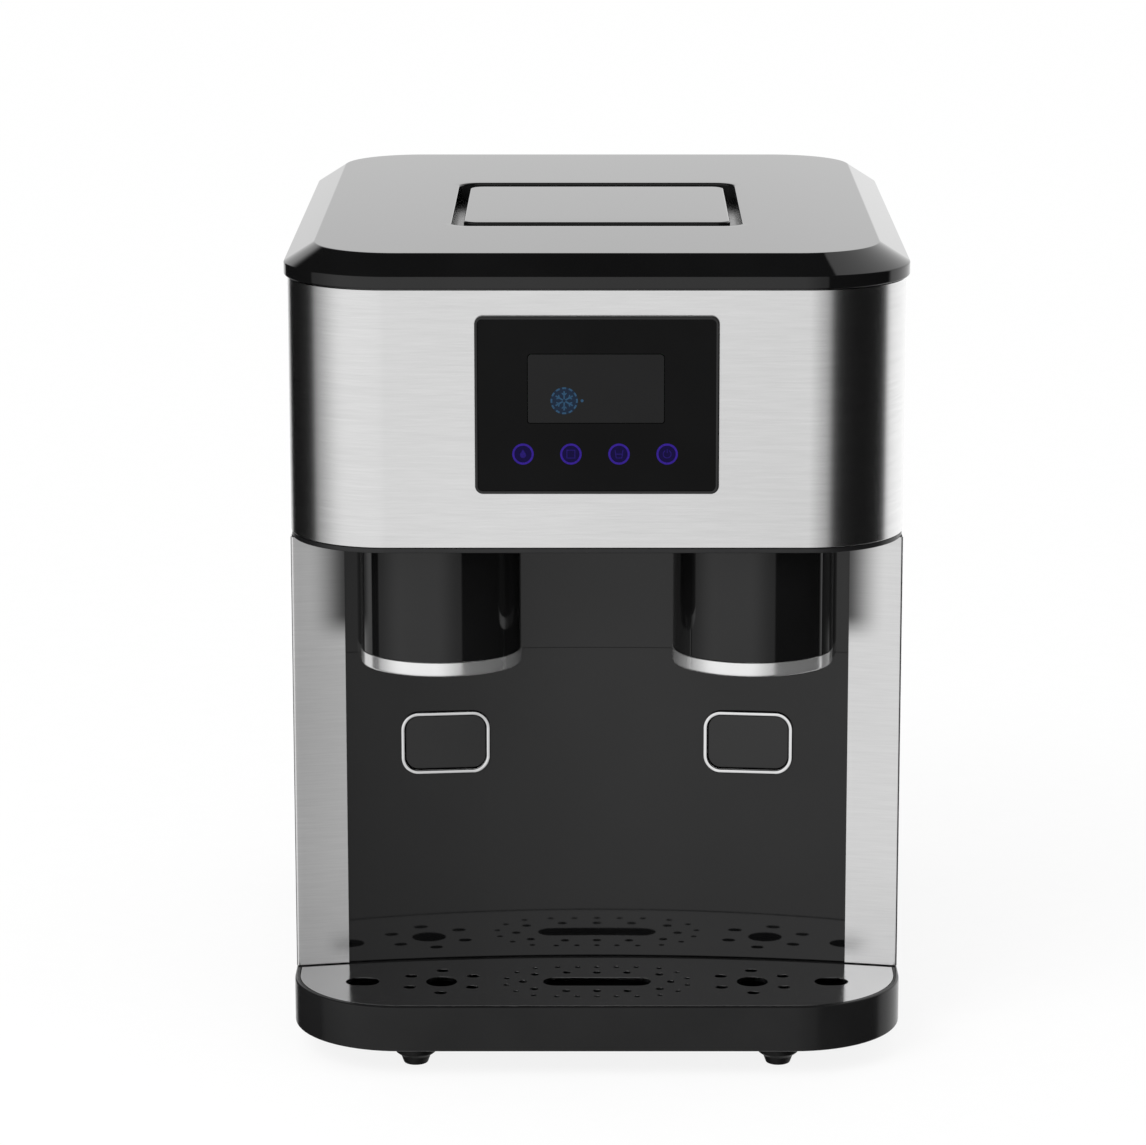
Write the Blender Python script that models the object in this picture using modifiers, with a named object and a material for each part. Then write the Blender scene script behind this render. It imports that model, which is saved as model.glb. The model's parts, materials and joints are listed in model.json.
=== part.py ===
"""Countertop ice and water dispenser, as an assembly of separate pieces.

Metres, +Z up. The origin is on the surface that the machine stands on, under
the middle of its bounding box. X runs to the viewer's right and the front
faces -Y. Depths called a setback are counted from the front of the head.
"""

import math

import bmesh
import bpy
from mathutils import Matrix, Vector

# Gaps, sheet and drawing fineness shared by all pieces
SEAT = 0.0003
OVERRUN = 0.004
WELD = 0.000001
SHEET = 0.0009
ROUND_STEPS = 16
SMALL_ROUND_STEPS = 12
PIN_STEPS = 8
CORNER_STEPS = 5
LARGE_CORNER_STEPS = 6
SMOOTH_ANGLE_DEG = 35
QUARTER_TURN = math.pi / 2

# Overall sizes
HEAD_WIDTH = 0.330
HEAD_DEPTH = 0.4227
HEAD_CORNER = 0.0532
BASE_REACH = 0.0288
BASE_CORNER = 0.0591
COVER_OVERHANG = 0.0023
HALF_WIDTH = HEAD_WIDTH / 2
OVERALL_DEPTH = BASE_REACH + HEAD_DEPTH + COVER_OVERHANG
BASE_FRONT = -OVERALL_DEPTH / 2
HEAD_FRONT = BASE_FRONT + BASE_REACH
HEAD_REAR = HEAD_FRONT + HEAD_DEPTH

# Levels above the surface
BASE_BOTTOM = 0.0143
BASE_WALL = 0.003
BASE_FLOOR = BASE_BOTTOM + BASE_WALL
BASE_TOP = 0.0393
DECK_UNDERSIDE = 0.2813
DECK_THICKNESS = 0.0027
DECK_TOP = DECK_UNDERSIDE + DECK_THICKNESS
COVER_BASE = 0.4224
COVER_LIP = 0.0071
COVER_LIP_TOP = COVER_BASE + COVER_LIP
COVER_RISE = 0.0105
COVER_TOP = COVER_LIP_TOP + COVER_RISE

# Serving recess: one wide hollow curve, deepest in the middle
RECESS_SETBACK = 0.0607
RECESS_RISE = 0.0177
RECESS_RADIUS = (HALF_WIDTH**2 + RECESS_RISE**2) / (2 * RECESS_RISE)
RECESS_STEPS = 12
SPLASH_STEP = SHEET + SEAT
SPLASH_THICKNESS = 0.0025

# Places of the two outlets and of the pads under them
OUTLET_INSET = 0.0806
OUTLET_X = HALF_WIDTH - OUTLET_INSET
OUTLET_SETBACK = 0.048
PAD_OFFSET = 0.0017
PAD_X = OUTLET_X - PAD_OFFSET
PAD_HEIGHT = 0.163

# The rear panel closes the flat part of the back between the rounded corners
REAR_HALF_WIDTH = HALF_WIDTH - HEAD_CORNER - SEAT
REAR_SHEET = 0.0012

# Where the inner groups stand. The ice unit, the condenser and the compressor keep their
# place before the rear panel, and what stands in front of them ends where they begin.
AUGER_X = -OUTLET_X
GEARBOX_HALF_X = 0.025
FRAME_GEARBOX_GAP = 0.0114
FRAME_RIGHT_INSET = 0.057
FRAME_LEFT = AUGER_X + GEARBOX_HALF_X + FRAME_GEARBOX_GAP
FRAME_RIGHT = HALF_WIDTH - FRAME_RIGHT_INSET
FRAME_REAR_GAP = 0.0077
FRAME_LENGTH = 0.1275
FRAME_REAR = HEAD_DEPTH - FRAME_REAR_GAP
FRAME_FRONT = FRAME_REAR - FRAME_LENGTH
BIN_FRAME_GAP = 0.0025
BIN_REAR = FRAME_FRONT - BIN_FRAME_GAP
COMPRESSOR_SIDE_GAP = 0.075
COMPRESSOR_REAR_GAP = 0.0887
COMPRESSOR_X = -(HALF_WIDTH - COMPRESSOR_SIDE_GAP)
COMPRESSOR_SETBACK = HEAD_DEPTH - COMPRESSOR_REAR_GAP
COMPRESSOR_RIM = 0.0595
TERMINAL_REACH = 0.066
RESERVOIR_GAP = 0.018
RESERVOIR_REAR = COMPRESSOR_SETBACK - TERMINAL_REACH - RESERVOIR_GAP
DRAIN_GAP = 0.008
DRAIN_X = COMPRESSOR_X + COMPRESSOR_RIM + DRAIN_GAP
DRAIN_RISE = 0.0107
DRAIN_HEIGHT = BASE_FLOOR + DRAIN_RISE

FINISHES = {
    "brushed_steel": ((0.60, 0.61, 0.63), 0.30, 1.0),
    "black_gloss": ((0.012, 0.012, 0.013), 0.12, 0.0),
    "black_plastic": ((0.020, 0.020, 0.022), 0.38, 0.0),
    "chrome": ((0.80, 0.81, 0.83), 0.08, 1.0),
    "window": ((0.020, 0.021, 0.024), 0.06, 0.0),
    "rubber": ((0.015, 0.015, 0.015), 0.75, 0.0),
    "grey_plastic": ((0.25, 0.26, 0.27), 0.50, 0.0),
    "white_plastic": ((0.75, 0.76, 0.76), 0.42, 0.0),
    "clear_hose": ((0.62, 0.66, 0.68), 0.35, 0.0),
    "copper": ((0.72, 0.36, 0.20), 0.28, 1.0),
    "aluminium": ((0.66, 0.67, 0.68), 0.38, 1.0),
    "nickel": ((0.62, 0.60, 0.57), 0.22, 1.0),
    "compressor_paint": ((0.018, 0.018, 0.020), 0.45, 0.0),
    "circuit_board": ((0.02, 0.16, 0.06), 0.45, 0.0),
}


# Scene and object helpers
def clear_scene():
    for old in list(bpy.data.objects):
        bpy.data.objects.remove(old)


def new_collection(name):
    made = bpy.data.collections.new(name)
    bpy.context.scene.collection.children.link(made)
    return made


def material(name):
    found = bpy.data.materials.get(name)
    if found:
        return found
    colour, roughness, metallic = FINISHES[name]
    made = bpy.data.materials.new(name)
    made.use_nodes = True
    shader = made.node_tree.nodes["Principled BSDF"]
    shader.inputs["Base Color"].default_value = (*colour, 1.0)
    shader.inputs["Roughness"].default_value = roughness
    shader.inputs["Metallic"].default_value = metallic
    made.diffuse_color = (*colour, 1.0)
    return made


def finish(piece, finish_name):
    piece.data.materials.clear()
    piece.data.materials.append(material(finish_name))
    piece.data.shade_smooth()
    piece.data.set_sharp_from_angle(angle=math.radians(SMOOTH_ANGLE_DEG))
    return piece


def object_of(name, mesh):
    made = bpy.data.objects.new(name, mesh)
    PARTS.objects.link(made)
    return made


def object_from(name, shape):
    mesh = bpy.data.meshes.new(name)
    shape.to_mesh(mesh)
    shape.free()
    return object_of(name, mesh)


def as_tool(piece):
    """Takes a solid out of the model, so that it only cuts or joins another."""
    PARTS.objects.unlink(piece)
    CUTTERS.objects.link(piece)
    piece.hide_render = True
    piece.display_type = "WIRE"


def combine(piece, tool, operation):
    modifier = piece.modifiers.new(tool.name, "BOOLEAN")
    modifier.operation = operation
    modifier.solver = "EXACT"
    modifier.object = tool
    as_tool(tool)


def cut(piece, *tools):
    for tool in tools:
        combine(piece, tool, "DIFFERENCE")
    return piece


def join(piece, *tools):
    for tool in tools:
        combine(piece, tool, "UNION")
    return piece


def soften(piece, width, segments=1):
    """Rounds the sharp edges of a piece."""
    modifier = piece.modifiers.new("rounded_edges", "BEVEL")
    modifier.width = width
    modifier.segments = segments
    modifier.limit_method = "ANGLE"
    modifier.angle_limit = math.radians(SMOOTH_ANGLE_DEG)
    return piece


def pivot(piece, point):
    """Moves a piece's origin to a point without moving its shape."""
    piece.data.transform(Matrix.Translation(-Vector(point)))
    piece.location = point
    return piece


def behind(setback):
    return HEAD_FRONT + setback


# Outlines
def arc(centre, radii, start_deg, end_deg, steps):
    """Points of a circular or elliptic arc, both ends included."""
    radius_u, radius_v = radii
    points = []
    for step in range(steps + 1):
        angle = math.radians(start_deg + (end_deg - start_deg) * step / steps)
        points.append((centre[0] + radius_u * math.cos(angle), centre[1] + radius_v * math.sin(angle)))
    return points


def circle(centre, radius, steps=ROUND_STEPS):
    return arc(centre, (radius, radius), 0, 360, steps)[:-1]


def rounded_rectangle(left, right, front, back, front_radius, back_radius=None, steps=CORNER_STEPS):
    """Counter-clockwise outline that starts at its front left corner."""
    if back_radius is None:
        back_radius = front_radius
    near = (front_radius, front_radius)
    far = (back_radius, back_radius)
    return (
        arc((left + front_radius, front + front_radius), near, 180, 270, steps)
        + arc((right - front_radius, front + front_radius), near, 270, 360, steps)
        + arc((right - back_radius, back - back_radius), far, 0, 90, steps)
        + arc((left + back_radius, back - back_radius), far, 90, 180, steps)
    )


def rectangle(left, right, front, back):
    return [(left, front), (right, front), (right, back), (left, back)]


def slot(centre, half_length, half_width, steps=CORNER_STEPS):
    """A slot along the first direction, with round ends."""
    reach = half_length - half_width
    ends = (half_width, half_width)
    return (
        arc((centre[0] + reach, centre[1]), ends, -90, 90, steps)
        + arc((centre[0] - reach, centre[1]), ends, 90, 270, steps)
    )


def at_height(outline, height):
    return [(x, y, height) for x, y in outline]


def recess_lean(x):
    """The angle by which the recess surface turns from the X direction."""
    return math.asin(abs(x) / RECESS_RADIUS)


def recess_y(x):
    return behind(RECESS_SETBACK) - RECESS_RADIUS * (1 - math.cos(recess_lean(x)))


def recess_line(start, end, offset, steps=RECESS_STEPS):
    """Points along the recess surface, moved back by an offset."""
    spots = [start + (end - start) * step / steps for step in range(steps + 1)]
    return [(x, recess_y(x) + offset) for x in spots]


# Solids
def mesh_of(drawn, name):
    """The evaluated mesh of a curve object, with its caps welded. The curve is removed."""
    graph = bpy.context.evaluated_depsgraph_get()
    mesh = bpy.data.meshes.new_from_object(drawn.evaluated_get(graph))
    mesh.name = name
    shape = bmesh.new()
    shape.from_mesh(mesh)
    bmesh.ops.remove_doubles(shape, verts=shape.verts, dist=WELD)
    shape.to_mesh(mesh)
    shape.free()
    bpy.data.objects.remove(drawn)
    return mesh


def plate(name, loops, low, high, facing="Z"):
    """A flat piece from its outline and its holes.

    Facing Z the loops are in X and Y, facing Y in X and Z, facing X in Y and Z.
    """
    curve = bpy.data.curves.new(name, "CURVE")
    curve.dimensions = "2D"
    curve.fill_mode = "BOTH"
    curve.extrude = (high - low) / 2
    for loop in loops:
        spline = curve.splines.new("POLY")
        spline.points.add(len(loop) - 1)
        for point, (u, v) in zip(spline.points, loop):
            point.co = (u, v, 0, 1)
        spline.use_cyclic_u = True
    drawn = bpy.data.objects.new(name, curve)
    bpy.context.scene.collection.objects.link(drawn)
    mesh = mesh_of(drawn, name)
    middle = (low + high) / 2
    if facing == "Z":
        mesh.transform(Matrix.Translation((0, 0, middle)))
    elif facing == "Y":
        mesh.transform(Matrix.Translation((0, middle, 0)) @ Matrix.Rotation(QUARTER_TURN, 4, "X"))
    else:
        cycle = Matrix(((0, 0, 1, middle), (1, 0, 0, 0), (0, 1, 0, 0), (0, 0, 0, 1)))
        mesh.transform(cycle)
    return object_of(name, mesh)


def box(name, low, high):
    low, high = Vector(low), Vector(high)
    shape = bmesh.new()
    place = Matrix.Translation((low + high) / 2) @ Matrix.Diagonal((*(high - low), 1))
    bmesh.ops.create_cube(shape, size=1, matrix=place)
    return object_from(name, shape)


def rod(name, start, end, radius, steps=ROUND_STEPS, end_radius=None):
    start, end = Vector(start), Vector(end)
    along = end - start
    turn = Vector((0, 0, 1)).rotation_difference(along).to_matrix().to_4x4()
    shape = bmesh.new()
    bmesh.ops.create_cone(
        shape,
        cap_ends=True,
        segments=steps,
        radius1=radius,
        radius2=radius if end_radius is None else end_radius,
        depth=along.length,
        matrix=Matrix.Translation((start + end) / 2) @ turn,
    )
    return object_from(name, shape)


def wall(name, path, low, high, thickness, closed=False):
    """An upright sheet whose outer face follows a path, with its body on the path's left."""
    shape = bmesh.new()
    foot = [shape.verts.new((x, y, low)) for x, y in path]
    edges = [shape.edges.new(pair) for pair in zip(foot, foot[1:])]
    if closed:
        edges.append(shape.edges.new((foot[-1], foot[0])))
    raised = bmesh.ops.extrude_edge_only(shape, edges=edges)["geom"]
    top = [item for item in raised if isinstance(item, bmesh.types.BMVert)]
    bmesh.ops.translate(shape, verts=top, vec=(0, 0, high - low))
    shape.normal_update()
    run = foot[1].co - foot[0].co
    if edges[0].link_faces[0].normal.dot(run.cross(Vector((0, 0, 1)))) < 0:
        bmesh.ops.reverse_faces(shape, faces=shape.faces)
    piece = object_from(name, shape)
    thicken(piece, thickness)
    return piece


def thicken(piece, thickness):
    modifier = piece.modifiers.new("thickness", "SOLIDIFY")
    modifier.thickness = thickness
    modifier.offset = -1
    modifier.use_even_offset = True


def loft(name, rings, cap_low=True, cap_high=True):
    """A skin through rings that have equally many points and run counter-clockwise, low to high."""
    shape = bmesh.new()
    rows = [[shape.verts.new(point) for point in ring] for ring in rings]
    count = len(rows[0])
    for lower, upper in zip(rows, rows[1:]):
        for here in range(count):
            after = (here + 1) % count
            shape.faces.new((lower[here], lower[after], upper[after], upper[here]))
    if cap_low:
        shape.faces.new(rows[0][::-1])
    if cap_high:
        shape.faces.new(rows[-1])
    return object_from(name, shape)


def turned(name, profile, steps=ROUND_STEPS, closed=False):
    """A turned shape. Its profile of (radius, height) runs down the outer side."""
    shape = bmesh.new()
    points = [shape.verts.new((radius, 0, height)) for radius, height in profile]
    for pair in zip(points, points[1:]):
        shape.edges.new(pair)
    if closed:
        shape.edges.new((points[-1], points[0]))
    piece = object_from(name, shape)
    modifier = piece.modifiers.new("turned", "SCREW")
    modifier.axis = "Z"
    modifier.steps = steps
    modifier.render_steps = steps
    modifier.use_merge_vertices = True
    modifier.merge_threshold = WELD
    return piece


def rounded_route(points, bend, steps=3):
    """The route through some points, with its corners rounded by circular bends."""
    points = [Vector(point) for point in points]
    route = [points[0]]
    for before, corner, after in zip(points, points[1:], points[2:]):
        back = (before - corner).normalized()
        ahead = (after - corner).normalized()
        half_turn = math.acos(max(-1.0, min(1.0, back.dot(ahead)))) / 2
        setoff = bend / math.tan(half_turn)
        centre = corner + (back + ahead).normalized() * (bend / math.sin(half_turn))
        first = (corner + back * setoff - centre).normalized()
        last = (corner + ahead * setoff - centre).normalized()
        for step in range(steps + 1):
            route.append(centre + first.slerp(last, step / steps) * bend)
    return route + [points[-1]]


def tube(name, points, radius, fineness=1):
    curve = bpy.data.curves.new(name, "CURVE")
    curve.dimensions = "3D"
    curve.bevel_depth = radius
    curve.bevel_resolution = fineness
    curve.use_fill_caps = True
    spline = curve.splines.new("POLY")
    spline.points.add(len(points) - 1)
    for target, point in zip(spline.points, points):
        target.co = (*point, 1)
    drawn = bpy.data.objects.new(name, curve)
    bpy.context.scene.collection.objects.link(drawn)
    return object_of(name, mesh_of(drawn, name))


# Base pan with the drip tray's well in front and the machine bay behind
RIM = 0.0026
CURB = 0.0015
CROSS_WALL = 0.0065
BASE_EDGE = 0.0008
FLOOR_SLOT_COUNT = 6
FLOOR_SLOT_PITCH = 0.018
FLOOR_SLOT_HALF_LENGTH = 0.028
FLOOR_SLOT_HALF_WIDTH = 0.0025
FLOOR_SLOT_X = 0.060
FLOOR_SLOT_REAR_GAP = 0.1527
FLOOR_SLOT_SETBACK = HEAD_DEPTH - FLOOR_SLOT_REAR_GAP


def tray_outline(inset, rear_gap):
    """The front well's outline, drawn in from the base's outer face and from the recess."""
    half = HALF_WIDTH - inset
    front = BASE_FRONT + inset
    radius = BASE_CORNER - inset
    radii = (radius, radius)
    return (
        arc((-half + radius, front + radius), radii, 180, 270, LARGE_CORNER_STEPS)
        + arc((half - radius, front + radius), radii, 270, 360, LARGE_CORNER_STEPS)
        + recess_line(half, -half, -rear_gap)
    )


def bay_outline():
    half = HALF_WIDTH - BASE_WALL
    rear = HEAD_REAR - BASE_WALL
    radius = HEAD_CORNER - BASE_WALL
    radii = (radius, radius)
    return (
        recess_line(-half, half, CROSS_WALL)
        + arc((half - radius, rear - radius), radii, 0, 90, CORNER_STEPS)
        + arc((-half + radius, rear - radius), radii, 90, 180, CORNER_STEPS)
    )


def make_base_pan():
    outline = rounded_rectangle(
        -HALF_WIDTH, HALF_WIDTH, BASE_FRONT, HEAD_REAR, BASE_CORNER, HEAD_CORNER, LARGE_CORNER_STEPS
    )
    pan = soften(plate("base_pan", [outline], BASE_BOTTOM, BASE_TOP), BASE_EDGE)
    above = BASE_TOP + OVERRUN
    cut(
        pan,
        plate("well_cutter", [tray_outline(RIM, CURB)], BASE_FLOOR, above),
        plate("bay_cutter", [bay_outline()], BASE_FLOOR, above),
    )
    for number in range(FLOOR_SLOT_COUNT):
        y = behind(FLOOR_SLOT_SETBACK) + number * FLOOR_SLOT_PITCH
        opening = slot((FLOOR_SLOT_X, y), FLOOR_SLOT_HALF_LENGTH, FLOOR_SLOT_HALF_WIDTH, 3)
        below = BASE_BOTTOM - OVERRUN
        cut(pan, plate(f"floor_slot_{number}", [opening], below, BASE_FLOOR + OVERRUN))
    join(pan, *compressor_bosses())
    add_drain_pocket(pan)
    return finish(pan, "black_plastic")


# Feet
FOOT_INSET = 0.067
FOOT_X = HALF_WIDTH - FOOT_INSET
FOOT_FRONT_SETBACK = -0.0025
FOOT_REAR_INSET = 0.040
FOOT_TOP_RADIUS = 0.0088
FOOT_NECK_RADIUS = 0.0066
FOOT_NECK_HEIGHT = 0.0035
FOOT_PAD_RADIUS = 0.0052
FOOT_COLLAR = 0.003
FOOT_SCREW_RADIUS = 0.0022
FOOT_SCREW_DEPTH = 0.006
FOOT_STEPS = 12


def make_foot(name, x, y):
    top = BASE_BOTTOM - SEAT
    profile = [
        (0, top),
        (FOOT_TOP_RADIUS, top),
        (FOOT_TOP_RADIUS, top - FOOT_COLLAR),
        (FOOT_NECK_RADIUS, FOOT_NECK_HEIGHT),
        (FOOT_PAD_RADIUS, 0),
        (FOOT_SCREW_RADIUS, 0),
        (FOOT_SCREW_RADIUS, FOOT_SCREW_DEPTH),
        (0, FOOT_SCREW_DEPTH),
    ]
    foot = turned(name, profile, FOOT_STEPS)
    foot.location = (x, y, 0)
    return finish(foot, "rubber")


def make_feet():
    front = behind(FOOT_FRONT_SETBACK)
    rear = HEAD_REAR - FOOT_REAR_INSET
    for side, x in (("left", -FOOT_X), ("right", FOOT_X)):
        make_foot(f"foot_front_{side}", x, front)
        make_foot(f"foot_rear_{side}", x, rear)


# Drip tray and its grille
TRAY_CLEARANCE = 0.0006
TRAY_WALL = 0.0018
TRAY_FLOOR = 0.0016
GRILLE_CLEARANCE = 0.0004
GRILLE_THICKNESS = 0.0022
GRILLE_HOLES_SETBACK = 0.016
GRILLE_SLOT_HALF_LENGTH = 0.0294
GRILLE_SLOT_HALF_WIDTH = 0.0070
GRILLE_ROUND_HALF = 0.0085
GRILLE_OVAL_HALF_LENGTH = 0.0092
GRILLE_OVAL_HALF_WIDTH = 0.0068
PETAL_HALF_LENGTH = 0.0034
PETAL_HALF_WIDTH = 0.0026
PETAL_COUNT = 6
PETAL_REACH = 0.0195
RING_HOLE_STEPS = 6
RING_STRAIGHT_HALF = 0.0240
INNER_RING_REACH = 0.0163
INNER_RING_HOLE = 0.0022
INNER_RING_STRAIGHT_SHARES = (-0.69, 0.0, 0.69)
INNER_RING_END_ANGLES_DEG = (-52, 0, 52)
OUTER_RING_REACH = 0.0258
OUTER_RING_HOLE = 0.0015
OUTER_RING_STRAIGHT_SHARES = (-0.90, -0.44, 0.0, 0.44, 0.90)
OUTER_RING_END_ANGLES_DEG = (-67, -40, -13, 13, 40, 67)
GRILLE_RING_END = RING_STRAIGHT_HALF + OUTER_RING_REACH + OUTER_RING_HOLE
FLOWER_REACH = PETAL_REACH + PETAL_HALF_LENGTH
GRILLE_ROOM = HALF_WIDTH - GRILLE_RING_END - 2 * FLOWER_REACH - 2 * GRILLE_OVAL_HALF_LENGTH
GRILLE_GAP_SHARES = (0.2081, 0.2202)
GRILLE_ROUND_X = GRILLE_RING_END + GRILLE_GAP_SHARES[0] * GRILLE_ROOM + FLOWER_REACH
GRILLE_OVAL_X = GRILLE_ROUND_X + FLOWER_REACH + GRILLE_GAP_SHARES[1] * GRILLE_ROOM + GRILLE_OVAL_HALF_LENGTH


def ring_round_slot(reach, hole_radius, straight_shares, end_angles_deg):
    """Small holes on a line that runs round the long slot at an even distance."""
    middle_y = behind(GRILLE_HOLES_SETBACK)
    spots = []
    for share in straight_shares:
        spots.append((RING_STRAIGHT_HALF * share, middle_y + reach))
        spots.append((RING_STRAIGHT_HALF * share, middle_y - reach))
    for angle_deg in end_angles_deg:
        angle = math.radians(angle_deg)
        x = RING_STRAIGHT_HALF + reach * math.cos(angle)
        y = reach * math.sin(angle)
        spots.append((x, middle_y + y))
        spots.append((-x, middle_y + y))
    return [circle(spot, hole_radius, RING_HOLE_STEPS) for spot in spots]


def flower_of_holes(x):
    """A round hole with six short slots about it."""
    y = behind(GRILLE_HOLES_SETBACK)
    holes = [circle((x, y), GRILLE_ROUND_HALF, ROUND_STEPS)]
    for number in range(PETAL_COUNT):
        angle = QUARTER_TURN + 2 * math.pi * number / PETAL_COUNT
        petal = (x + PETAL_REACH * math.cos(angle), y + PETAL_REACH * math.sin(angle))
        holes.append(slot(petal, PETAL_HALF_LENGTH, PETAL_HALF_WIDTH, 2))
    return holes


def grille_holes():
    y = behind(GRILLE_HOLES_SETBACK)
    holes = [slot((0, y), GRILLE_SLOT_HALF_LENGTH, GRILLE_SLOT_HALF_WIDTH)]
    holes += ring_round_slot(
        INNER_RING_REACH, INNER_RING_HOLE, INNER_RING_STRAIGHT_SHARES, INNER_RING_END_ANGLES_DEG
    )
    holes += ring_round_slot(
        OUTER_RING_REACH, OUTER_RING_HOLE, OUTER_RING_STRAIGHT_SHARES, OUTER_RING_END_ANGLES_DEG
    )
    for side in (-1, 1):
        holes += flower_of_holes(side * GRILLE_ROUND_X)
        oval_centre = (side * GRILLE_OVAL_X, y)
        holes.append(slot(oval_centre, GRILLE_OVAL_HALF_LENGTH, GRILLE_OVAL_HALF_WIDTH))
    return holes


def make_drip_tray():
    low = BASE_FLOOR + SEAT
    high = BASE_TOP - GRILLE_THICKNESS - SEAT
    inset = RIM + TRAY_CLEARANCE
    rear_gap = CURB + TRAY_CLEARANCE
    tray = plate("drip_tray", [tray_outline(inset, rear_gap)], low, high)
    hollow = tray_outline(inset + TRAY_WALL, rear_gap + TRAY_WALL)
    cut(tray, plate("tray_hollow", [hollow], low + TRAY_FLOOR, high + OVERRUN))
    return finish(tray, "black_plastic")


def make_drip_grille():
    outline = tray_outline(RIM + GRILLE_CLEARANCE, CURB + GRILLE_CLEARANCE)
    low = BASE_TOP - GRILLE_THICKNESS
    grille = plate("drip_grille", [outline, *grille_holes()], low, BASE_TOP)
    return finish(grille, "black_gloss")


# Steel sides of the lower body, with their front flanges
FLANGE_WIDTH = 0.0285
FLANGE_INNER_X = HALF_WIDTH - FLANGE_WIDTH
FLANGE_CORNER = 0.003
BODY_FOOT = BASE_TOP + SEAT
BODY_HEAD = DECK_UNDERSIDE - SEAT


def side_path():
    """The right-hand side in plan, from the flange's inner edge round to the back."""
    lean = recess_lean(HALF_WIDTH - FLANGE_CORNER)
    corner_x = HALF_WIDTH - FLANGE_CORNER
    turn_x = corner_x - FLANGE_CORNER * math.sin(lean)
    corner_y = recess_y(turn_x) + FLANGE_CORNER * math.cos(lean)
    start_deg = -90 - math.degrees(lean)
    small = (FLANGE_CORNER, FLANGE_CORNER)
    large = (HEAD_CORNER, HEAD_CORNER)
    rear_centre = (HALF_WIDTH - HEAD_CORNER, HEAD_REAR - HEAD_CORNER)
    return (
        recess_line(FLANGE_INNER_X, turn_x, 0, 4)[:-1]
        + arc((corner_x, corner_y), small, start_deg, 0, 4)
        + arc(rear_centre, large, 0, 90, CORNER_STEPS)
    )


def make_side_panels():
    right = side_path()
    left = [(-x, y) for x, y in reversed(right)]
    for name, path in (("side_panel_right", right), ("side_panel_left", left)):
        finish(wall(name, path, BODY_FOOT, BODY_HEAD, SHEET), "brushed_steel")


# Black splash panel at the back of the recess
SPLASH_LAP = 0.0135
SPLASH_HALF_WIDTH = FLANGE_INNER_X + SPLASH_LAP
SEAM_HEIGHT = 0.2151
SEAM_WIDTH = 0.0007
SEAM_DEPTH = 0.0006


def make_splash_panel():
    face = recess_line(-SPLASH_HALF_WIDTH, SPLASH_HALF_WIDTH, SPLASH_STEP)
    panel = wall("splash_panel", face, BODY_FOOT, BODY_HEAD, SPLASH_THICKNESS)
    beyond = SPLASH_HALF_WIDTH + OVERRUN
    ahead = recess_line(-beyond, beyond, SPLASH_STEP - OVERRUN)
    seam = wall("seam_cutter", ahead, SEAM_HEIGHT, SEAM_HEIGHT + SEAM_WIDTH, OVERRUN + SEAM_DEPTH)
    cut(panel, seam)
    for seat in PAD_SEATS.values():
        half_x = BEZEL_HALF_X - BEZEL_LIP
        half_z = BEZEL_HALF_Z - BEZEL_LIP
        opening = bezel_loop(half_x, half_z, BEZEL_CORNER - BEZEL_LIP)
        window = plate(f"{seat.name}_window", [opening], -SPLASH_THICKNESS, 3 * SPLASH_THICKNESS, "Y")
        window.parent = seat
        cut(panel, window)
    return finish(panel, "black_gloss")


# Dispenser pads: a chrome bezel, the pad that tilts in it, its housing and its switch
BEZEL_HALF_X = 0.02445
BEZEL_HALF_Z = 0.01745
BEZEL_CORNER = 0.0097
BEZEL_WIDTH = 0.0022
BEZEL_LIP = 0.0007
BEZEL_PROUD = 0.0020
BEZEL_BACK = 0.0007
SLEEVE_WALL = 0.0012
SLEEVE_DEPTH = 0.0072
PAD_CLEARANCE = 0.0006
PAD_THICKNESS = 0.0025
PAD_FRONT = -0.0003
PIVOT_DEPTH = 0.0042
PIVOT_RISE = 0.0115
PIVOT_RADIUS = 0.0014
PIVOT_CLEARANCE = 0.0003
PAD_EAR_X = 0.014
PAD_EAR_HALF = 0.0015
HOUSING_HALF_X = 0.028
HOUSING_HALF_Z = 0.021
HOUSING_WALL = 0.0023
HOUSING_CORNER = 0.005
HOUSING_BACK = 0.016
HOUSING_BACK_WALL = 0.002
SWITCH_HALF_X = 0.010
SWITCH_LOW = -0.013
SWITCH_HIGH = -0.003
SWITCH_FRONT = 0.0076
PLUNGER_RADIUS = 0.0012
PLUNGER_LENGTH = 0.0031


def bezel_loop(half_x, half_z, corner):
    return rounded_rectangle(-half_x, half_x, -half_z, half_z, corner, steps=4)


def make_pad_seats():
    """Frames that lie on the splash panel's face, one for each pad."""
    seats = {}
    for side, sign in (("left", -1), ("right", 1)):
        seat = bpy.data.objects.new(f"pad_seat_{side}", None)
        PARTS.objects.link(seat)
        seat.location = (sign * PAD_X, recess_y(PAD_X) + SPLASH_STEP, PAD_HEIGHT)
        seat.rotation_euler = (0, 0, -sign * recess_lean(PAD_X))
        seats[side] = seat
    return seats


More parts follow.
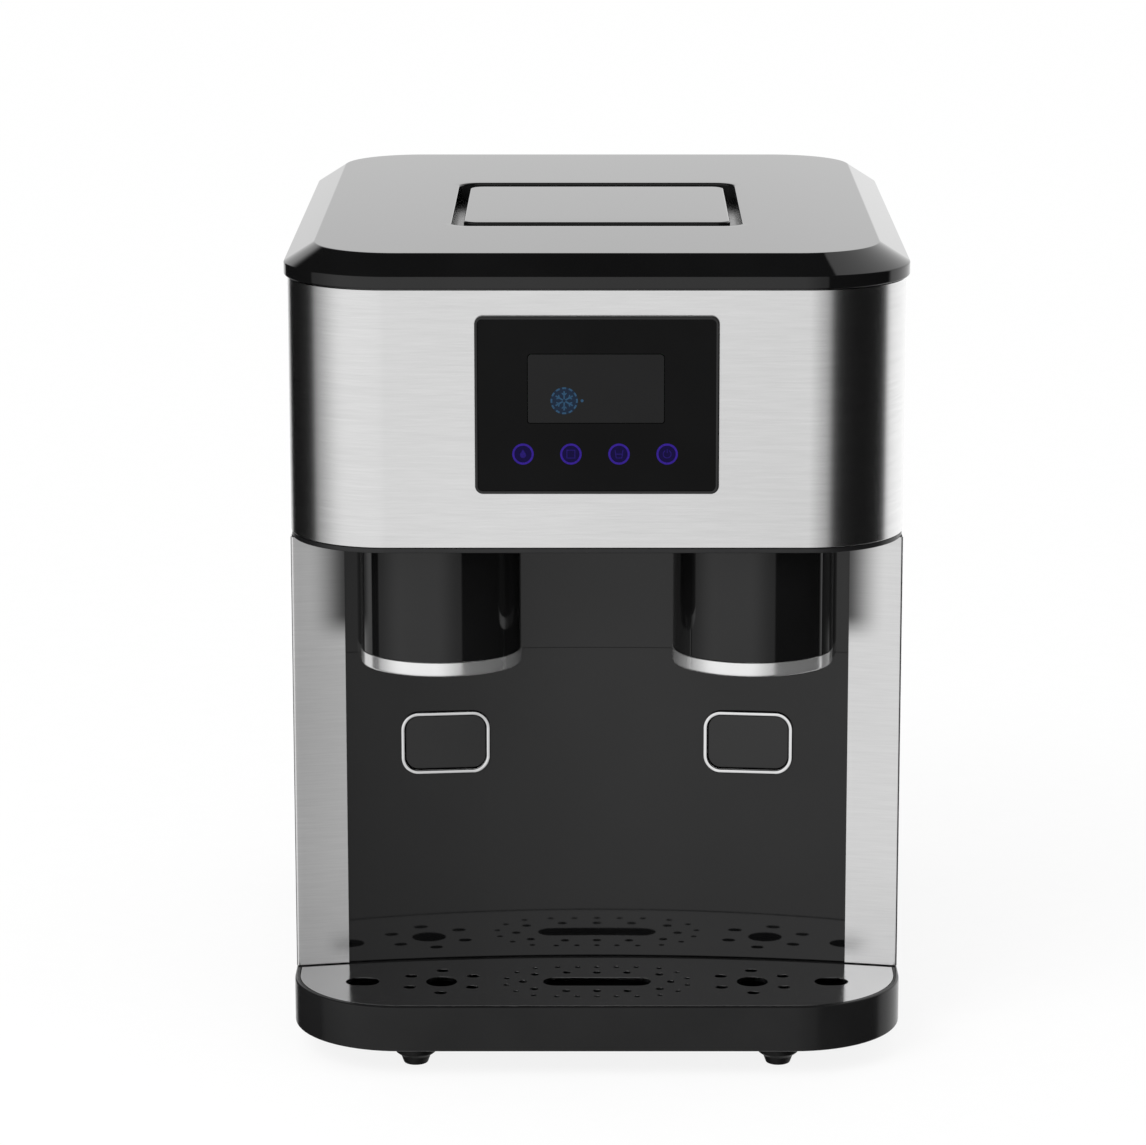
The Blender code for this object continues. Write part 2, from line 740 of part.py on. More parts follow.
def make_bezel(side, seat):
    inner = bezel_loop(BEZEL_HALF_X - BEZEL_WIDTH, BEZEL_HALF_Z - BEZEL_WIDTH, BEZEL_CORNER - BEZEL_WIDTH)
    outer = bezel_loop(BEZEL_HALF_X, BEZEL_HALF_Z, BEZEL_CORNER)
    bezel = plate(f"pad_bezel_{side}", [outer, inner], -BEZEL_PROUD, -BEZEL_BACK, "Y")
    half_x = BEZEL_HALF_X - BEZEL_WIDTH + SLEEVE_WALL
    half_z = BEZEL_HALF_Z - BEZEL_WIDTH + SLEEVE_WALL
    sleeve_outer = bezel_loop(half_x, half_z, BEZEL_CORNER - BEZEL_WIDTH + SLEEVE_WALL)
    middle = -(BEZEL_PROUD + BEZEL_BACK) / 2
    sleeve = plate(f"bezel_sleeve_{side}", [sleeve_outer, inner], middle, SLEEVE_DEPTH, "Y")
    across = half_x + OVERRUN
    bore = rod(
        f"bezel_bore_{side}",
        (-across, PIVOT_DEPTH, PIVOT_RISE),
        (across, PIVOT_DEPTH, PIVOT_RISE),
        PIVOT_RADIUS + PIVOT_CLEARANCE,
        PIN_STEPS,
    )
    sleeve.parent = seat
    bore.parent = seat
    join(bezel, sleeve)
    cut(bezel, bore)
    bezel.parent = seat
    return finish(bezel, "chrome")


def make_pad(side, seat):
    inset = BEZEL_WIDTH + PAD_CLEARANCE
    outline = bezel_loop(BEZEL_HALF_X - inset, BEZEL_HALF_Z - inset, BEZEL_CORNER - inset)
    pad = plate(f"pad_{side}", [outline], PAD_FRONT, PAD_FRONT + PAD_THICKNESS, "Y")
    reach = BEZEL_HALF_X - BEZEL_WIDTH + SLEEVE_WALL - SEAT
    pins = rod(
        f"pad_pins_{side}",
        (-reach, PIVOT_DEPTH, PIVOT_RISE),
        (reach, PIVOT_DEPTH, PIVOT_RISE),
        PIVOT_RADIUS,
        PIN_STEPS,
    )
    ears = []
    for sign in (-1, 1):
        low = (sign * PAD_EAR_X - PAD_EAR_HALF, PAD_THICKNESS / 2, PIVOT_RISE - PIVOT_RADIUS)
        high = (sign * PAD_EAR_X + PAD_EAR_HALF, PIVOT_DEPTH, PIVOT_RISE + PIVOT_RADIUS)
        ears.append(box(f"pad_ear_{side}_{sign}", low, high))
    for tool in (*ears, pins):
        pivot(tool, (0, PIVOT_DEPTH, PIVOT_RISE))
        tool.parent = seat
    join(pad, *ears, pins)
    pivot(pad, (0, PIVOT_DEPTH, PIVOT_RISE))
    pad.parent = seat
    return finish(pad, "black_gloss")


def make_pad_housing(side, seat):
    front = SPLASH_THICKNESS + SEAT
    outer = bezel_loop(HOUSING_HALF_X, HOUSING_HALF_Z, HOUSING_CORNER)
    inner = bezel_loop(
        HOUSING_HALF_X - HOUSING_WALL, HOUSING_HALF_Z - HOUSING_WALL, HOUSING_CORNER - HOUSING_WALL
    )
    housing = plate(f"pad_housing_{side}", [outer], front, HOUSING_BACK, "Y")
    hollow = plate(
        f"housing_hollow_{side}", [inner], front - OVERRUN, HOUSING_BACK - HOUSING_BACK_WALL, "Y"
    )
    hollow.parent = seat
    cut(housing, hollow)
    housing.parent = seat
    return finish(housing, "grey_plastic")


def make_micro_switch(side, seat):
    back = HOUSING_BACK - HOUSING_BACK_WALL - SEAT
    switch = box(
        f"micro_switch_{side}", (-SWITCH_HALF_X, SWITCH_FRONT, SWITCH_LOW), (SWITCH_HALF_X, back, SWITCH_HIGH)
    )
    height = (SWITCH_LOW + SWITCH_HIGH) / 2
    plunger = rod(
        f"switch_plunger_{side}",
        (0, SWITCH_FRONT - PLUNGER_LENGTH, height),
        (0, SWITCH_FRONT + PLUNGER_LENGTH, height),
        PLUNGER_RADIUS,
        SMALL_ROUND_STEPS,
    )
    plunger.parent = seat
    join(switch, plunger)
    switch.parent = seat
    return finish(switch, "compressor_paint")


def make_pads():
    for side, seat in PAD_SEATS.items():
        make_bezel(side, seat)
        make_pad(side, seat)
        make_pad_housing(side, seat)
        make_micro_switch(side, seat)


# Head: the steel band, the deck under it and the rear panel
BAND_WINDOW_MARGIN = 0.006
DECK_SET_IN = 0.0005
VENT_ROWS = 8
VENT_PITCH = 0.0140
VENT_HALF_LENGTH = 0.0215
VENT_HALF_HEIGHT = 0.0021
VENT_RISE = 0.0127
VENT_LOW = BASE_TOP + VENT_RISE
VENT_SIDE_INSET = 0.035
VENT_COLUMN_PITCH = 0.054
VENT_OUTER_X = REAR_HALF_WIDTH - VENT_SIDE_INSET
VENT_COLUMNS_X = (VENT_OUTER_X - VENT_COLUMN_PITCH, VENT_OUTER_X)


def band_path():
    half = HALF_WIDTH
    radii = (HEAD_CORNER, HEAD_CORNER)
    near = HEAD_FRONT + HEAD_CORNER
    far = HEAD_REAR - HEAD_CORNER
    side = half - HEAD_CORNER
    steps = LARGE_CORNER_STEPS
    return (
        arc((-side, far), radii, 90, 180, steps)
        + arc((-side, near), radii, 180, 270, steps)
        + arc((side, near), radii, 270, 360, steps)
        + arc((side, far), radii, 0, 90, steps)
    )


def make_head_band():
    band = wall("head_band", band_path(), DECK_TOP + SEAT, COVER_BASE - SEAT, SHEET)
    half = PANEL_HALF_WIDTH - BAND_WINDOW_MARGIN
    low = PANEL_LOW + BAND_WINDOW_MARGIN
    high = PANEL_HIGH - BAND_WINDOW_MARGIN
    window = rounded_rectangle(-half, half, low, high, PANEL_CORNER, steps=2)
    cut(band, plate("band_window", [window], HEAD_FRONT - OVERRUN, HEAD_FRONT + OVERRUN, "Y"))
    return finish(band, "brushed_steel")


def make_deck():
    half = HALF_WIDTH - DECK_SET_IN
    rear_set_in = REAR_SHEET + SEAT
    outline = rounded_rectangle(
        -half,
        half,
        HEAD_FRONT + DECK_SET_IN,
        HEAD_REAR - rear_set_in,
        HEAD_CORNER - DECK_SET_IN,
        HEAD_CORNER - rear_set_in,
        LARGE_CORNER_STEPS,
    )
    deck = plate("head_deck", [outline, *deck_holes()], DECK_UNDERSIDE, DECK_TOP)
    return finish(deck, "black_plastic")


def make_rear_panel():
    low = BASE_TOP + SEAT
    high = COVER_BASE - SEAT
    loops = [rectangle(-REAR_HALF_WIDTH, REAR_HALF_WIDTH, low, high)]
    for column_x in VENT_COLUMNS_X:
        for row in range(VENT_ROWS):
            centre = (column_x, VENT_LOW + row * VENT_PITCH)
            loops.append(slot(centre, VENT_HALF_LENGTH, VENT_HALF_HEIGHT, 2))
    loops.append(inlet_loop(SEAT))
    panel = plate("rear_panel", loops, HEAD_REAR - REAR_SHEET, HEAD_REAR, "Y")
    return finish(panel, "black_plastic")


# Power inlet in the rear panel
INLET_INSET = 0.0315
INLET_X = -(REAR_HALF_WIDTH - INLET_INSET)
INLET_RISE = 0.0357
INLET_HEIGHT = BASE_TOP + INLET_RISE
INLET_HALF_X = 0.0140
INLET_HALF_Z = 0.0100
INLET_CORNER = 0.004
INLET_FLANGE = 0.0035
INLET_FLANGE_THICKNESS = 0.0015
INLET_DEPTH = 0.022
INLET_WALL = 0.0022
INLET_SOCKET_DEPTH = 0.016
BLADE_LENGTH = 0.012
BLADE_HALF_X = 0.0010
BLADE_HALF_Z = 0.0022
BLADE_X_SHARES = (-0.5, 0.0, 0.5)
BLADE_Z_SHARES = (-0.25, 0.25, -0.25)


def inlet_loop(grow):
    half_x = INLET_HALF_X + grow
    half_z = INLET_HALF_Z + grow
    return rounded_rectangle(
        INLET_X - half_x, INLET_X + half_x, INLET_HEIGHT - half_z, INLET_HEIGHT + half_z, INLET_CORNER, steps=2
    )


def make_power_inlet():
    face = HEAD_REAR + SEAT + INLET_FLANGE_THICKNESS
    inlet = plate("power_inlet", [inlet_loop(INLET_FLANGE)], HEAD_REAR + SEAT, face, "Y")
    body = plate("inlet_body", [inlet_loop(0)], HEAD_REAR - INLET_DEPTH, face - SEAT, "Y")
    socket = plate("inlet_socket", [inlet_loop(-INLET_WALL)], face - INLET_SOCKET_DEPTH, face + OVERRUN, "Y")
    join(inlet, body)
    cut(inlet, socket)
    root = face - INLET_SOCKET_DEPTH - INLET_WALL / 2
    for number, (share_x, share_z) in enumerate(zip(BLADE_X_SHARES, BLADE_Z_SHARES)):
        x = INLET_X + share_x * INLET_HALF_X
        z = INLET_HEIGHT + share_z * INLET_HALF_Z
        low = (x - BLADE_HALF_X, root, z - BLADE_HALF_Z)
        high = (x + BLADE_HALF_X, root + BLADE_LENGTH, z + BLADE_HALF_Z)
        join(inlet, box(f"inlet_blade_{number}", low, high))
    return finish(inlet, "black_plastic")


# Outlets: black shrouds under the head with chrome collars
SHROUD_HALF_WIDTH = 0.0433
SHROUD_HALF_DEPTH = 0.0380
SHROUD_WALL = 0.0024
SHROUD_STEPS = 12
SHROUD_HEIGHT = 0.0623
COLLAR_TOP = DECK_UNDERSIDE - SHROUD_HEIGHT
COLLAR_HEIGHT = 0.0077
COLLAR_BOTTOM = COLLAR_TOP - COLLAR_HEIGHT
COLLAR_WALL = 0.0026
COLLAR_EDGE = 0.0010


def shroud_path(x):
    radii = (SHROUD_HALF_WIDTH, SHROUD_HALF_DEPTH)
    left = x - SHROUD_HALF_WIDTH
    right = x + SHROUD_HALF_WIDTH
    front = arc((x, behind(OUTLET_SETBACK)), radii, 180, 360, SHROUD_STEPS)
    return [(left, splash_face(left))] + front + [(right, splash_face(right))]


def splash_face(x):
    """The splash panel's face less a seat's gap, or the flange's where that covers it."""
    step = SPLASH_STEP if abs(x) < FLANGE_INNER_X else 0
    return recess_y(x) + step - 2 * SEAT


def make_outlets():
    for side, sign in (("left", -1), ("right", 1)):
        path = shroud_path(sign * OUTLET_X)
        shroud = wall(f"outlet_shroud_{side}", path, COLLAR_TOP + SEAT, BODY_HEAD, SHROUD_WALL)
        finish(shroud, "black_gloss")
        collar = wall(f"outlet_collar_{side}", path, COLLAR_BOTTOM, COLLAR_TOP, COLLAR_WALL)
        soften(collar, COLLAR_EDGE)
        finish(collar, "chrome")


# Top cover with the hatch's recess, the hatch and its hinge pin
COVER_CORNER = 0.0586
COVER_CHAMFER = 0.0131
COVER_WALL = 0.0032
HATCHWAY_HALF_X = 0.0795
HATCHWAY_FRONT = 0.1100
HATCHWAY_REAR = 0.2826
HATCHWAY_CORNER = 0.011
HATCHWAY_DEPTH = 0.0090
HATCHWAY_FLOOR = COVER_TOP - HATCHWAY_DEPTH
HATCHWAY_WALL = 0.0022
THROAT_HALF_X = 0.0640
THROAT_FRONT = 0.1290
THROAT_REAR = 0.2600
THROAT_CORNER = 0.010
HATCH_HALF_X = 0.0732
HATCH_FRONT = 0.1228
HATCH_REAR = 0.2680
HATCH_CORNER = 0.008
HATCH_WALL = 0.0022
HATCH_BEVEL = 0.0012
HINGE_GAP = 0.0055
HINGE_SETBACK = HATCH_REAR + HINGE_GAP
HINGE_DROP = 0.0045
HINGE_HEIGHT = COVER_TOP - HINGE_DROP
PIN_RADIUS = 0.0015
PIN_CLEARANCE = 0.0003
PIN_HALF_LENGTH = 0.0700
KNUCKLE_RADIUS = 0.0034
KNUCKLE_X = 0.0560
KNUCKLE_HALF_LENGTH = 0.0040
EAR_X = 0.0660
EAR_HALF_LENGTH = 0.0040


def cover_ring(inset, height):
    half = HALF_WIDTH + COVER_OVERHANG - inset
    outline = rounded_rectangle(
        -half,
        half,
        HEAD_FRONT - COVER_OVERHANG + inset,
        HEAD_REAR + COVER_OVERHANG - inset,
        COVER_CORNER - inset,
        steps=LARGE_CORNER_STEPS,
    )
    return at_height(outline, height)


def hatch_outline(half_x, front, rear, corner, grow=0.0):
    return rounded_rectangle(
        -half_x - grow, half_x + grow, behind(front) - grow, behind(rear) + grow, corner + grow, steps=3
    )


def hinge_rod(name, x, half_length, radius, steps=SMALL_ROUND_STEPS):
    y = behind(HINGE_SETBACK)
    return rod(name, (x - half_length, y, HINGE_HEIGHT), (x + half_length, y, HINGE_HEIGHT), radius, steps)


def make_top_cover():
    rings = [
        cover_ring(0, COVER_BASE),
        cover_ring(0, COVER_LIP_TOP),
        cover_ring(COVER_CHAMFER, COVER_TOP),
    ]
    cover = loft("top_cover", rings, cap_low=False)
    thicken(cover, COVER_WALL)
    hatchway = (HATCHWAY_HALF_X, HATCHWAY_FRONT, HATCHWAY_REAR, HATCHWAY_CORNER)
    throat = hatch_outline(THROAT_HALF_X, THROAT_FRONT, THROAT_REAR, THROAT_CORNER)
    floor_low = HATCHWAY_FLOOR - HATCHWAY_WALL
    over = COVER_TOP + OVERRUN
    block = plate(
        "hatchway_block", [hatch_outline(*hatchway, HATCHWAY_WALL)], floor_low, COVER_TOP - COVER_WALL / 2
    )
    join(cover, block)
    cut(cover, plate("hatchway_cutter", [hatch_outline(*hatchway)], HATCHWAY_FLOOR, over))
    cut(cover, plate("throat_cutter", [throat], floor_low - OVERRUN, over))
    for sign in (-1, 1):
        low = (
            sign * EAR_X - EAR_HALF_LENGTH,
            behind(HINGE_SETBACK) - KNUCKLE_RADIUS,
            HATCHWAY_FLOOR - HATCHWAY_WALL / 2,
        )
        high = (
            sign * EAR_X + EAR_HALF_LENGTH,
            behind(HINGE_SETBACK) + KNUCKLE_RADIUS,
            HINGE_HEIGHT + PIN_RADIUS + HATCHWAY_WALL / 2,
        )
        join(cover, box(f"hinge_ear_{sign}", low, high))
    cut(cover, hinge_rod("ear_bore", 0, PIN_HALF_LENGTH + OVERRUN, PIN_RADIUS + PIN_CLEARANCE))
    return finish(cover, "black_gloss")


def make_hatch():
    hatch_sizes = (HATCH_HALF_X, HATCH_FRONT, HATCH_REAR, HATCH_CORNER)
    low = HATCHWAY_FLOOR + 2 * SEAT
    rings = [
        at_height(hatch_outline(*hatch_sizes), low),
        at_height(hatch_outline(*hatch_sizes), COVER_TOP - HATCH_BEVEL),
        at_height(hatch_outline(*hatch_sizes, -HATCH_BEVEL), COVER_TOP),
    ]
    hatch = loft("hatch", rings, cap_low=False)
    thicken(hatch, HATCH_WALL)
    for sign in (-1, 1):
        knuckle = hinge_rod(f"knuckle_{sign}", sign * KNUCKLE_X, KNUCKLE_HALF_LENGTH, KNUCKLE_RADIUS)
        web_low = (
            sign * KNUCKLE_X - KNUCKLE_HALF_LENGTH,
            behind(HATCH_REAR) - HATCH_WALL / 2,
            HINGE_HEIGHT - PIN_RADIUS,
        )
        web_high = (
            sign * KNUCKLE_X + KNUCKLE_HALF_LENGTH,
            behind(HINGE_SETBACK),
            HINGE_HEIGHT + KNUCKLE_RADIUS,
        )
        join(hatch, box(f"knuckle_web_{sign}", web_low, web_high), knuckle)
        bore_half = KNUCKLE_HALF_LENGTH + OVERRUN
        cut(hatch, hinge_rod(f"knuckle_bore_{sign}", sign * KNUCKLE_X, bore_half, PIN_RADIUS + PIN_CLEARANCE))
    pivot(hatch, (0, behind(HINGE_SETBACK), HINGE_HEIGHT))
    return finish(hatch, "black_gloss")


def make_hatch_pin():
    return finish(hinge_rod("hatch_pin", 0, PIN_HALF_LENGTH, PIN_RADIUS), "nickel")


# Control panel, its display window and the board behind them
PANEL_HALF_WIDTH = 0.06425
PANEL_RISE = 0.0298
PANEL_LOW = DECK_TOP + PANEL_RISE
PANEL_DROP = 0.0138
PANEL_HIGH = COVER_BASE - PANEL_DROP
PANEL_CORNER = 0.0043
PANEL_PROUD = 0.0020
PANEL_EDGE = 0.0007
PANEL_PLUG_MARGIN = 0.0065
PANEL_PLUG_WALL = 0.002
PANEL_PLUG_DEPTH = 0.010
WINDOW_LEFT = -0.0363
WINDOW_RIGHT = 0.0353
WINDOW_RISE = 0.0381
WINDOW_LOW = PANEL_LOW + WINDOW_RISE
WINDOW_HEIGHT = 0.0366
WINDOW_HIGH = WINDOW_LOW + WINDOW_HEIGHT
WINDOW_CORNER = 0.0022
WINDOW_THICKNESS = 0.0008
WINDOW_CLEARANCE = 0.0002
BOARD_THICKNESS = 0.0016
DISPLAY_MARGIN = 0.003
BOARD_CONNECTOR_LENGTH = 0.020
BOARD_CONNECTOR_DEPTH = 0.008


def window_loop(grow):
    return rounded_rectangle(
        WINDOW_LEFT - grow, WINDOW_RIGHT + grow, WINDOW_LOW - grow, WINDOW_HIGH + grow, WINDOW_CORNER, steps=3
    )


def panel_loop(inset):
    half = PANEL_HALF_WIDTH - inset
    return rounded_rectangle(-half, half, PANEL_LOW + inset, PANEL_HIGH - inset, PANEL_CORNER, steps=3)


def make_control_panel():
    face = HEAD_FRONT - SEAT - PANEL_PROUD
    panel = plate("control_panel", [panel_loop(0)], face, HEAD_FRONT - SEAT, "Y")
    soften(panel, PANEL_EDGE)
    plug_inner = PANEL_PLUG_MARGIN + PANEL_PLUG_WALL
    plug = plate(
        "panel_plug",
        [panel_loop(PANEL_PLUG_MARGIN), panel_loop(plug_inner)],
        HEAD_FRONT - PANEL_PROUD / 2,
        HEAD_FRONT + PANEL_PLUG_DEPTH,
        "Y",
    )
    join(panel, plug)
    pocket_depth = WINDOW_THICKNESS + WINDOW_CLEARANCE
    cut(panel, plate("window_pocket", [window_loop(WINDOW_CLEARANCE)], face - OVERRUN, face + pocket_depth, "Y"))
    return finish(panel, "black_gloss")


def make_display_window():
    face = HEAD_FRONT - SEAT - PANEL_PROUD
    window = plate("display_window", [window_loop(0)], face, face + WINDOW_THICKNESS, "Y")
    return finish(window, "window")


def make_control_board():
    front = HEAD_FRONT + PANEL_PLUG_DEPTH + SEAT
    board = plate("control_board", [panel_loop(PANEL_PLUG_MARGIN)], front, front + BOARD_THICKNESS, "Y")
    margin = DISPLAY_MARGIN
    display = box(
        "display_module",
        (WINDOW_LEFT + margin, HEAD_FRONT + SHEET, WINDOW_LOW + margin),
        (WINDOW_RIGHT - margin, front + BOARD_THICKNESS / 2, WINDOW_HIGH - margin),
    )
    connector_half = BOARD_CONNECTOR_LENGTH / 2
    connector = box(
        "board_connector",
        (-connector_half, front + BOARD_THICKNESS / 2, PANEL_LOW + BOARD_CONNECTOR_LENGTH),
        (
            connector_half,
            front + BOARD_THICKNESS + BOARD_CONNECTOR_DEPTH,
            PANEL_LOW + BOARD_CONNECTOR_LENGTH + BOARD_CONNECTOR_DEPTH,
        ),
    )
    join(board, display, connector)
    return finish(board, "circuit_board")


# Ice bin: a hopper whose floor slopes to an auger trough that runs on to the left outlet
BIN_SIDE_GAP = 0.040
BIN_LEFT = -(HALF_WIDTH - BIN_SIDE_GAP)
BIN_RIGHT = HALF_WIDTH - BIN_SIDE_GAP
BIN_FRONT = 0.090
BIN_DROP = 0.0204
BIN_TOP = COVER_BASE - BIN_DROP
BIN_WALL = 0.002
TROUGH_RADIUS = 0.024
CHUTE_FLANGE = 0.002
TROUGH_CENTRE = DECK_TOP + 2 * SEAT + CHUTE_FLANGE + BIN_WALL + TROUGH_RADIUS
BIN_SHOULDER_RISE = 0.051
BIN_SHOULDER_LEFT = DECK_TOP + BIN_SHOULDER_RISE
BIN_FLOOR_RISE = 0.0415
BIN_FLOOR_RIGHT = DECK_TOP + BIN_FLOOR_RISE
BIN_SILL_RISE = 0.044
BIN_SILL = DECK_TOP + BIN_SILL_RISE
NOSE_FRONT = 0.0185
NOSE_RISE = 0.058
NOSE_TOP = DECK_TOP + NOSE_RISE
OUTLET_FRONT = 0.0255
OUTLET_REAR = 0.0510
OUTLET_HALF_X = 0.0170
CRADLE_HALF_X = 0.020
CRADLE_HALF_Y = 0.003
CRADLE_FRONT_INSET = 0.015
CRADLE_FRONT = BIN_FRONT + CRADLE_FRONT_INSET
CRADLE_REAR_INSET = 0.020
CRADLE_REAR = BIN_REAR - CRADLE_REAR_INSET
CRADLE_SIDE_INSET = 0.025
CRADLE_RIGHT_X = BIN_RIGHT - CRADLE_SIDE_INSET
TROUGH_STEPS = 10


def bin_section(wall_out):
    """The hopper in X and Z, grown outward by a wall."""
    radius = TROUGH_RADIUS + wall_out
    trough = arc((AUGER_X, TROUGH_CENTRE), (radius, radius), 180, 360, TROUGH_STEPS)
    left = BIN_LEFT + BIN_WALL - wall_out
    right = BIN_RIGHT - BIN_WALL + wall_out
    top = BIN_TOP if wall_out else BIN_TOP + OVERRUN
    return (
        [(left, top), (left, BIN_SHOULDER_LEFT - wall_out)]
        + trough
        + [(right, BIN_FLOOR_RIGHT - wall_out), (right, top)]
    )


def nose_section(wall_out):
    radius = TROUGH_RADIUS + wall_out
    trough = arc((AUGER_X, TROUGH_CENTRE), (radius, radius), 180, 360, TROUGH_STEPS)
    top = NOSE_TOP - BIN_WALL + wall_out
    return [(AUGER_X - radius, top)] + trough + [(AUGER_X + radius, top)]


def make_ice_bin():
    ice_bin = plate("ice_bin", [bin_section(BIN_WALL)], behind(BIN_FRONT), behind(BIN_REAR), "Y")
    nose = plate("bin_nose", [nose_section(BIN_WALL)], behind(NOSE_FRONT), behind(BIN_FRONT + BIN_WALL), "Y")
    join(ice_bin, nose)
    for number, (x, setback) in enumerate(
        ((AUGER_X, CRADLE_FRONT), (AUGER_X, CRADLE_REAR), (CRADLE_RIGHT_X, CRADLE_FRONT), (CRADLE_RIGHT_X, CRADLE_REAR))
    ):
        y = behind(setback)
        top = TROUGH_CENTRE - TROUGH_RADIUS - BIN_WALL / 2 if x < 0 else BIN_FLOOR_RIGHT - BIN_WALL
        low = (x - CRADLE_HALF_X, y - CRADLE_HALF_Y, DECK_TOP + SEAT)
        high = (x + CRADLE_HALF_X, y + CRADLE_HALF_Y, top)
        join(ice_bin, box(f"bin_cradle_{number}", low, high))
    cut(
        ice_bin,
        plate("bin_hollow", [bin_section(0)], behind(BIN_FRONT + BIN_WALL), behind(BIN_REAR - BIN_WALL), "Y"),
        plate("nose_hollow", [nose_section(0)], behind(NOSE_FRONT + BIN_WALL), behind(BIN_FRONT + 2 * BIN_WALL), "Y"),
    )
    outlet_low = (AUGER_X - OUTLET_HALF_X, behind(OUTLET_FRONT), DECK_TOP)
    outlet_high = (AUGER_X + OUTLET_HALF_X, behind(OUTLET_REAR), TROUGH_CENTRE)
    sill_low = (FRAME_LEFT - OVERRUN, behind(BIN_REAR - BIN_WALL) - OVERRUN, BIN_SILL)
    sill_high = (FRAME_RIGHT + OVERRUN, behind(BIN_REAR) + OVERRUN, BIN_TOP + OVERRUN)
    cut(ice_bin, box("bin_outlet", outlet_low, outlet_high), box("bin_sill", sill_low, sill_high))
    shaft_bore = AUGER_SHAFT_RADIUS + AUGER_SHAFT_CLEARANCE
    cut(
        ice_bin,
        rod(
            "auger_bores",
            (AUGER_X, behind(NOSE_FRONT) - OVERRUN, TROUGH_CENTRE),
            (AUGER_X, behind(BIN_REAR) + OVERRUN, TROUGH_CENTRE),
            shaft_bore,
            SMALL_ROUND_STEPS,
        ),
    )
    return finish(ice_bin, "white_plastic")


# Auger and its gear motor
AUGER_RADIUS = 0.0210
AUGER_PITCH = 0.042
AUGER_SHAFT_RADIUS = 0.0045
AUGER_SHAFT_CLEARANCE = 0.0003
AUGER_FLIGHT = 0.0022
AUGER_STEPS = 8
AUGER_FLIGHT_FRONT = 0.032
AUGER_END_GAP = 0.009
AUGER_FLIGHT_REAR = BIN_REAR - AUGER_END_GAP
GEARBOX_DEPTH = 0.024
GEARBOX_RISE = 0.054
GEARBOX_TOP = DECK_TOP + GEARBOX_RISE
GEARBOX_EDGE = 0.002
GEARBOX_BORE_DEPTH = 0.014
AUGER_MOTOR_RADIUS = 0.0165
AUGER_MOTOR_LENGTH = 0.040


def make_auger():
    start = behind(NOSE_FRONT) + SEAT
    end = behind(BIN_REAR) + GEARBOX_BORE_DEPTH
    shaft = rod(
        "auger", (AUGER_X, start, TROUGH_CENTRE), (AUGER_X, end, TROUGH_CENTRE), AUGER_SHAFT_RADIUS, SMALL_ROUND_STEPS
    )
    shape = bmesh.new()
    inner = shape.verts.new((AUGER_SHAFT_RADIUS / 2, 0, 0))
    outer = shape.verts.new((AUGER_RADIUS, 0, 0))
    shape.edges.new((inner, outer))
    flight = object_from("auger_flight", shape)
    length = AUGER_FLIGHT_REAR - AUGER_FLIGHT_FRONT - AUGER_FLIGHT
    turns = length / AUGER_PITCH
    screw = flight.modifiers.new("flight", "SCREW")
    screw.axis = "Z"
    screw.angle = 2 * math.pi * turns
    screw.screw_offset = length
    screw.steps = round(AUGER_STEPS * turns)
    screw.render_steps = screw.steps
    screw.use_merge_vertices = False
    thicken(flight, AUGER_FLIGHT)
    flight.rotation_euler = (-QUARTER_TURN, 0, 0)
    flight.location = (AUGER_X, behind(AUGER_FLIGHT_FRONT) + AUGER_FLIGHT, TROUGH_CENTRE)
    join(shaft, flight)
    pivot(shaft, (AUGER_X, behind(BIN_REAR), TROUGH_CENTRE))
    return finish(shaft, "nickel")


def make_auger_motor():
    front = behind(BIN_REAR) + SEAT
    rear = front + GEARBOX_DEPTH
    motor = box(
        "auger_motor",
        (AUGER_X - GEARBOX_HALF_X, front, DECK_TOP + SEAT),
        (AUGER_X + GEARBOX_HALF_X, rear, GEARBOX_TOP),
    )
    soften(motor, GEARBOX_EDGE)
    can_start = (AUGER_X, rear - OVERRUN, TROUGH_CENTRE)
    can_end = (AUGER_X, rear + AUGER_MOTOR_LENGTH, TROUGH_CENTRE)
    join(motor, rod("motor_can", can_start, can_end, AUGER_MOTOR_RADIUS))
    bore_start = (AUGER_X, front - OVERRUN, TROUGH_CENTRE)
    bore_end = (AUGER_X, front + GEARBOX_BORE_DEPTH, TROUGH_CENTRE)
    bore_radius = AUGER_SHAFT_RADIUS + AUGER_SHAFT_CLEARANCE
    cut(motor, rod("gearbox_bore", bore_start, bore_end, bore_radius, SMALL_ROUND_STEPS))
    return finish(motor, "grey_plastic")


# Ice chute through the deck, with the flap that keeps the cold in
CHUTE_HALF_X = 0.0240
CHUTE_FRONT = 0.0220
CHUTE_REAR_LAP = 0.0019
CHUTE_REAR = recess_y(OUTLET_X + CHUTE_HALF_X) - HEAD_FRONT + CHUTE_REAR_LAP
CHUTE_CORNER = 0.010
CHUTE_TAPER = 0.002
CHUTE_DROP = 0.0673
CHUTE_BOTTOM = DECK_UNDERSIDE - CHUTE_DROP
CHUTE_WALL = 0.0016
CHUTE_FLANGE_REACH = 0.004
CHUTE_HOLE_CLEARANCE = 0.0004
FLAP_DROP = 0.0058
FLAP_HEIGHT = DECK_UNDERSIDE - FLAP_DROP
FLAP_REAR_INSET = 0.0050
FLAP_SETBACK = CHUTE_REAR - FLAP_REAR_INSET
FLAP_SIDE_GAP = 0.0047
FLAP_HALF_X = CHUTE_HALF_X - FLAP_SIDE_GAP
FLAP_FRONT = 0.0265
FLAP_THICKNESS = 0.0014
FLAP_CORNER = 0.006
FLAP_PIN_RADIUS = 0.0013
FLAP_PIN_CLEARANCE = 0.0003


def chute_loop(grow):
    return rounded_rectangle(
        AUGER_X - CHUTE_HALF_X - grow,
        AUGER_X + CHUTE_HALF_X + grow,
        behind(CHUTE_FRONT) - grow,
        behind(CHUTE_REAR) + grow,
        CHUTE_CORNER + grow,
        steps=3,
    )


